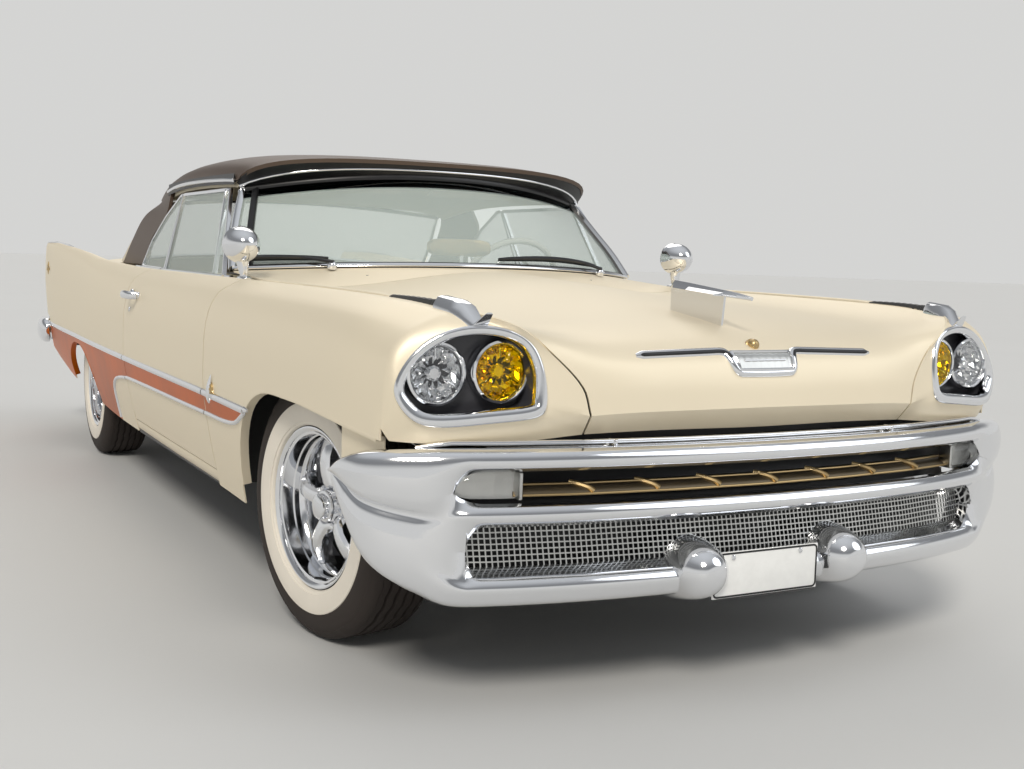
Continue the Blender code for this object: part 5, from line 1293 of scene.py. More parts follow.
def lamp(side, index, x, y, z):
    """One round lamp: bright ring, faceted bowl, bulb shield and a domed lens with ribs."""
    inner = index == 0
    turn = (Matrix.Translation((side * x, y, z)) @ Matrix.Rotation(-pi / 2, 4, "Z")
            @ Matrix.Diagonal((1, LAMP_GROWTH, LAMP_GROWTH, 1)))
    name = named("inner_lamp" if inner else "outer_lamp", side)
    ring = lathe(name + "_ring", LAMP_RING, 48, chrome(), "body", turn)
    facets = []
    for k in range(BOWL_FACETS + 1):
        facets.append([])
        for j, (along, radius) in enumerate(LAMP_BOWL):
            angle = 2 * pi * (k % BOWL_FACETS + 0.5 * (j % 2)) / BOWL_FACETS
            along += 0.0030 * (1 if (k % BOWL_FACETS + j) % 2 else -1) * (0 < j < 5)
            facets[-1].append(Vector((along, radius * cos(angle), radius * sin(angle))))
    bm = bmesh.new()
    grid(bm, facets)
    bmesh.ops.remove_doubles(bm, verts=bm.verts, dist=0.00002)
    bmesh.ops.triangulate(bm, faces=bm.faces)
    bmesh.ops.transform(bm, matrix=turn, verts=bm.verts)
    bowl = to_object(bm, name + "_bowl", yellow_bowl() if inner else clear_bowl(), "body", 3)
    shield = lathe(name + "_shield", BULB_SHIELD, 8, yellow_bowl() if inner else chrome(), "body", turn,
                   angle=20)
    bars = [lathe(f"{name}_bulb_clip_{k}", BULB_CLIP, 8, chrome(), "body",
                  turn @ Matrix.Rotation(2 * pi * k / 3, 4, "X") @ Matrix.Translation((-0.004, 0, 0.030))
                  @ Matrix.Rotation(pi / 2, 4, "Y")) for k in range(3)]
    whole = joined(name, [ring, bowl, shield] + bars)
    # The lens has a ring of radial flutes round a centre of small domes
    bm = bmesh.new()
    rows = []
    for k in range(LENS_TURNS):
        angle = 2 * pi * k / LENS_TURNS
        row = []
        for j in range(LENS_RINGS + 1):
            share = j / LENS_RINGS
            flute = (FLUTE_DEPTH * (1 if k % 4 < 2 else -1) * (1 if 0.30 < share < 0.95 else 0)
                     * (1 if j % 4 else 0.2))
            row.append(Vector((0.002 + LENS_BULGE * (1 - share ** 2) + flute,
                               LENS_RADIUS * share * cos(angle), LENS_RADIUS * share * sin(angle))))
        rows.append(row)
    grid(bm, rows + rows[:1])
    bmesh.ops.remove_doubles(bm, verts=bm.verts, dist=0.00005)
    bmesh.ops.recalc_face_normals(bm, faces=bm.faces)
    bmesh.ops.transform(bm, matrix=turn, verts=bm.verts)
    lens = to_object(bm, name + "_lens", lens_yellow() if inner else lens_clear(), "body", 30)


# Bezel round the lamp opening: how far in from its edge, and how far forward
BEZEL = ((-0.0075, -0.0040), (-0.0082, 0.0020), (-0.0060, 0.0062), (-0.0010, 0.0080), (0.0060, 0.0078),
         (0.0120, 0.0058), (0.0160, 0.0020), (0.0170, -0.0200), (0.0060, -0.0200))


POD_FLOOR_Y = -2.5135
POD_FLOOR_SLANT = 0.12


# Rings of the pod's bowl: share of the opening, and depth where that is below 1
POD_RINGS = ((0.985, 0.008), (0.965, 0.030), (0.93, 1.0), (0.60, 1.0), (0.02, 1.0))


def lamp_pod(side):
    """Wide bright bezel and the dark bowl that holds two lamps."""
    _, opening = nose_loops()
    keys = [Vector((side * p.x, p.y, p.z)) for p in opening]
    for _ in range(6):
        keys = [p * 0.5 + (keys[k - 1] + keys[(k + 1) % len(keys)]) * 0.25 for k, p in enumerate(keys)]
    mid_x, mid_z = (across(POD_CENTRE_shares[0]), high(POD_CENTRE_shares[1]))
    centre = Vector((side * mid_x, nose_y(mid_x, mid_z), mid_z))
    rings = []
    for i, point in enumerate(keys):
        along = (keys[(i + 1) % len(keys)] - keys[i - 1]).normalized()
        inward = along.cross(Vector((0, 1, 0))).normalized()
        if inward.dot(centre - point) < 0:
            inward = -inward
        wide = 0.78 + 0.40 * max(0, min(1, (mid_z - point.z) / 0.08))
        rings.append([point + inward * (a * wide if a > 0 else a) + Vector((0, -b, 0)) for a, b in BEZEL])
    bezel = rings_object(named("lamp_bezel", side), rings, chrome(), "body", closed=True, angle=50)
    loop = keys + keys[:1]
    rings = []
    for share, depth in POD_RINGS:
        ring = []
        for p in loop:
            at = centre + (p - centre) * share
            at.y = POD_FLOOR_Y + (abs(at.x) - LAMPS[0][0]) * POD_FLOOR_SLANT if depth == 1.0 else p.y + depth
            ring.append(at)
        rings.append(ring)
    bowl = surface(named("lamp_bowl", side), [rings], pod_black(), "body", thickness=0.003,
                   centre=(side * 0.7, -9, 0.7), angle=40)
    for index, (x, y, z) in enumerate(LAMPS):
        lamp(side, index, x, y, z)
    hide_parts(named("lamp_pod", side))


def dense_plan(shares, steps=7):
    """One half of a bumper's plan curve, middle to tip."""
    return smooth_line([Vector((across(x), span(y), 0)) for x, y in shares], steps)


def plan_y(x):
    return plan_depth(FRONT_PLAN_shares, x)


def both_halves(half):
    return [Vector((-p.x, p.y, p.z)) for p in reversed(half[1:])] + list(half)


# Points to each span of a bumper's section
BAND_STEPS = 4


def closed_section(keys):
    line = smooth_line([Vector((d, z, 0)) for d, z in keys], BAND_STEPS, closed=True)
    return [(p.x, p.y) for p in line]


BUMPER_TIP_Y = -2.385
# Foot and top of the bumper's corner against y
CORNER_FOOT = ((-2.660, 0.250), (-2.620, 0.258), (-2.575, 0.290), (-2.530, 0.330), (-2.480, 0.382),
               (-2.430, 0.455), (-2.385, 0.520))
CORNER_TOP = ((-2.660, 0.604), (-2.560, 0.600), (-2.480, 0.588), (-2.420, 0.566), (-2.385, 0.542))
# Rows of the bumper's skin, top first: height and depth on the straight bars,
# then the share of the corner's height and the depth there
UPPER_ROWS = ((0.604, -0.058, 1.00, -0.050), (0.6045, -0.026, 1.00, -0.022), (0.597, -0.006, 0.960, -0.004),
              (0.582, 0.002, 0.86, 0.005), (0.568, 0.000, 0.76, 0.007), (0.557, -0.016, 0.66, 0.003))
MIDDLE_ROWS = ((0.486, -0.020, 0.66, 0.003), (0.479, -0.006, 0.61, -0.004), (0.464, 0.003, 0.56, -0.014),
               (0.450, 0.000, 0.50, -0.009), (0.435, -0.018, 0.40, -0.004))
LOWER_ROWS = ((0.326, -0.026, 0.40, -0.004), (0.319, -0.008, 0.30, -0.002), (0.304, 0.002, 0.19, -0.004),
              (0.290, 0.000, 0.10, -0.011), (0.262, -0.018, 0.035, -0.022), (0.247, -0.060, 0.00, -0.040))
OVAL = (0.800, 0.062, 0.5215)
MESH_GAP = (0.775, 0.036, 0.3805)
MESH_END = MESH_GAP[0]
RETURN_DEPTH = 0.075


def rounded_end(x, end, radius):
    """How much of an opening's half height is closed at x, before its rounded end."""
    t = (abs(x) - (end - radius)) / radius
    return 0 if t <= 0 else 1 - max(0, 1 - min(t, 1) ** 2) ** 0.5


def ease(low, up, value):
    t = min(1, max(0, (value - low) / (up - low)))
    return t * t * (3 - 2 * t)


# Stations across the corner, close together where the openings end
CORNER_XS = (0.738, 0.748, 0.756, 0.763, 0.768, 0.772, 0.7745, 0.7750, 0.780, 0.786, 0.791, 0.795, 0.798,
             0.7995, 0.800, 0.806, 0.815, 0.826, 0.84, 0.86)


def bumper_plan():
    """Stations round one half of the bumper: place and outward direction."""
    line = [p for p in dense_plan(FRONT_PLAN_shares, 16) if p.y < BUMPER_TIP_Y]
    wanted = [0.0] + [0.04 * k for k in range(1, 18)]
    wanted += CORNER_XS
    found = []
    for x in wanted:
        k = next(i for i in range(1, len(line)) if line[i].x >= x)
        a, b = line[k - 1], line[k]
        found.append(a.lerp(b, (x - a.x) / (b.x - a.x)))
    found += [p for p in line if p.y > found[-1].y + 0.004 and p.x > 0.86]
    end = line[-1]
    found.append(Vector((end.x, BUMPER_TIP_Y, 0)))
    made = []
    for i, point in enumerate(found):
        along = (found[min(i + 1, len(found) - 1)] - found[max(i - 1, 0)]).normalized()
        made.append((point, Vector((along.y, -along.x, 0))))
    return made


def skin_line(point, out, rows):
    """One station's points for one band of the skin, top first."""
    x, y = point.x, point.y
    foot, top = smooth_value(CORNER_FOOT, 1, y), smooth_value(CORNER_TOP, 1, y)
    near = ease(0.765, 0.880, x)
    thin = 1 if y < -2.45 else max(0.12, (BUMPER_TIP_Y - y) / 0.065)
    keys = []
    for height, depth, share, corner_depth in rows:
        z = height + (foot + (top - foot) * share - height) * near
        edge = {0.557: OVAL, 0.486: OVAL, 0.435: MESH_GAP, 0.326: MESH_GAP}.get(height)
        d = depth + (corner_depth - depth) * near
        if edge:
            end, radius, middle = edge
            middle += (foot + (top - foot) * share - middle) * near
            z += (middle - z) * rounded_end(x, end, radius)
            past = ease(end, end + 0.040, x)
            d += (corner_depth - d) * past
        keys.append(point + out * (d * (thin if d < 0 else 1)) + Vector((0, 0, z)))
    return smooth_line(keys, BAND_STEPS)


def bumper_skin(side):
    """One half of the front bumper: three bands, with the walls of its openings."""
    plan = bumper_plan()
    bands = [[skin_line(point, out, rows) for point, out in plan]
             for rows in (UPPER_ROWS, MIDDLE_ROWS, LOWER_ROWS)]
    grids = list(bands)
    back = Vector((0, RETURN_DEPTH, 0))
    for band, index, (end, radius, _), lift in ((0, -1, OVAL, 1), (1, 0, OVAL, -1), (1, -1, MESH_GAP, 1),
                                                (2, 0, MESH_GAP, -1)):
        strip = []
        for (point, _), line in zip(plan, bands[band]):
            if point.x <= end + 0.00001:
                open_share = 1 - rounded_end(point.x, end, radius)
                edge = line[index]
                rise = Vector((0, 0, lift * 0.004 * open_share))
                strip.append([edge, edge + back * 0.06 + rise * 0.6, edge + back * 0.3 + rise,
                              edge + back + rise * 2])
        grids.append(strip)
    return surface(f"bumper_skin_{side}", grids, chrome(), "body", thickness=0.0035, centre=(0, -2.2, 0.42),
                   side=side, angle=50)


# Bumper bullet: along its axis and its radius
BULLET = ((0.000, 0.0830), (0.030, 0.0815), (0.060, 0.0775), (0.090, 0.0715), (0.115, 0.0645),
          (0.132, 0.0575), (0.145, 0.0500), (0.155, 0.0415), (0.163, 0.0310), (0.168, 0.0190), (0.170, 0.0))
BULLET_BACK_Y = -2.600
BULLET_Z = 0.304
BULLET_TIP_RISE = 0.010


BULLET_STEPS = 48
BULLET_RINGS = 26


def bullet(side):
    """Bright cone with a rounded tip."""
    along = [BULLET[-1][0] * sin(pi / 2 * k / BULLET_RINGS) for k in range(BULLET_RINGS + 1)]
    rings = []
    steps = BULLET_STEPS
    for a in along:
        radius = smooth_value(BULLET, 1, a)
        rise = BULLET_TIP_RISE * a / BULLET[-1][0]
        rings.append([Vector((side * GUARD_x + radius * sin(2 * pi * j / steps), BULLET_BACK_Y - a,
                              BULLET_Z + rise + radius * cos(2 * pi * j / steps))) for j in range(steps)])
    return rings_object(f"bullet_{side}", rings, chrome(), "body", angle=28)


PLATE_X = -0.040
PLATE_REACH = 0.156
PLATE_FACE = -2.731
PLATE_FOOT = 0.247
PLATE_HEAD = 0.356


# Front plate's border and bolts
BORDER_SECTION = ((-0.001, -0.0022), (0.0008, -0.0022), (0.0008, 0.0022), (-0.001, 0.0022))
PLATE_BOLT = ((0, 0.006), (0.003, 0.006), (0.0042, 0.004), (0.0045, 0))
BORDER_IN = 0.014
BORDER_RADIUS = 0.010
PLATE_BACK = PLATE_FACE + 0.004


def front_bumper():
    """The bumper's two halves with its bullets and irons, and the blank plate in its border."""
    bars = [bumper_skin(side) for side in (1, -1)]
    for side in (1, -1):
        bars.append(bullet(side))
        bars.append(soft_block(f"bumper_iron_{side}", (side * 0.385, -2.655, 0.286),
                               (side * 0.425, -2.40, 0.335), 0.004, steel(), "body", 2))
    whole = joined("front_bumper_bars", bars)
    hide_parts("front_bumper")
    plate = soft_block("plate", (PLATE_X - PLATE_REACH, PLATE_FACE, PLATE_FOOT),
                       (PLATE_X + PLATE_REACH, PLATE_BACK, PLATE_HEAD), 0.0018, white_enamel(), "body", 2)
    rim_path = []
    for cx, cz, start in ((PLATE_REACH - BORDER_IN, PLATE_HEAD - BORDER_IN, 0),
                          (-PLATE_REACH + BORDER_IN, PLATE_HEAD - BORDER_IN, 1),
                          (-PLATE_REACH + BORDER_IN, PLATE_FOOT + BORDER_IN, 2),
                          (PLATE_REACH - BORDER_IN, PLATE_FOOT + BORDER_IN, 3)):
        rim_path += [Vector((PLATE_X + cx + BORDER_RADIUS * cos(pi / 2 * (start + k / 5)), PLATE_FACE,
                             cz + BORDER_RADIUS * sin(pi / 2 * (start + k / 5)))) for k in range(6)]
    border = sweep("plate_border", rim_path, Vector((0, -1, 0)), BORDER_SECTION, black_trim(), "body",
                   closed=True)
    back = soft_block("plate_back", (-0.12, PLATE_BACK, 0.24), (0.12, -2.66, 0.325), 0.006, steel(), "body",
                      2)
    bolts = [lathe(f"plate_bolt_{s}", PLATE_BOLT, 12, chrome(), "body",
                   Matrix.Translation((PLATE_X + s * 0.10, PLATE_FACE - 0.0002, PLATE_HEAD - 0.013))
                   @ Matrix.Rotation(-pi / 2, 4, "Z")) for s in (1, -1)]
    joined("plate_border", [border, back] + bolts)


# Sections of the grille bar and of its ribs
BAR_SECTION = ((-0.046, 0.496), (-0.042, 0.501), (-0.045, 0.507), (-0.058, 0.517), (-0.085, 0.520),
               (-0.085, 0.496))
RIB_SECTION = ((-0.003, -0.006), (0.004, -0.005), (0.006, 0), (0.004, 0.005), (-0.003, 0.006))
LEDGE_ROWS = ((0.060, 0.340), (0.050, 0.3385), (0.030, 0.331), (0.012, 0.3255), (0.020, 0.315))
RODS = (("front", 0.86, 0.052, 0.6135, 0.0055), ("rear", 0.70, 0.090, 0.606, 0.0045))
TRAY_ROWS = ((0.060, 0.602), (0.100, 0.600), (0.140, 0.604))
SHADE_PANEL_ROWS = ((0.15, 0.240), (0.16, 0.40), (0.15, 0.50), (0.15, 0.655))
PARKING_Z = 0.5225
RIB_COUNT = 7
PARKING_LENS = (0.655, 0.795)
PARKING_RIBS = 64
MESH_COUNTS = (119, 8)
MESH_WIRE = 0.0030


def grille():
    """Bronze bar with slanted ribs, ribbed parking lamps, the square mesh and the rods above the bumper."""
    width = across(GRILLE_HALF_share)
    xs = even(-width, 2 * width, 40)
    path = [Vector((x, plan_y(x), 0)) for x in xs]
    base = BAR_SECTION
    bar_piece = rings_object("grille_bar_face", [[p + Vector((0, -d, z)) for d, z in base] for p in path],
                             bronze_face(), "body")
    lips = []
    for name, d, z in (("top", -0.064, 0.5185), ("foot", -0.0425, 0.4985)):
        lips.append(sweep(f"grille_lip_{name}", [p + Vector((0, -d, z)) for p in path], Vector((0, -1, 0)),
                          round_section(0.0032, 8), gold(), "body"))
    for k in range(RIB_COUNT):
        x = width * (2 * (k + 1) / (RIB_COUNT + 1) - 1)
        y = plan_y(x)
        line = [Vector((x - 0.024, y + 0.074, 0.5215)), Vector((x - 0.008, y + 0.060, 0.5185)),
                Vector((x + 0.012, y + 0.046, 0.511)), Vector((x + 0.022, y + 0.040, 0.504))]
        lips.append(sweep(f"grille_rib_{k}", smooth_line(line, 4), Vector((0, -1, 0.6)), RIB_SECTION,
                          gold(), "body"))
    whole = joined("grille_bar_trim", [bar_piece] + lips)
    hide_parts("grille_bar")
    for side in (1, -1):
        rings, back = [], []
        low, up = PARKING_LENS
        for k in range(PARKING_RIBS + 1):
            x = low + (up - low) * k / PARKING_RIBS
            rib = 0.0016 if k % 2 else 0
            end = rounded_end(x, up + 0.001, 0.050)
            tall = 0.030 * (1 - end)
            y = plan_y(x)
            rings.append([Vector((side * x, y + 0.034 - (0.022 * (1 - end) + rib) * sin(pi * j / 8) ** 0.6,
                                  PARKING_Z - tall * cos(pi * j / 8))) for j in range(9)])
            back.append([Vector((side * x, y + 0.046, PARKING_Z + tall)),
                         Vector((side * x, y + 0.050, PARKING_Z)),
                         Vector((side * x, y + 0.046, PARKING_Z - tall))])
        lens = surface(named("parking_lens", side), [rings], lens_clear(), "body", thickness=0,
                       centre=(side * 0.72, 0, 0.52), angle=60)
        bowl = surface(named("parking_bowl", side), [back], satin(), "body", thickness=0.002,
                       centre=(side * 0.72, -9, 0.52))
        cap = soft_block(named("parking_cap", side), (side * 0.648, plan_y(0.65) + 0.020, 0.492),
                         (side * 0.657, plan_y(0.65) + 0.060, 0.554), 0.003, satin(), "body", 2)
        joined(named("parking_bowl", side), [bowl, cap])
    # Mesh
    (columns, rows_count), wire = MESH_COUNTS, MESH_WIRE
    low, up = MESH_LOW - 0.006, MESH_TOP
    pitch_x, pitch_z = (2 * MESH_END - wire) / columns, (up - low - wire) / rows_count
    xs, zs = [], []
    for k in range(columns + 1):
        xs += [-MESH_END + k * pitch_x, -MESH_END + k * pitch_x + wire]
    for k in range(rows_count + 1):
        zs += [low + k * pitch_z, low + k * pitch_z + wire]
    bm = bmesh.new()
    made = [[bm.verts.new((x, plan_y(x) + 0.052 + 0.25 * (z - low), z)) for z in zs] for x in xs]
    for i in range(len(xs) - 1):
        for j in range(len(zs) - 1):
            if not (i % 2 and j % 2):
                bm.faces.new((made[i][j], made[i + 1][j], made[i + 1][j + 1], made[i][j + 1]))
    mesh = to_object(bm, "grille_mesh_wire", satin(), "body", 30)
    solid = mesh.modifiers.new("thickness", "SOLIDIFY")
    solid.thickness = 0.003
    settle(mesh, 30)
    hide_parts("grille_mesh")
    # Bright ledge from the mesh's foot to the lower bar
    xs = even(-MESH_END, 2 * MESH_END, 48)
    ledge_rows = [[Vector((x, plan_y(x) + d, z)) for x in xs] for d, z in LEDGE_ROWS]
    surface("bumper_ledge", [ledge_rows], chrome(), "body", thickness=0.002, centre=(0, -2.5, 0))
    # Rods above the bumper, their bracket, and the black panel behind everything, which paints the shade in
    # the openings
    rods = []
    for name, reach, depth, z, radius in RODS:
        path = [Vector((x, plan_y(x) + depth, z - (0.012 * max(0, abs(x) - 0.80) / 0.06)))
                for x in even(-reach, 2 * reach, 48)]
        rods.append(sweep(f"rod_{name}", path, Vector((0, 0, 1)), round_section(radius, 10), chrome(),
                          "body"))
    for x in (-0.42, 0.42):
        rods.append(soft_block("rod_bracket", (x - 0.005, plan_y(x) + 0.045, 0.600),
                               (x + 0.005, plan_y(x) + 0.098, 0.6175), 0.0015, chrome(), "body", 1))
    tray = [[Vector((x, plan_y(x) + d, z)) for x in even(-0.84, 1.68, 28)] for d, z in TRAY_ROWS]
    rods.append(surface("bumper_tray", [tray], satin(), "body", thickness=0.002, centre=(0, -2.5, 0)))
    joined("lip_rods", rods)
    # Black sheet behind the grille and the gap under the hood's lip: painted shade
    back = [[Vector((x, plan_y(x) + d, z)) for x in even(-0.80, 1.6, 28)] for d, z in
            SHADE_PANEL_ROWS]
    shade_panel = surface("grille_shade_panel", [back], black_trim(), "body", thickness=0.003, centre=(0, -9, 0.4))


def on_row(row, x):
    """The point of a dense row at x."""
    for a, b in zip(row, row[1:]):
        if a.x <= x <= b.x:
            return a.lerp(b, (x - a.x) / (b.x - a.x)) if b.x > a.x else a.copy()
    return row[-1].copy() if x > 0 else row[0].copy()


def on_hood(rows, x, z):
    """A place on the hood's nose at x and z."""
    line = [on_row(row, x) for row in rows]
    for a, b in zip(line, line[1:]):
        if a.z <= z <= b.z:
            return a.lerp(b, (z - a.z) / (b.z - a.z))
    return line[0]


# Emblem: the outline of its hooks and its plaque as (x, z), and its sections
HOOK = ((0.106, 0.8055), (0.097, 0.797), (0.090, 0.780), (0.084, 0.768), (0.074, 0.7615))
PLAQUE_CORNERS = ((-0.080, 0.766), (0.080, 0.766), (0.090, 0.806), (-0.090, 0.806))
PLAQUE_SECTION = ((-0.006, -0.004), (0.007, -0.003), (0.009, 0), (0.007, 0.003), (-0.006, 0.004))
BALL_FOOT = ((-0.004, 0.017), (0.002, 0.017), (0.005, 0.012), (0.006, 0))
BALL_RADIUS = 0.014
NOSE_OUT = (0, -0.93, 0.36)


def emblem():
    """Wing-shaped bar with dark inlays, a plain plaque and a small gilt ball, on the hood's nose."""
    rows = lid_rows(hood_lines())
    pieces = []
    out = Vector(NOSE_OUT)
    ribbon = []
    for side in (-1, 1):
        arm = [(side * (0.120 + 0.235 * k / 10), 0.8075 - 0.006 * k / 10) for k in range(11)]
        hook = [(side * x, z) for x, z in HOOK]
        ribbon += list(reversed(arm)) + hook if side < 0 else list(reversed(hook)) + arm
    line = smooth_line([on_hood(rows, x, z) for x, z in ribbon], 4)
    ends = lambda t: min(1, 0.45 + min(t, 1 - t) * 22)
    pieces.append(sweep("emblem_ribbon", line, out, moulding(0.024, 0.0095), chrome(), "hood_lid",
                        taper=ends))
    for name, part in (("left", line[2:50]), ("right", line[-50:-2])):
        inlay = [p + out * 0.0085 for p in part]
        pieces.append(sweep(f"emblem_inlay_{name}", inlay, out, moulding(0.0095, 0.003), black_trim(),
                            "hood_lid", taper=ends))
    loop = []
    for (x0, z0), (x1, z1) in zip(PLAQUE_CORNERS, PLAQUE_CORNERS[1:] + PLAQUE_CORNERS[:1]):
        loop += [on_hood(rows, x0 + (x1 - x0) * k / 8, z0 + (z1 - z0) * k / 8) + out * 0.004
                 for k in range(8)]
    pieces.append(sweep("plaque_frame", loop, out, PLAQUE_SECTION, chrome(), "hood_lid", closed=True))
    plate_rows = []
    for j in range(9):
        z = 0.767 + 0.038 * j / 8
        plate_rows.append([on_hood(rows, (-0.081 + 0.162 * k / 24) * (1 + 0.10 * j / 8), z) + out
                           * (0.006 + (0.0012 if k % 3 == 0 else 0)) for k in range(25)])
    pieces.append(surface("plaque_face", [plate_rows], satin(), "hood_lid", thickness=0.004,
                          centre=(0, 0, 0.5)))
    bar_line = [on_hood(rows, -0.062 + 0.124 * k / 10, 0.787) + out * 0.007 for k in range(11)]
    pieces.append(sweep("plaque_bar", bar_line, out, moulding(0.005, 0.003), chrome(), "hood_lid"))
    ball = on_hood(rows, 0, 0.822) + out * 0.004
    profile = [(BALL_RADIUS * -cos(pi * k / 10), BALL_RADIUS * sin(pi * k / 10)) for k in range(11)]
    pieces.append(lathe("emblem_ball", profile, 20, gold(), "hood_lid", Matrix.Translation(ball)))
    pieces.append(lathe("emblem_ball_foot", BALL_FOOT, 20, gold(), "hood_lid", aim(ball - out * 0.008, ball)))
    joined("hood_emblem", pieces)


# Dart on the hood: y, height and half width
HOOD_SPEAR = ((-2.250, 0.001, 0.004), (-2.262, 0.020, 0.008), (-2.330, 0.018, 0.016),
              (-2.400, 0.015, 0.024), (-2.468, 0.012, 0.031), (-2.476, 0.012, 0.013),
              (-2.530, 0.009, 0.009), (-2.580, 0.004, 0.004))
SPEAR_REAR_Z = 0.950
SPEAR_FALL = 0.050
SPEAR_FOOT_END = -2.472


def hood_spear(lid):
    """Bright dart on the middle of the hood: nearly level, on a thin foot, with a clipped wing."""
    rings = []
    for y, tall, half in HOOD_SPEAR:
        spot = on_panel(lid, 0.0, y)
        z = SPEAR_REAR_Z + SPEAR_FALL * (y - HOOD_SPEAR[0][0])
        low = min(z, spot.z if spot else z) - 0.004 if y > SPEAR_FOOT_END else z - 0.005
        keys = [(-0.003, low), (-0.003, z - 0.003), (-half, z - 0.003), (-half, z),
                (-0.006, z + tall * 0.45), (-0.0022, z + tall), (0.0022, z + tall),
                (0.006, z + tall * 0.45), (half, z), (half, z - 0.003), (0.003, z - 0.003), (0.003, low)]
        rings.append([Vector((x, y, height)) for x, height in keys])
    made = rings_object("hood_spear", rings, chrome(), "hood_lid", angle=25)


OVER_CAR_Z = 1.5


def on_panel(obj, x, y):
    """The top of a panel straight below a point."""
    bpy.context.view_layer.update()
    hit, spot, _, _ = obj.ray_cast(Vector((x, y, OVER_CAR_Z)), Vector((0, 0, -1)))
    return spot if hit else None


# Ornament on the wing's ridge: y, height and half width of its dark stem and of its bright wedge
STEM = ((-2.180, 0.003, 0.004), (-2.200, 0.007, 0.008), (-2.300, 0.010, 0.010), (-2.400, 0.013, 0.013),
        (-2.432, 0.014, 0.014))
WEDGE = ((-2.428, 0.018, 0.020), (-2.440, 0.026, 0.028), (-2.500, 0.026, 0.029), (-2.528, 0.024, 0.026),
         (-2.560, 0.010, 0.018), (-2.590, 0.003, 0.008))
RIDGE_IN = 0.012


# Section of the ornament, as shares of its half width and height
ORNAMENT_shares = ((-1.05, -0.2), (-1, 0.25), (-0.62, 0.9), (-0.3, 1), (0.3, 1), (0.62, 0.9), (1, 0.25),
                   (1.05, -0.2))


def fender_ornament(side, wing):
    """Cream bead along the wing's ridge, then a dark ribbed stem and a bright wedge over the lamps."""
    def seat(y):
        keys = side_points(max(y, FENDER_Y) / HALF_LENGTH)[0]
        x = keys[0] + RIDGE_IN - max(0, FENDER_Y - y) * 0.30
        spot = on_panel(wing, side * x, y)
        good = spot is not None and spot.z > keys[1] - 0.045
        return Vector((side * x, y, spot.z if good else keys[1] - 0.004))

    def body_of(name, table, material, ribs=1):
        rings = []
        for (y0, h0, w0), (y1, h1, w1) in zip(table, table[1:]):
            for k in range(ribs):
                t = k / ribs
                y, tall, half = y0 + (y1 - y0) * t, h0 + (h1 - h0) * t, w0 + (w1 - w0) * t
                grow = 1.0 if k % 2 == 0 else 0.86
                spot = seat(y)
                rings.append([spot + Vector((a * half * grow, 0, b * tall * grow))
                              for a, b in ORNAMENT_shares])
        y, tall, half = table[-1]
        spot = seat(y)
        rings.append([spot + Vector((a * half, 0, b * tall)) for a, b in ORNAMENT_shares])
        return rings_object(named(name, side), rings, material, "body", angle=35)
    wedge = body_of("wing_wedge", WEDGE, chrome())
    stem = body_of("wing_stem", STEM, steel(), 8)
    joined(named("wing_ornament", side), [wedge, stem])
    bead_line = [seat(y) + Vector((0, 0, 0.0005)) for y in stations(-2.178, -1.200, 0.05)]
    bead = sweep(named("wing_bead", side), bead_line, Vector((0, 0, 1)), moulding(0.014, 0.0055), ivory(),
                 "body", taper=lambda t: min(1, 0.3 + min(t, 1 - t) * 30))


# Bright trim along the side

TRIM_PITCH = 0.03


def side_line(side, y_first, y_last, z_of):
    """Points along the car's side between two places, at the height that z_of gives."""
    ys = stations(y_first, y_last, TRIM_PITCH)
    return [Vector((side * side_x(y, z_of(y)), y, z_of(y))) for y in ys]


# Tip of the arrow as (y, z), and the badge's ring: along its axis, radius
ARROW_TIP = ((-1.650, 0.5765), (-1.625, 0.5765), (-1.60, 0.573))
BADGE_RING = ((-0.004, 0.019), (0.004, 0.0185), (0.007, 0.015), (0.006, 0.011), (0.010, 0.008), (0.012, 0))


def side_trim(side):
    """Mouldings of the two-tone sweep, split at the doors' gaps, with the arrow's tip and its badge."""
    out = Vector((side, 0, 0))
    upper = moulding(0.025, 0.0100)
    lower = moulding(0.016, 0.0080)
    outer_z = lambda y: TRIM_Z + 0.004 * min(1, max(0, (y + 1.62) / 0.5))
    parts = {"body": [], leaf(side): []}
    for name, first, last, body in (("front", TIP_Y, -1.184, "body"), ("door", -1.176, 0.049, leaf(side)),
                                    ("rear", 0.056, TAIL_Y - 0.02, "body")):
        parts[body].append(sweep(f"trim_upper_{name}_{side}", side_line(side, first, last, outer_z), out,
                                 upper, chrome(), body))
        if name == "rear":
            keys = [(y, z) for y, z in SWEEP if 0.1 < y < 0.41]
            keys = [(0.056, 0.498)] + keys
            line = smooth_line([Vector((0, y, z)) for y, z in keys], 6)
            path = [Vector((side * side_x(p.y, p.z), p.y, p.z)) for p in line]
        else:
            path = side_line(side, max(first, -1.615), last, lambda y: smooth_value(SWEEP, 1, y))
        parts[body].append(sweep(f"trim_lower_{name}_{side}", path, out, lower, chrome(), body))
    tip = [Vector((side * side_x(y, z), y, z)) for y, z in ARROW_TIP]
    parts["body"].append(sweep(f"trim_tip_{side}", tip, out, upper, chrome(), "body",
                               taper=lambda t: 0.4 + 0.6 * t))
    # Spear through the arrow
    x = side_x(-1.28, 0.60)
    stem = [Vector((side * (x + 0.004), -1.272, 0.553)), Vector((side * (x + 0.008), -1.278, 0.585)),
            Vector((side * (x + 0.004), -1.287, 0.640))]
    parts["body"].append(sweep(f"spear_{side}", smooth_line(stem, 8), out, moulding(0.018, 0.010), chrome(),
                               "body", taper=lambda t: 0.25 + 0.75 * sin(pi * min(1, t * 1.05)) ** 0.7))
    ring = Matrix.Translation((side * (x + 0.002), -1.279, 0.598)) @ outward(side)
    parts["body"].append(lathe(f"spear_ring_{side}", BADGE_RING, 24,
                               gold(), "body", ring))
    for body, pieces in parts.items():
        joined(named("side_trim_" + ("door" if body != "body" else "body"), side), pieces)


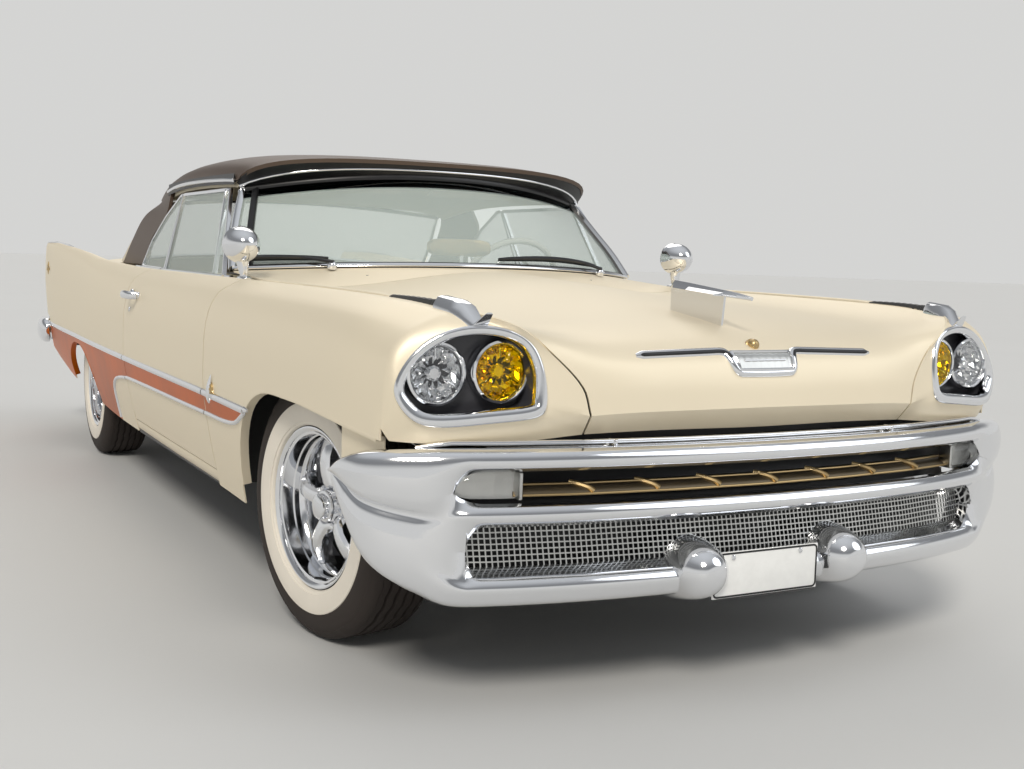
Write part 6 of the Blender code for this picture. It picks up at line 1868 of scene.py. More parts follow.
# Door handle: its middle, the grip's points as (y, z, out), its bases and its button
HANDLE_YZ = (-0.098, 0.828)
GRIP = ((-0.074, 0.002, 0.004), (-0.060, 0.003, 0.030), (-0.010, 0.004, 0.040), (0.026, 0.003, 0.036),
        (0.044, 0.002, 0.022))
HANDLE_BASES = ((-0.066, 0.013), (0.044, 0.021))
HANDLE_BUTTON = ((0, 0.012), (0.010, 0.0115), (0.013, 0.008), (0.0135, 0))
DOOR_LOCK = ((0, 0.010), (0.003, 0.0098), (0.004, 0.007), (0.0025, 0.005), (0.0025, 0))


def handle(side):
    """Push-button door handle: a plate, a grip bar and the button."""
    y, z = HANDLE_YZ
    x = side_x(y, z)
    out = Vector((side, 0, 0))
    grip = [Vector((side * (x + 0.004 + lift), y + dy, z + dz)) for dy, dz, lift in
            GRIP]
    pieces = [sweep(f"grip_{side}", smooth_line(grip, 6), out, round_section(0.015, 12, 0.6), chrome(),
                    leaf(side))]
    for dy, radius in HANDLE_BASES:
        turn = Matrix.Translation((side * (x - 0.002), y + dy, z + 0.002)) @ outward(side)
        pieces.append(lathe(f"handle_base_{side}", [(0, radius), (0.005, radius), (0.009, radius * 0.8),
                                                    (0.011, radius * 0.5), (0.0115, 0)], 24, chrome(),
                            leaf(side), turn))
    turn = Matrix.Translation((side * (x + 0.006), y + 0.044, z + 0.002)) @ outward(side)
    pieces.append(lathe(f"handle_button_{side}", HANDLE_BUTTON, 20, chrome(), leaf(side), turn))
    lock = Matrix.Translation((side * (side_x(y + 0.044, z - 0.055) - 0.001), y + 0.044,
                               z - 0.055)) @ outward(side)
    pieces.append(lathe(f"door_lock_{side}", DOOR_LOCK, 18, chrome(), leaf(side), lock))
    joined(named("door_handle", side), pieces)


# Badge on the fin's flank: its crown as (y, z), and the heights of its post
FIN_CROWN = ((2.330, 0.868), (2.360, 0.880), (2.400, 0.886), (2.440, 0.880), (2.475, 0.866))
FIN_POST_Y = 2.405
FIN_POST_ZS = (0.845, 0.870, 0.895, 0.915)


def fin_trim(side):
    """Bright strip along the fin's top edge near the tail, and the small ornament on its flank."""
    path, pieces = [], []
    for y in stations(1.75, 2.585, 0.04):
        points = section(min(y, span(0.934)))
        crest = max(points, key=lambda p: p.z)
        path.append(Vector((side * crest.x, y, crest.z + 0.001)))
    pieces.append(sweep(f"fin_strip_{side}", path, Vector((0, 0, 1)), moulding(0.012, 0.006), chrome(),
                        "body", taper=lambda t: min(1, 0.2 + t * 6)))
    crown = [Vector((side * (side_x(yy, zz) + 0.002), yy, zz)) for yy, zz in FIN_CROWN]
    pieces.append(sweep(f"fin_badge_{side}", smooth_line(crown, 6), Vector((side, 0, 0)),
                        moulding(0.012, 0.006), gold(), "body", taper=lambda t: 0.3 + 0.7 * sin(pi * t)))
    post = [Vector((side * (side_x(FIN_POST_Y, zz) + 0.002), FIN_POST_Y, zz)) for zz in FIN_POST_ZS]
    pieces.append(sweep(f"fin_badge_post_{side}", smooth_line(post, 5), Vector((side, 0, 0)),
                        moulding(0.010, 0.006), gold(), "body", taper=lambda t: 0.3 + 0.7 * sin(pi * t)))
    joined(named("fin_trim", side), pieces)


# Front of the mirror's head: along its axis, radius
MIRROR_FACE = ((-0.002, 0.0), (-0.001, 0.050), (-0.004, 0.0535), (0.000, 0.0575), (0.008, 0.0585),
               (0.014, 0.0570))
MIRROR_STEM_x = 0.826


def mirror(side):
    """Bullet-shaped mirror head on a tapered stem, with its round glass facing back."""
    x, y, z = MIRROR_HEAD
    body = leaf(side)
    turn = Matrix.Translation((side * x, y + 0.018, z)) @ Matrix.Rotation(-pi / 2, 4, "Z")
    profile = list(MIRROR_FACE)
    for k in range(1, 11):
        t = k / 10
        profile.append((0.014 + 0.086 * t, 0.0565 * (1 - t ** 2.3) ** 0.62 if t < 1 else 0.0))
    head = lathe(f"mirror_head_{side}", profile, 40, [chrome(), satin()], body, turn,
                 pick=lambda i: 1 if i == 0 else 0)
    foot_y = MIRROR_FOOT[1] - 0.012
    foot_x = MIRROR_STEM_x
    foot_z = section(foot_y)[7].z
    stem = smooth_line([Vector((side * foot_x, foot_y, foot_z - 0.004)),
                        Vector((side * (foot_x + 0.001), foot_y + 0.002, foot_z + 0.020)),
                        Vector((side * (x - 0.002), y - 0.006, z - 0.052)),
                        Vector((side * x, y - 0.012, z - 0.020))], 6)
    arm = sweep(f"mirror_stem_{side}", stem, Vector((0, -1, 0)), round_section(0.015, 14), chrome(), body,
                taper=lambda t: 1.5 - 0.8 * min(1, t * 8) if t < 0.125 else 0.70 + 1.05 * (t - 0.125) / 0.875)
    base = sweep(f"mirror_base_{side}", [Vector((side * foot_x, foot_y - 0.040, foot_z - 0.001)),
                                         Vector((side * foot_x, foot_y - 0.020, foot_z + 0.003)),
                                         Vector((side * foot_x, foot_y + 0.020, foot_z + 0.003)),
                                         Vector((side * foot_x, foot_y + 0.040, foot_z - 0.001))],
                 Vector((0, 0, 1)), moulding(0.036, 0.008, -0.004), chrome(), body,
                 taper=lambda t: 0.45 + 0.55 * sin(pi * (0.15 + 0.7 * t)))
    whole = joined(named("mirror_bullet", side), [head, arm, base])
    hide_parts(named("mirror", side))


# Glass with its frames


# Sections of the windshield's frame: out of the glass, across it
HEADER_SECTION = ((-0.006, -0.011), (0.006, -0.010), (0.009, -0.004), (0.009, 0.004), (0.006, 0.010),
                  (-0.006, 0.011))
FOOT_SECTION = ((-0.007, -0.007), (0.006, -0.006), (0.008, 0), (0.006, 0.006), (-0.007, 0.007))
POST_SECTION = ((-0.010, -0.012), (0.006, -0.014), (0.012, -0.006), (0.012, 0.006), (0.006, 0.016),
                (-0.010, 0.016))
POST_GASKET_SECTION = ((-0.008, -0.013), (0.004, -0.012), (0.005, 0.010), (-0.008, 0.012))
FOOT_GASKET_SECTION = ((-0.010, -0.014), (0.003, -0.012), (0.003, 0.004), (-0.010, 0.006))


def windshield():
    """Wraparound glass with a shade band, its rubbers and trims, and the face under the roof's lip."""
    rows = dense_window(WINDSHIELD_shares, 18, 6)
    band = surface("windshield_band", [rows[:3]], shade_band(), "body", thickness=0.005, centre=(0, 0, 0.93))
    glass = surface("windshield_glass", [rows[2:]], window_glass(), "body", thickness=0.005,
                    centre=(0, 0, 0.93))
    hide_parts("windshield")
    flat = HEADER_SECTION
    thin = FOOT_SECTION
    pieces = []
    top = rows[0]
    out_top = [Vector((p.x * 0.5, -0.9, 0.35)) for p in top]
    rubber_edge = sweep("header_rubber", top, out_top, flat, black_trim(), "body")
    foot = rows[-1]
    pieces.append(sweep("glass_foot_trim", foot, [Vector((p.x * 0.4, -0.7, 0.6)) for p in foot], thin,
                        chrome(), "body"))
    for side in (1, -1):
        column = -1 if side > 0 else 0
        line = [row[column] for row in rows]
        pieces.append(sweep(f"post_trim_{side}", line, Vector((side * 0.75, -0.66, 0.1)),
                            POST_SECTION, chrome(), "body"))
        inner = [row[column - 1 if side > 0 else 1] for row in rows]
        sweep(f"post_gasket_{side}", inner, Vector((side * 0.75, -0.66, 0.1)), POST_GASKET_SECTION,
                      black_trim(), "body")
    joined("windshield_frame", pieces)
    # Dark face between the roof's lip and the glass, with a bright strip along it
    lip = roof_rows()[0]
    face_rows = [[], [], [], []]
    count = len(lip)
    for k, start in enumerate(lip):
        at = k / (count - 1) * (len(top) - 1)
        low = int(min(at, len(top) - 2))
        end = top[low].lerp(top[low + 1], at - low)
        first = start + Vector((0, 0.010, -0.010))
        for row, share in zip(face_rows, (0.0, 0.35, 0.7, 1.0)):
            row.append(first.lerp(end + Vector((0, 0.002, 0.004)), share))
    face = surface("header_face", [face_rows], black_trim(), "body", thickness=0.004, centre=(0, 0, 1.0))
    middle = [a.lerp(b, 0.5) + Vector((0, -0.002, 0)) for a, b in zip(face_rows[0], face_rows[-1])]
    sweep("header_strip", middle, [Vector((p.x * 0.4, -0.9, -0.2)) for p in middle],
                  moulding(0.012, 0.007), chrome(), "body")
    gasket = sweep("windshield_gasket", foot, [Vector((p.x * 0.4, -0.7, 0.6)) for p in foot],
                   FOOT_GASKET_SECTION, black_trim(), "body")


REAR_FRAME_SECTION = ((-0.007, -0.008), (0.006, -0.007), (0.009, 0), (0.006, 0.007), (-0.007, 0.008))


def rear_window():
    """Rear glass with its bright frame."""
    rows = dense_window(REAR_WINDOW_shares, 18, 6)
    glass = surface("rear_glass", [rows], window_glass(), "body", thickness=0.005, centre=(0, 0, 0.93))
    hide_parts("rear_window")
    thin = REAR_FRAME_SECTION
    pieces = [sweep("rear_header_trim", rows[0], [Vector((p.x * 0.5, 0.8, 0.5)) for p in rows[0]], thin,
                    chrome(), "body"), sweep("rear_foot_trim", rows[-1],
                                             [Vector((p.x * 0.4, 0.6, 0.7)) for p in rows[-1]], thin,
                                             chrome(), "body")]
    for side in (1, -1):
        line = [outer(row, side) for row in rows]
        pieces.append(sweep(f"rear_post_trim_{side}", line, Vector((side * 0.8, 0.6, 0.2)), thin, chrome(),
                            "body"))
    joined("rear_window_frame", pieces)


def pane_points(shares, side):
    found = []
    for y, z, x in shares:
        corner = place(side * x, y, z)
        if not z:
            corner.z = side_points(y)[0][1] + PANE_SEAT
        found.append(corner)
    return found


# Sections of the side glass's frame, of its vent post and of the drip moulding
PANE_SECTION = ((-0.006, -0.007), (0.006, -0.006), (0.008, 0), (0.006, 0.006), (-0.006, 0.007))
VENT_SECTION = ((-0.007, -0.008), (0.007, -0.007), (0.009, 0), (0.007, 0.007), (-0.007, 0.008))
DRIP_SECTION = ((-0.006, -0.006), (0.007, -0.007), (0.011, 0.0), (0.009, 0.005), (-0.006, 0.006))


def side_glass(side):
    """Door and quarter panes with their bright frames and the vent window's post."""
    door_points = pane_points(DOOR_GLASS_shares, side)
    body = leaf(side)

    def pane(name, corners, owner, node_name):
        bm = bmesh.new()
        middle = sum(corners, Vector()) / len(corners)
        count = len(corners)
        rings = [[middle.lerp(corners[k].lerp(corners[(k + 1) % count], j / 6), share)
                  + Vector((side * 0.006 * (1 - share ** 2), 0, 0)) for k in range(count)
                  for j in range(6)] for share in (0.02, 0.35, 0.7, 1.0)]
        grid(bm, rings, closed=True)
        bmesh.ops.remove_doubles(bm, verts=bm.verts, dist=0.0001)
        bmesh.ops.recalc_face_normals(bm, faces=bm.faces)
        obj = to_object(bm, name, window_glass(), owner)
        solid = obj.modifiers.new("thickness", "SOLIDIFY")
        solid.thickness = 0.005
        solid.offset = 0
        settle(obj)
        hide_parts(node_name)
        return obj
    pane(named("door_pane", side), door_points, body, named("door_glass", side))
    quarter_points = pane_points(QUARTER_GLASS_shares, side)
    pane(named("quarter_pane", side), quarter_points, "body", named("quarter_glass", side))
    out = Vector((side, 0, 0.28))
    frame_section = PANE_SECTION
    a, b, c, d = door_points
    pieces = [sweep(f"door_frame_{side}", [b.lerp(c, k / 6) for k in range(7)]
                    + [c.lerp(d, k / 16) for k in range(17)] + [d.lerp(a, k / 8) for k in range(1, 9)], out,
                    frame_section, chrome(), body)]
    foot, head = Vector((side * 0.800, -0.660, 0.927)), Vector((side * 0.7195, -0.520, 1.2235))
    pieces.append(sweep(f"vent_post_{side}", [foot.lerp(head, k / 6) for k in range(7)], out, VENT_SECTION,
                        chrome(), body))
    sill = [Vector((side * (section(y)[0].x + 0.006), y, section(y)[0].z + 0.001))
            for y in stations(-0.88, 0.047)]
    pieces.append(sweep(f"belt_strip_{side}", sill, Vector((0, 0, 1)), moulding(0.014, 0.005), chrome(),
                        body))
    joined(named("door_glass_frame", side), pieces)
    loop = []
    for p, q in zip(quarter_points, quarter_points[1:] + quarter_points[:1]):
        loop += [p.lerp(q, k / 5) for k in range(5)]
    pieces = [sweep(f"quarter_frame_{side}", loop, out, frame_section, chrome(), "body", closed=True)]
    sill = [Vector((side * (section(y)[0].x + 0.006), y, section(y)[0].z + 0.001))
            for y in stations(0.060, 0.56)]
    pieces.append(sweep(f"quarter_belt_{side}", sill, Vector((0, 0, 1)), moulding(0.014, 0.005), chrome(),
                        "body"))
    joined(named("quarter_frame", side), pieces)
    # Dark closing strip between the roof's edge and the panes
    edge_line = [outer(row, side) for row in roof_rows()][1:-9]
    upper = [p + Vector((side * -0.004, 0, -0.004)) for p in edge_line]
    closing = [upper, [p.lerp(Vector((side * 0.716, p.y, 1.300)), 0.6) for p in upper],
               [Vector((side * 0.712, p.y, min(p.z - 0.012, 1.302))) for p in upper]]
    surface(named("side_header", side), [closing], black_trim(), "body", thickness=0.003,
                    centre=(0, 0, 1.1))
    # Drip moulding along the roof's edge, down the front post and the rear pillar
    rows = roof_rows()
    column = -1 if side > 0 else 0
    edge = [row[column] for row in rows][1:-9]
    drip = sweep(named("drip_moulding", side), [p + Vector((side * 0.004, 0, -0.002)) for p in edge],
                 Vector((side, 0, 0.3)), DRIP_SECTION, chrome(), "body")


WIPER_x = 0.519
WIPER_REACH = 0.500


# Wiper: its pivot's profile and its blade's section
WIPER_PIVOT = ((-0.010, 0.016), (0.004, 0.016), (0.012, 0.010), (0.016, 0.0))
BLADE_SECTION = ((-0.014, -0.002), (-0.004, -0.0035), (0.000, -0.007), (0.006, -0.006), (0.006, 0.006),
                 (0.000, 0.007), (-0.004, 0.0035), (-0.014, 0.002))


def wipers():
    """Two dark wipers that lie along the foot of the windshield."""
    foot = dense_window(WINDSHIELD_shares, 18, 6)[-2]
    out = Vector((0, -0.7, 0.7))
    for side in (1, -1):
        pivot = Vector((side * WIPER_x, -1.067, 0.972))
        cap = lathe(f"wiper_pivot_{side}", WIPER_PIVOT, 20, chrome(), "body",
                    aim(pivot, pivot + Vector((0, -0.35, 1))))
        reach = [pivot.x + (0.03 - WIPER_REACH) * k / 13 for k in range(14)]
        line = [on_row(foot, x) + out * (0.016 + 0.014 * sin(pi * k / 13)) for k, x in enumerate(reach)]
        arm = sweep(f"wiper_arm_{side}", smooth_line([pivot + out * 0.016] + line[2:9], 3), out,
                    round_section(0.0055, 8, 0.7), black_trim(), "body", taper=lambda t: 1.3 - 0.6 * t)
        blade = sweep(f"wiper_blade_{side}", line, out, BLADE_SECTION,
                      black_trim(), "body", taper=lambda t: 0.55 + 0.45 * sin(pi * t) ** 0.5)
        joined(named("wiper", side), [cap, arm, blade])


# Wheels and tyres


# Stations of a spoke: radius, half width, and its back and front along the axle
SPOKE_ROWS = ((0.046, 0.026, 0.006, 0.044), (0.070, 0.0235, 0.012, 0.055), (0.100, 0.0225, 0.014, 0.060),
              (0.130, 0.024, 0.010, 0.058), (0.155, 0.027, 0.000, 0.050), (0.176, 0.032, -0.014, 0.038),
              (0.190, 0.040, -0.024, 0.022))


def spoke(turn, material_of, name, body, matrix):
    """One tapered spoke with a raised back, from the hub to the rim."""
    rings = []
    for radius, half, low, up in SPOKE_ROWS:
        keys = [(low, -half), (up - 0.012, -half * 0.94), (up - 0.003, -half * 0.66), (up, -half * 0.30),
                (up, half * 0.30), (up - 0.003, half * 0.66), (up - 0.012, half * 0.94), (low, half)]
        rings.append([turn @ Vector((x, y, radius)) for x, y in keys])
    bm = bmesh.new()
    made = grid(bm, rings, closed=True)
    bm.faces.new(made[0])
    bm.faces.new(made[-1])
    bmesh.ops.recalc_face_normals(bm, faces=bm.faces)
    bmesh.ops.subdivide_edges(bm, edges=[e for e in bm.edges
                                         if abs(e.verts[0].co.length - e.verts[1].co.length) > 0.01],
                              cuts=2, smooth=0.6)
    bmesh.ops.transform(bm, matrix=matrix, verts=bm.verts)
    return to_object(bm, name, material_of, body, 32)


# Wheel nut and hub: along the axle, radius
NUT = ((-0.02, 0.011), (0.016, 0.011), (0.022, 0.0085), (0.026, 0.004), (0.027, 0.0))
NUT_PLACE = (0.020, 0, 0.056)


def wheel(side, end, body, matrix):
    """Five-spoke bright wheel: stepped rim, spokes, hub with its nuts, and a long bullet cap."""
    half, bead = RIM_HALF, RIM_RADIUS
    rim = [(half - 0.001, bead - 0.006), (half + 0.0005, bead - 0.002), (half, bead + 0.001),
           (half - 0.005, bead + 0.001), (half - 0.009, bead - 0.001), (half - 0.009, bead - 0.012),
           (half - 0.012, RIM_BARREL + 0.000), (-half + 0.012, RIM_BARREL + 0.000),
           (-half + 0.009, bead - 0.012), (-half + 0.009, bead - 0.001), (-half, bead),
           (-half, bead - 0.008), (-half + 0.030, RIM_BARREL - 0.012), (-0.030, RIM_BARREL - 0.022),
           (-0.012, RIM_BARREL - 0.018), (0.014, RIM_BARREL - 0.016), (0.030, RIM_BARREL - 0.009),
           (0.034, RIM_BARREL - 0.005), (0.048, RIM_BARREL - 0.004), (0.052, RIM_BARREL + 0.001),
           (0.068, RIM_BARREL + 0.002), (0.073, RIM_BARREL + 0.006), (half - 0.006, RIM_BARREL + 0.008)]
    pieces = [lathe("rim", rim, 96, chrome(), body, matrix, closed=True, angle=26)]
    for k in range(SPOKES):
        turn = Matrix.Rotation(2 * pi * k / SPOKES, 4, "X")
        pieces.append(spoke(turn, chrome(), f"spoke_{k}", body, matrix))
        nut = turn @ Matrix.Rotation(pi / SPOKES, 4, "X") @ Matrix.Translation(NUT_PLACE)
        pieces.append(lathe(f"nut_{k}", NUT, 6, chrome(), body, matrix @ nut, angle=20))
    hub = [(-0.030, 0.0), (-0.030, 0.100), (-0.022, 0.100), (-0.018, 0.074), (0.012, 0.074), (0.020, 0.066),
           (0.030, 0.0485), (0.040, 0.0435), (0.052, 0.041), (0.056, 0.0425), (0.060, 0.041),
           (0.062, 0.0345), (0.074, 0.0335), (0.079, 0.031), (0.083, 0.024), (0.084, 0.0)]
    pieces.append(lathe("hub", hub, 40, chrome(), body, matrix, angle=30))
    whole = joined(named(f"spoked_wheel_{end}", side), pieces)
    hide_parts(named(f"wheel_{end}", side))
    valve = sweep(named(f"valve_{end}", side), [matrix @ Vector((0.066, 0.0, -0.191)),
                                                matrix @ Vector((0.080, 0.0, -0.187)),
                                                matrix @ Vector((0.098, 0.0, -0.183))],
                  matrix.to_3x3() @ Vector((0, 1, 0)), round_section(0.0034, 8), black_trim(), body)


# Tread: middles of its ribs, steps round the tyre, how far it zigzags, and the white band's rows
TREAD_MIDDLES = (0.056, 0.028, 0.0, -0.028, -0.056)
TREAD_FALL = 0.045
ZIGZAG = 0.0016
SHOULDER_CUT = 0.0035
TYRE_STEPS = 132
WHITE_BAND = (2, 10)


def tyre(side, end, body, matrix):
    """Tyre with a wide white band on its outer wall and a zigzag ribbed tread."""
    radius, bead = TYRE_RADIUS, RIM_RADIUS
    outer_wall = [(0.0855, bead - 0.010), (0.0860, bead + 0.002), (0.0925, bead + 0.0035),
                  (0.0990, bead + 0.007), (0.1015, bead + 0.0125), (0.1040, bead + 0.0130), (0.1062, 0.240),
                  (0.1072, 0.255), (0.1072, 0.268), (0.1062, 0.2765), (0.1040, 0.2780), (0.1050, 0.290),
                  (0.1030, 0.303), (0.0990, 0.316), (0.0945, 0.3235), (0.0955, 0.3250), (0.0900, 0.334)]
    shoulder = [(0.0835, 0.3405), (0.0760, 0.3440)]
    tread = []
    for middle in TREAD_MIDDLES:
        tread += [(middle + 0.0095, radius - 0.0008 - abs(middle) * TREAD_FALL),
                  (middle - 0.0095, radius - 0.0008 - abs(middle) * TREAD_FALL),
                  (middle - 0.0110, radius - 0.0085 - abs(middle) * TREAD_FALL),
                  (middle - 0.0165, radius - 0.0085 - abs(middle) * TREAD_FALL)]
    tread = [(0.0665, 0.3450), (0.0650, 0.3370)] + tread
    rows = (outer_wall + shoulder + tread + [(-0.0760, 0.3440), (-0.0835, 0.3405)]
            + [(-x, r) for x, r in reversed(outer_wall)])
    first_tread, last_tread = len(outer_wall) + len(shoulder), len(outer_wall) + len(shoulder) + len(tread)
    steps = TYRE_STEPS
    bm = bmesh.new()
    rings = []
    for i, (x, r) in enumerate(rows):
        zig = first_tread <= i < last_tread
        ring = []
        for k in range(steps):
            shift = ZIGZAG * (1 if k % 4 in (0, 1) else -1) if zig else 0
            drop = 0
            if i in (len(outer_wall) - 1, len(outer_wall), last_tread + 1, last_tread + 2):
                drop = SHOULDER_CUT if k % 3 == 0 else 0
            angle = 2 * pi * k / steps
            ring.append(Vector((x + shift, -(r - drop) * sin(angle), (r - drop) * cos(angle))))
        rings.append(ring)
    grid(bm, rings, closed=True, pick=lambda i, j: 1 if WHITE_BAND[0] <= i < WHITE_BAND[1] else 0)
    bmesh.ops.recalc_face_normals(bm, faces=bm.faces)
    if sum(f.calc_center_median().x * f.normal.x for f in bm.faces) < 0:
        bmesh.ops.reverse_faces(bm, faces=bm.faces)
    bmesh.ops.transform(bm, matrix=matrix, verts=bm.verts)
    made = to_object(bm, named(f"band_tyre_{end}", side), [rubber(), whitewall()], body, 32)
    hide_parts(named(f"tyre_{end}", side))


# How far each wheel has rolled, in degrees
ROLLED = {"front": 8, "rear": 20}


def wheels():
    """The four wheels and tyres, the front ones turned as in the photo."""
    for side in (1, -1):
        face = outward(side)
        kingpin = Matrix.Translation((side * KINGPIN_x, FRONT_AXLE_Y,
                                      TYRE_RADIUS)) @ Matrix.Rotation(REST_STEER, 4, "Z")
        front = kingpin @ Matrix.Translation((side * (FRONT_TRACK / 2 - KINGPIN_x), 0, 0)) @ face
        rear = Matrix.Translation((side * REAR_TRACK / 2, REAR_AXLE_Y, TYRE_RADIUS)) @ face
        for end, matrix in (("front", front), ("rear", rear)):
            body = named(f"road_wheel_{end}", side)
            spin = matrix @ Matrix.Rotation(radians(ROLLED[end]), 4, "X")
            wheel(side, end, body, spin)
            tyre(side, end, body, spin)


# Seats

PAD_GRID = 0.014
PAD_CAP = 0.020


CLOTH_QUALITY = 4
CLOTH_PRESSURE = 4
CLOTH_FRAMES = 14


def swell(obj, low, up):
    """The block is blown up as cloth, no point moving further than the cap or leaving the seat's space."""
    rest = [v.co.copy() for v in obj.data.vertices]
    cloth = obj.modifiers.new("cloth", "CLOTH")
    cloth.settings.quality = CLOTH_QUALITY
    cloth.settings.use_pressure = True
    cloth.settings.uniform_pressure_force = CLOTH_PRESSURE
    cloth.settings.effector_weights.gravity = 0
    for number in range(1, CLOTH_FRAMES + 1):
        bpy.context.scene.frame_set(number)
    settle(obj, 60)
    bpy.context.scene.frame_set(1)
    for v, start in zip(obj.data.vertices, rest):
        move = v.co - start
        if move.length > PAD_CAP:
            v.co = start + move.normalized() * PAD_CAP
        v.co = Vector([min(max(v.co[k], low[k]), up[k]) for k in range(3)])


def pad(name, low, up, face, insert, channels):
    """A stuffed seat pad in cream, with a dark sewn and channelled insert on the side that face points to."""
    low, up, face = Vector(low), Vector(up), Vector(face)
    inside = Vector((1, 1, 1)) * PAD_CAP * 0.6
    obj = soft_block(name, low + inside, up - inside, 0.030, [fabric(), dark_fabric()], "body", 4)
    remesh = obj.modifiers.new("remesh", "REMESH")
    remesh.mode = "VOXEL"
    remesh.voxel_size = PAD_GRID
    settle(obj, 60)
    swell(obj, low, up)
    finer = obj.modifiers.new("finer", "SUBSURF")
    finer.levels = finer.render_levels = 1
    settle(obj, 60)
    mesh = obj.data
    normals = [v.normal.copy() for v in mesh.vertices]
    (x0, x1), (d0, d1) = insert
    across_axis = 2 if abs(face.y) > abs(face.z) else 1
    for v, n in zip(mesh.vertices, normals):
        if n.dot(face) < 0.35:
            continue
        x, d = v.co.x, v.co[across_axis]
        edge = min(abs(abs(x) - x1) if d0 - 0.01 < d < d1 + 0.01 else 1,
                   abs(abs(x) - x0) if x0 and d0 - 0.01 < d < d1 + 0.01 else 1,
                   min(abs(d - d0), abs(d - d1)) if x0 - 0.01 < abs(x) < x1 + 0.01 else 1)
        sink = 0.008 * max(0, 1 - edge / 0.012)
        if x0 < abs(x) < x1 and d0 < d < d1:
            pitch = (x1 - x0) / channels
            phase = ((abs(x) - x0) / pitch) % 1
            sink = max(sink, 0.009 * (1 - sin(pi * phase) ** 0.6))
        v.co -= face * sink
    for polygon in mesh.polygons:
        c, n = polygon.center, polygon.normal
        inner = x0 < abs(c.x) < x1 and d0 < c[across_axis] < d1 and n.dot(face) > 0.2
        polygon.material_index = 1 if inner else 0
    mesh.materials[0], mesh.materials[1] = fabric(), dark_fabric()
    mesh.shade_smooth()
    return obj


def piping(name, obj, path, face):
    """A cord sewn over the pad's seam."""
    face = Vector(face)
    bpy.context.view_layer.update()
    found = []
    for p in path:
        hit, place_at, _, _ = obj.ray_cast(Vector(p) + face * 0.5, -face)
        if hit:
            found.append(place_at + face * 0.0015)
    made = sweep(name, found, face, round_section(0.0042, 8), fabric(), "body")


# Bright end trim of the front bench as (y, z), its x, and the top of the floor under the benches
END_TRIM = ((0.03, 0.60), (0.045, 0.55), (0.02, 0.47), (-0.12, 0.455), (-0.36, 0.455), (-0.43, 0.47))
END_TRIM_X = 0.667
CARPET_TOP = 0.2982


def seats():
    """Two padded benches on their bases."""
    up = Vector((0, 0, 1))
    (x0, y0, z0), (x1, y1, z1) = FRONT_SEAT
    cushion = pad("front_seat_cushion", (x0, y0, z0), (x1, -0.006, z1 + 0.010), up,
                  ((0.055, 0.600), (y0 + 0.075, -0.075)), 11)
    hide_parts("front_seat")
    (x0, y0, z0), (x1, y1, z1) = FRONT_SEAT_BACK
    back = pad("front_seat_back", (x0, y0, z0), (x1, y1, z1), (0, -1, 0),
               ((0.055, 0.600), (z0 + 0.11, z1 - 0.10)), 11)
    for side in (1, -1):
        piping(named("front_back_piping", side), back,
               [(side * x, 0, z1 - 0.10) for x in even(0.06, 0.54, 24)], (0, -1, 0))
    plinths = [soft_block("seat_plinth", (-0.60, -0.42, CARPET_TOP), (0.60, 0.10, 0.428), 0.012, carpet(),
                          "body", 2)]
    for side in (1, -1):
        for x in (0.20, 0.56):
            plinths.append(soft_block("seat_rail", (side * x - 0.014, -0.44, CARPET_TOP),
                                      (side * x + 0.014, 0.14, 0.314), 0.003, steel(), "body", 2))
    joined("front_seat_base", plinths)
    # Bright end trim on each end of the front bench
    for side in (1, -1):
        line = [Vector((side * END_TRIM_X, y, z)) for y, z in END_TRIM]
        trim = sweep(named("seat_end_trim", side), smooth_line(line, 5), Vector((side, 0, 0)),
                     moulding(0.016, 0.004), chrome(), "body")
    (x0, y0, z0), (x1, y1, z1) = REAR_SEAT
    (bx0, by0, bz0), (bx1, by1, bz1) = REAR_SEAT_BACK
    cushion = pad("rear_seat_cushion", (x0, y0, z0), (x1, by0 - 0.004, z1 + 0.012), up,
                  ((0.05, 0.52), (y0 + 0.06, by0 - 0.06)), 9)
    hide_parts("rear_seat")
    pad("rear_seat_back", (bx0, by0, bz0), (bx1, by1, bz1), (0, -1, 0),
        ((0.05, 0.52), (bz0 + 0.10, bz1 - 0.07)), 9)
    base = soft_block("rear_seat_base", (x0 + 0.02, y0 + 0.03, CARPET_TOP),
                      (x1 - 0.02, by0 - 0.02, z0 + 0.002), 0.01, carpet(), "body", 2)


# Dashboard, steering wheel and door trim


def dial(name, place_at, radius, way, marks, needle):
    """A round instrument: bright bezel, dark face with raised marks, and a needle."""
    turn = aim(place_at, Vector(place_at) + Vector(way))
    pieces = [lathe(name, [(-0.012, radius), (0.006, radius), (0.010, radius * 0.95),
                           (0.009, radius * 0.88), (0.001, radius * 0.84)], 40, chrome(), "body", turn),
              lathe(name + "_face", [(0.001, radius * 0.86), (0.0015, radius * 0.5), (0.0015, 0.0)], 40,
                    black_trim(), "body", turn),]
    for k in range(marks):
        angle = pi * (0.75 + 1.5 * k / (marks - 1))
        spot = turn @ Matrix.Rotation(angle, 4, "X")
        pieces.append(soft_block(f"{name}_mark_{k}", (0, -0.0012, 0), (0.001, 0.0012, radius * 0.12),
                                 0.0003, white_enamel(), "body", 1))
        pieces[-1].data.transform(spot @ Matrix.Translation((0.002, 0, radius * 0.68)))
    hand = soft_block(f"{name}_needle", (0, -0.001, -radius * 0.1), (0.001, 0.001, radius * 0.62), 0.0003,
                      lens_red(), "body", 1)
    hand.data.transform(turn @ Matrix.Rotation(pi * needle, 4, "X") @ Matrix.Translation((0.0035, 0, 0)))
    return pieces + [hand]


KNOB_RADIUS = 0.011
# A knob: along its axis, and share of its radius
KNOB_shares = ((-0.010, 0.5), (0.004, 0.5), (0.005, 1), (0.014, 0.92), (0.017, 0.6), (0.018, 0))


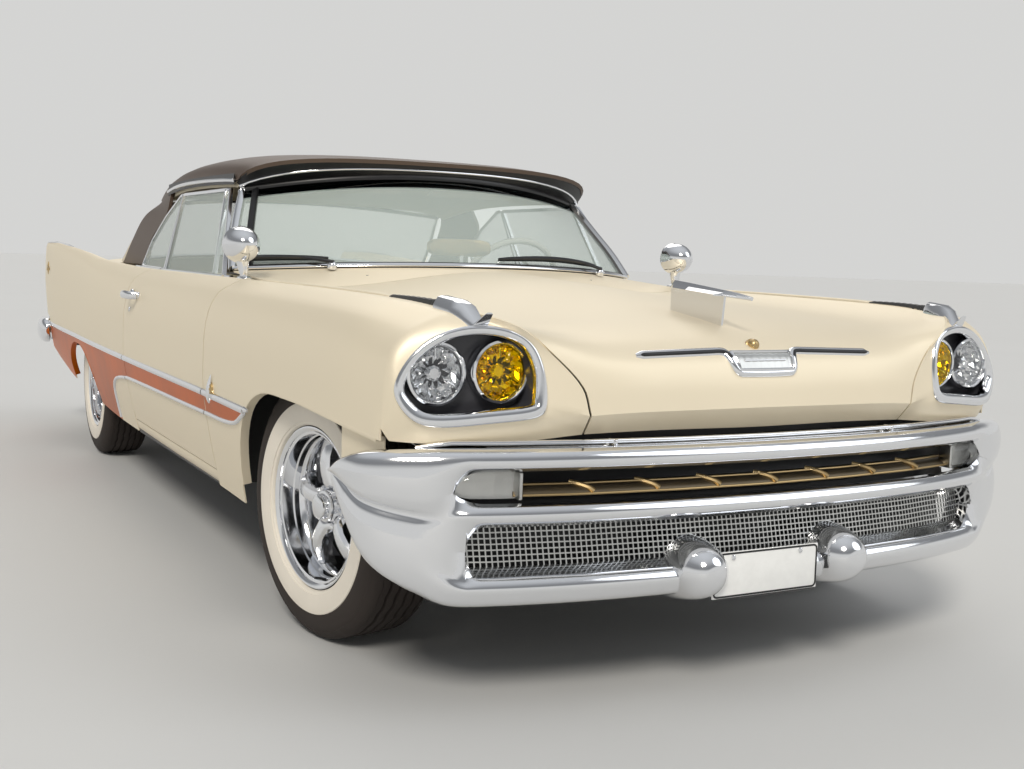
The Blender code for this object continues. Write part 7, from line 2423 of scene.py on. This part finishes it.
def knob(name, place_at, way):
    """A small stepped knob that points one way."""
    turn = aim(place_at, Vector(place_at) + Vector(way))
    profile = [(along, KNOB_RADIUS * share) for along, share in KNOB_shares]
    return lathe(name, profile, 18, chrome(), "body", turn)


# Dials as (x, radius, marks, needle), knobs as (x, z), and round parts: along the axis, radius
DIALS = ((0.300, 0.050, 9, 0.95), (0.470, 0.050, 9, 0.86), (0.385, 0.033, 5, 1.1))
KNOBS = ((-0.108, 0.838), (0.108, 0.838), (0.20, 0.770), (0.26, 0.768), (0.51, 0.768), (0.57, 0.770),
         (-0.28, 0.770))
STALK = ((0, 0.022), (0.006, 0.020), (0.012, 0.009), (0.10, 0.007), (0.115, 0.010), (0.120, 0))
CASE_RINGS = ((-0.018, 0.72), (-0.012, 0.94), (0.0, 1.0), (0.006, 1.0))
COLUMN_TUBE = ((0, 0.0), (0, 0.024), (0.30, 0.024), (0.345, 0.030), (0.375, 0.030), (0.385, 0.022),
               (0.385, 0))
FACE_DEPTHS = ((0.730, -0.850), (0.800, -0.795), (0.890, -0.815))


def dashboard():
    """Padded top, painted face, dials before the driver, radio, ribs, knobs and the rear-view mirror."""
    keys = [Vector((0, y, z)) for y, z in DASH_SECTION]
    line = smooth_line(keys, 5, closed=True, corners=(0, 1))
    rings = [[Vector((x, p.y, p.z - 0.012 * (abs(x) / DASH_HALF) ** 3)) for p in line]
             for x in even(-DASH_HALF, 2 * DASH_HALF, 30)]
    made = rings_object("dash_shell", rings, [dash_paint(), dark_fabric()], "body",
                        pick=lambda i, j: 1 if 5 <= j < 13 else 0)
    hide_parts("dashboard")
    way = Vector((0, 0.94, -0.12))
    pieces = []
    for x, radius, marks, needle in DIALS:
        pieces += dial(f"dial_{int(x * 1000)}", (x, -0.796, 0.850 if radius > 0.04 else 0.838),
                       radius * 0.92, way, marks, needle)
    joined("dials", pieces)
    trims = []
    face_y = lambda z: smooth_value(FACE_DEPTHS, 1, z)
    for z in (0.800, 0.884):
        path = [Vector((x, face_y(z) + 0.002, z - 0.012 * (abs(x) / DASH_HALF) ** 3))
                for x in even(-0.755, 1.51, 30)]
        trims.append(sweep(f"dash_trim_{z}", path, Vector((0, 1, 0)), moulding(0.010, 0.006), chrome(),
                           "body"))
    for k in range(24):
        x = -0.62 + 0.016 * k
        trims.append(soft_block(f"glove_rib_{k}", (x, face_y(0.842) - 0.006, 0.812),
                                (x + 0.008, face_y(0.842) + 0.006, 0.872), 0.002, gold(), "body", 1))
    trims.append(soft_block("radio_face", (-0.13, face_y(0.84) - 0.006, 0.812),
                            (0.13, face_y(0.84) + 0.007, 0.872), 0.004, satin(), "body", 2))
    for k in range(5):
        x = -0.070 + 0.035 * k
        trims.append(soft_block(f"radio_key_{k}", (x - 0.013, face_y(0.825), 0.818),
                                (x + 0.013, face_y(0.825) + 0.014, 0.832), 0.003, plastic(), "body", 2))
    trims.append(soft_block("radio_scale", (-0.085, face_y(0.853) + 0.002, 0.842),
                            (0.085, face_y(0.853) + 0.010, 0.864), 0.003, black_trim(), "body", 2))
    for x, z in KNOBS:
        trims.append(knob(f"knob_{x}_{z}", (x, face_y(z) + 0.006, z), (0, 0.95, -0.2)))
    trims.append(soft_block("dash_speaker", (-0.20, -0.985, 0.8985), (0.20, -0.925, 0.9075), 0.003, satin(),
                            "body", 2))
    joined("dash_trim", trims)
    # Rear-view mirror on the dash top
    foot = lathe("mirror_stalk", STALK, 20, chrome(), "body",
                 aim((0.04, -0.905, 0.903), (0.04, -0.880, 1.02)))
    rings = []
    for depth, grow in CASE_RINGS:
        ring = []
        for k in range(32):
            angle = 2 * pi * k / 32
            c, s = cos(angle), sin(angle)
            ring.append(Vector((0.04 + 0.128 * grow * abs(c) ** 0.5 * (1 if c > 0 else -1), -0.868 + depth,
                                1.045 + 0.032 * grow * abs(s) ** 0.6 * (1 if s > 0 else -1))))
        rings.append(ring)
    shell = rings_object("mirror_case", rings, gold(), "body")
    glass = [[Vector((p.x * 0.96 + 0.0016, p.y + 0.0005, (p.z - 1.045) * 0.88 + 1.045)) for p in rings[-1]],
             [Vector((0.04, -0.8605, 1.045))] * 32]
    bm = bmesh.new()
    grid(bm, glass, closed=True)
    bmesh.ops.remove_doubles(bm, verts=bm.verts, dist=0.0001)
    pane = to_object(bm, "mirror_pane", chrome(), "body")
    joined("dash_mirror", [foot, shell, pane])
    column = lathe("column_tube", COLUMN_TUBE, 28, plastic(), "body",
                   aim(Vector(STEER_CENTRE) - STEER_AXIS * 0.400, STEER_CENTRE))
    lever = sweep("shift_lever", smooth_line([Vector(STEER_CENTRE) - STEER_AXIS * 0.060 + Vector((x, 0, z))
                                              for x, z in ((-0.020, 0), (-0.08, 0.018), (-0.145, 0.030))],
                                             6), STEER_AXIS, round_section(0.005, 8), chrome(), "body")
    ball = lathe("lever_ball", [(-0.012 * cos(pi * k / 8), 0.012 * sin(pi * k / 8)) for k in range(9)], 16,
                 plastic(), "body", Matrix.Translation(Vector(STEER_CENTRE) - STEER_AXIS * 0.060
                                                       + Vector((-0.150, 0, 0.031))))
    joined("steering_column", [column, lever, ball])


# Steering wheel: a spoke and a horn arm as (radius, depth), the hub and its cap as (along, radius)
SPOKE_LINE = ((0.030, 0.006), (0.080, 0.012), (0.140, 0.010), (0.200, 0.0))
HORN_ARM = ((0.025, 0.014), (0.07, 0.012), (0.118, 0.010))
WHEEL_HUB = ((-0.020, 0.0), (-0.020, 0.030), (0.006, 0.036), (0.014, 0.034), (0.020, 0.026), (0.024, 0.012),
             (0.0245, 0))
HUB_CAP = ((0.022, 0.019), (0.027, 0.017), (0.030, 0.010), (0.031, 0))
RIM_STEPS = 120


def steering_wheel():
    """Pale wheel with finger ridges behind the rim, two spokes, a bright horn ring and a capped hub."""
    turn = aim(STEER_CENTRE, Vector(STEER_CENTRE) + STEER_AXIS)
    bm = bmesh.new()
    rings = []
    for k in range(RIM_STEPS):
        angle = 2 * pi * k / RIM_STEPS
        ridge = 0.0022 * (0.5 + 0.5 * cos(2 * pi * k / 4))
        ring = []
        for j in range(14):
            turn_by = 2 * pi * j / 14
            c, s = cos(turn_by), sin(turn_by)
            radius = 0.0115 + (ridge if s < 0 else 0)
            ring.append(Vector((radius * s, (STEER_RADIUS + radius * c) * cos(angle),
                                (STEER_RADIUS + radius * c) * sin(angle))))
        rings.append(ring)
    grid(bm, rings + rings[:1], closed=True)
    bmesh.ops.remove_doubles(bm, verts=bm.verts, dist=0.00001)
    bmesh.ops.recalc_face_normals(bm, faces=bm.faces)
    bmesh.ops.transform(bm, matrix=turn, verts=bm.verts)
    rim = to_object(bm, "wheel_rim", plastic(), "steering")
    pieces = [rim]
    across_way = Vector((1, 0, 0))
    for side in (1, -1):
        path = [Vector(STEER_CENTRE) + across_way * side * r - STEER_AXIS * d for r, d in SPOKE_LINE]
        pieces.append(sweep(f"wheel_spoke_{side}", smooth_line(path, 5), STEER_AXIS,
                            round_section(0.015, 12, 0.5), plastic(), "steering",
                            taper=lambda t: 1.2 - 0.5 * t))
    upward = STEER_AXIS.cross(across_way)
    ring_path = [Vector(STEER_CENTRE) + (across_way * cos(a) - upward * sin(a)) * 0.118 + STEER_AXIS
                 * 0.010 for a in [pi * k / 30 for k in range(31)]]
    pieces.append(sweep("horn_ring", ring_path, STEER_AXIS, round_section(0.005, 10), chrome(), "steering"))
    for side in (1, -1):
        pieces.append(sweep(f"horn_arm_{side}", [Vector(STEER_CENTRE) + across_way * side * r + STEER_AXIS
                                                 * h for r, h in HORN_ARM], STEER_AXIS,
                            round_section(0.007, 10, 0.6), chrome(), "steering"))
    pieces.append(lathe("wheel_hub", WHEEL_HUB, 36, chrome(), "steering", turn))
    pieces.append(lathe("hub_cap", HUB_CAP, 28, gold(), "steering", turn))
    whole = joined("ridged_steering_wheel", pieces)
    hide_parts("steering_wheel")


# Round parts of the door's inner side: along the axis, radius; winder and opener: name, y, z, length
WINDER_BOSS = ((0, 0.020), (0.008, 0.018), (0.022, 0.010), (0.024, 0))
WINDER_KNOB = ((0, 0.007), (0.004, 0.010), (0.018, 0.009), (0.022, 0))
CRANKS = (("winder", -0.66, 0.560, 0.085), ("opener", -0.30, 0.730, 0.060))


def door_trim(side):
    """Inner side of the door: padded two-tone panel, armrest, window winder, handle and kick strip."""
    body = leaf(side)
    x = 0.8055

    def block(name, y0, y1, z0, z1, deep, radius, material):
        low, up = sorted((side * (x - deep), side * x))
        return soft_block(f"{name}_{side}", (low, y0, z0), (up, y1, z1), radius, material, body, 3)
    panel = block("upper_panel", -1.12, 0.010, 0.640, 0.900, 0.013, 0.006, fabric())
    lower = block("lower_panel", -1.12, 0.010, 0.395, 0.632, 0.012, 0.0055, dark_fabric())
    rest = block("armrest", -0.62, -0.20, 0.600, 0.652, 0.062, 0.022, fabric())
    strips = [block("belt_strip_inner", -1.12, 0.010, 0.632, 0.640, 0.015, 0.003, chrome()),
              block("kick_plate", -1.12, 0.010, 0.345, 0.390, 0.010, 0.004, satin())]
    inward = Vector((-side, 0, 0))
    for name, y, z, length in CRANKS:
        start = Vector((side * (x - 0.010), y, z))
        strips.append(lathe(f"{name}_boss_{side}", WINDER_BOSS, 24, chrome(), body,
                            aim(start, start + inward)))
        strips.append(sweep(f"{name}_arm_{side}",
                            [start + inward * 0.018,
                             start + inward * 0.022 + Vector((0, length * 0.5, 0.004)),
                             start + inward * 0.020 + Vector((0, length, 0))],
                            inward, round_section(0.007, 8, 0.6), chrome(), body))
    end = Vector((side * (x - 0.030), -0.66 + 0.085, 0.560))
    strips.append(lathe(f"winder_knob_{side}", WINDER_KNOB, 16, plastic(), body, aim(end, end + inward)))
    joined(named("door_trim", side), [panel, lower, rest] + strips)


# Carpets: name and two ends; tilt of the sun visors
CARPETS = (("front", -1.10, -0.47), ("rear", 0.18, 0.44))
VISOR_TILT = radians(-14)


def cabin_trim():
    """Carpet over the floor, and the sun visors."""
    top = 0.2985
    pieces = []
    for name, y0, y1 in CARPETS:
        rows = [[Vector((xx, y0 + (y1 - y0) * k / 10, top + 0.004 + 0.0015 * sin(xx * 60) * sin(k * 2.3)))
                 for xx in even(-0.70, 1.4, 40)] for k in range(11)]
        mat = surface(f"carpet_{name}", [rows], carpet(), "body", thickness=0.004, centre=(0, 0, -3))
        pieces.append(mat)
    joined("floor_carpet", pieces)
    for side in (1, -1):
        visor = soft_block(named("sun_visor", side), (0, -0.07, -0.006), (0.36, 0.07, 0.006), 0.005,
                           fabric(), "body", 3)
        place_at = Matrix.Translation((side * 0.06 + (0 if side > 0 else -0.36), -0.585,
                                       1.262)) @ Matrix.Rotation(VISOR_TILT, 4, "X")
        visor.data.transform(place_at)


# Rear end


# Tail lamp's housing as (y, share of its outline), and a lens ring: along its axis, radius
SHELL_RINGS = ((2.442, 1.0), (2.590, 1.0), (2.606, 0.985), (2.612, 0.965), (2.611, 0.940), (2.602, 0.925),
               (2.598, 0.60))
TAIL_RING = ((-0.004, 0.0365), (0.010, 0.0365), (0.016, 0.0345), (0.018, 0.0315), (0.014, 0.0290),
             (0.004, 0.0285))


def tail_lamp(side):
    """Upright housing at the end of the fin, with three round lenses in bright rings."""
    outline = smooth_line([Vector((x, 0, z)) for x, z in TAIL_OUTLINE], 4, closed=True, corners=(0, 1, 5, 7))
    centre = sum(outline, Vector()) / len(outline)
    rings = []
    for y, share in SHELL_RINGS:
        rings.append([Vector((centre.x + (p.x - centre.x) * share, y, centre.z + (p.z - centre.z) * share))
                      for p in outline])
    shell = rings_object(f"tail_shell_{side}", rings, [ivory(), chrome(), pod_black()], "body", side=side,
                         pick=lambda i, j: 0 if i < 1 else 1 if i < 5 else 2, angle=30)
    pieces = [shell]
    for k, z in enumerate(TAIL_LAMPS):
        turn = Matrix.Translation((side * TAIL_LAMP_x, 2.598, z)) @ Matrix.Rotation(pi / 2, 4, "Z")
        pieces.append(lathe(f"tail_ring_{side}_{k}", TAIL_RING, 36, chrome(), "body", turn))
        dome = [(0.002, 0.029)] + [(0.006 + 0.026 * sin(pi / 2 * t / 9) - (0.0012 if t % 2 else 0),
                                    0.0285 * cos(pi / 2 * t / 9) ** 0.9)
                                   for t in range(9)] + [(0.0325, 0.0)]
        pieces.append(lathe(f"tail_lens_{side}_{k}", dome, 36, lens_red(), "body", turn, angle=50))
    whole = joined(named("tail_tower", side), pieces)
    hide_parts(named("tail_lamp", side))


# Section of the rear bar as (depth, z), and the size of its last stations
REAR_SECTION = ((0.000, 0.500), (0.004, 0.535), (0.000, 0.570), (-0.012, 0.592), (-0.034, 0.600),
                (-0.058, 0.597), (-0.060, 0.548), (-0.058, 0.500), (-0.044, 0.468), (-0.016, 0.472))
REAR_END_shares = (0.35, 0.72, 0.90)
REAR_MIDDLE_Z = 0.535


def rear_bumper():
    """Rounded bar that wraps both corners, with its irons, the painted panel above it and a blank plate."""
    half = dense_plan(REAR_PLAN_shares, 8)
    line = both_halves(half)
    base = closed_section(REAR_SECTION)
    rings = []
    for i, point in enumerate(line):
        along = (line[min(i + 1, len(line) - 1)] - line[max(i - 1, 0)]).normalized()
        out = Vector((-along.y, along.x, 0))
        if out.y < 0 and abs(point.x) < 0.9:
            out = -out
        end = min(i, len(line) - 1 - i)
        shrink = REAR_END_shares[end] if end < 3 else 1
        rings.append([point + out * (-0.03 + (d + 0.03) * shrink)
                      + Vector((0, 0, REAR_MIDDLE_Z + (z - REAR_MIDDLE_Z) * shrink)) for d, z in base])
    pieces = [rings_object("rear_bar", rings, chrome(), "body", angle=50)]
    for side in (1, -1):
        pieces.append(soft_block(f"rear_iron_{side}", (side * 0.44 - 0.02, 2.45, 0.478),
                                 (side * 0.44 + 0.02, 2.715, 0.520), 0.004, steel(), "body", 2))
    whole = joined("rear_bumper_bar", pieces)
    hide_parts("rear_bumper")
    (x0, _, z0), (x1, y1, z1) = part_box("tail_panel")
    rows = [[Vector((x, y1 - 0.012 * (abs(x) / x1) ** 2 + d, z)) for x in even(x0, x1 - x0, 24)]
            for z, d in ((z0, -0.040), (z0 + 0.010, -0.012), (z0 + 0.04, -0.002), (z1 - 0.06, -0.002),
                  (z1 - 0.012, -0.006), (z1, -0.020))]
    panel = surface("tail_valance", [rows], ivory(), "body", thickness=0.004, centre=(0, 0, 0.5))
    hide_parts("tail_panel")
    blank = soft_block("rear_plate", (-0.175, 0, 0), (0.175, 0.004, 0.085), 0.0018, white_enamel(), "body", 2)
    blank.data.transform(Matrix.Translation((0, 2.588, 0.650)) @ Matrix.Rotation(radians(-8), 4, "X"))


# Boss of the trunk's handle: along its axis, radius
TRUNK_BOSS = ((-0.004, 0.040), (0.006, 0.039), (0.012, 0.033), (0.013, 0.020), (0.022, 0.017), (0.024, 0))


def trunk_trim():
    """Bright strip across the trunk lid, and its handle."""
    row = lid_rows(trunk_lines())[-16]
    path = [p + Vector((0, 0.0015, 0.001)) for p in row[4:-4]]
    out = Vector((0, 0.7, 0.7))
    strip = sweep("trunk_strip", path, out, moulding(0.020, 0.008), chrome(), "boot_lid")
    middle_point = row[len(row) // 2]
    boss = lathe("trunk_boss", TRUNK_BOSS, 32, chrome(), "boot_lid",
                 aim(middle_point, middle_point + out))
    grip = soft_block("trunk_grip", (-0.055, -0.008, 0.0), (0.055, 0.008, 0.018), 0.006, chrome(),
                      "boot_lid", 3)
    grip.data.transform(Matrix.Translation(middle_point + Vector((0, 0.016, -0.040)))
                        @ Matrix.Rotation(radians(-50), 4, "X"))
    joined("trunk_trim", [strip, boss, grip])


# Pieces kept from the CAD


def kept_nodes():
    """Each CAD piece that stays gets a finish with its own wear and grain."""
    finishes = {"chassis_frame": steel(), "engine_bay": steel(), "floor_pan": steel(), "fuel_tank": steel(),
                "engine_block": engine_paint(), "exhaust": cast(), "rear_axle": cast(),
                "knuckle_left": cast(), "knuckle_right": cast(), "wheel_house_left": steel(),
                "wheel_house_right": steel(),}
    for name, made in finishes.items():
        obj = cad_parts[name]
        for place_in_list in obj.material_slots:
            place_in_list.material = made


def main():
    studio()
    camera()
    lid = hood()
    trunk_lid()
    roof()
    cowl()
    rear_deck()
    front_bumper()
    grille()
    emblem()
    hood_spear(lid)
    windshield()
    rear_window()
    wipers()
    wheels()
    seats()
    dashboard()
    steering_wheel()
    cabin_trim()
    rear_bumper()
    trunk_trim()
    kept_nodes()
    for side in (1, -1):
        wing = front_fender(side)
        nose_filler(side)
        rocker(side)
        door(side)
        quarter_panel(side)
        lamp_pod(side)
        fender_ornament(side, wing)
        side_trim(side)
        handle(side)
        fin_trim(side)
        mirror(side)
        side_glass(side)
        door_trim(side)
        tail_lamp(side)


bpy.context.scene.view_settings.view_transform = "Standard"
main()
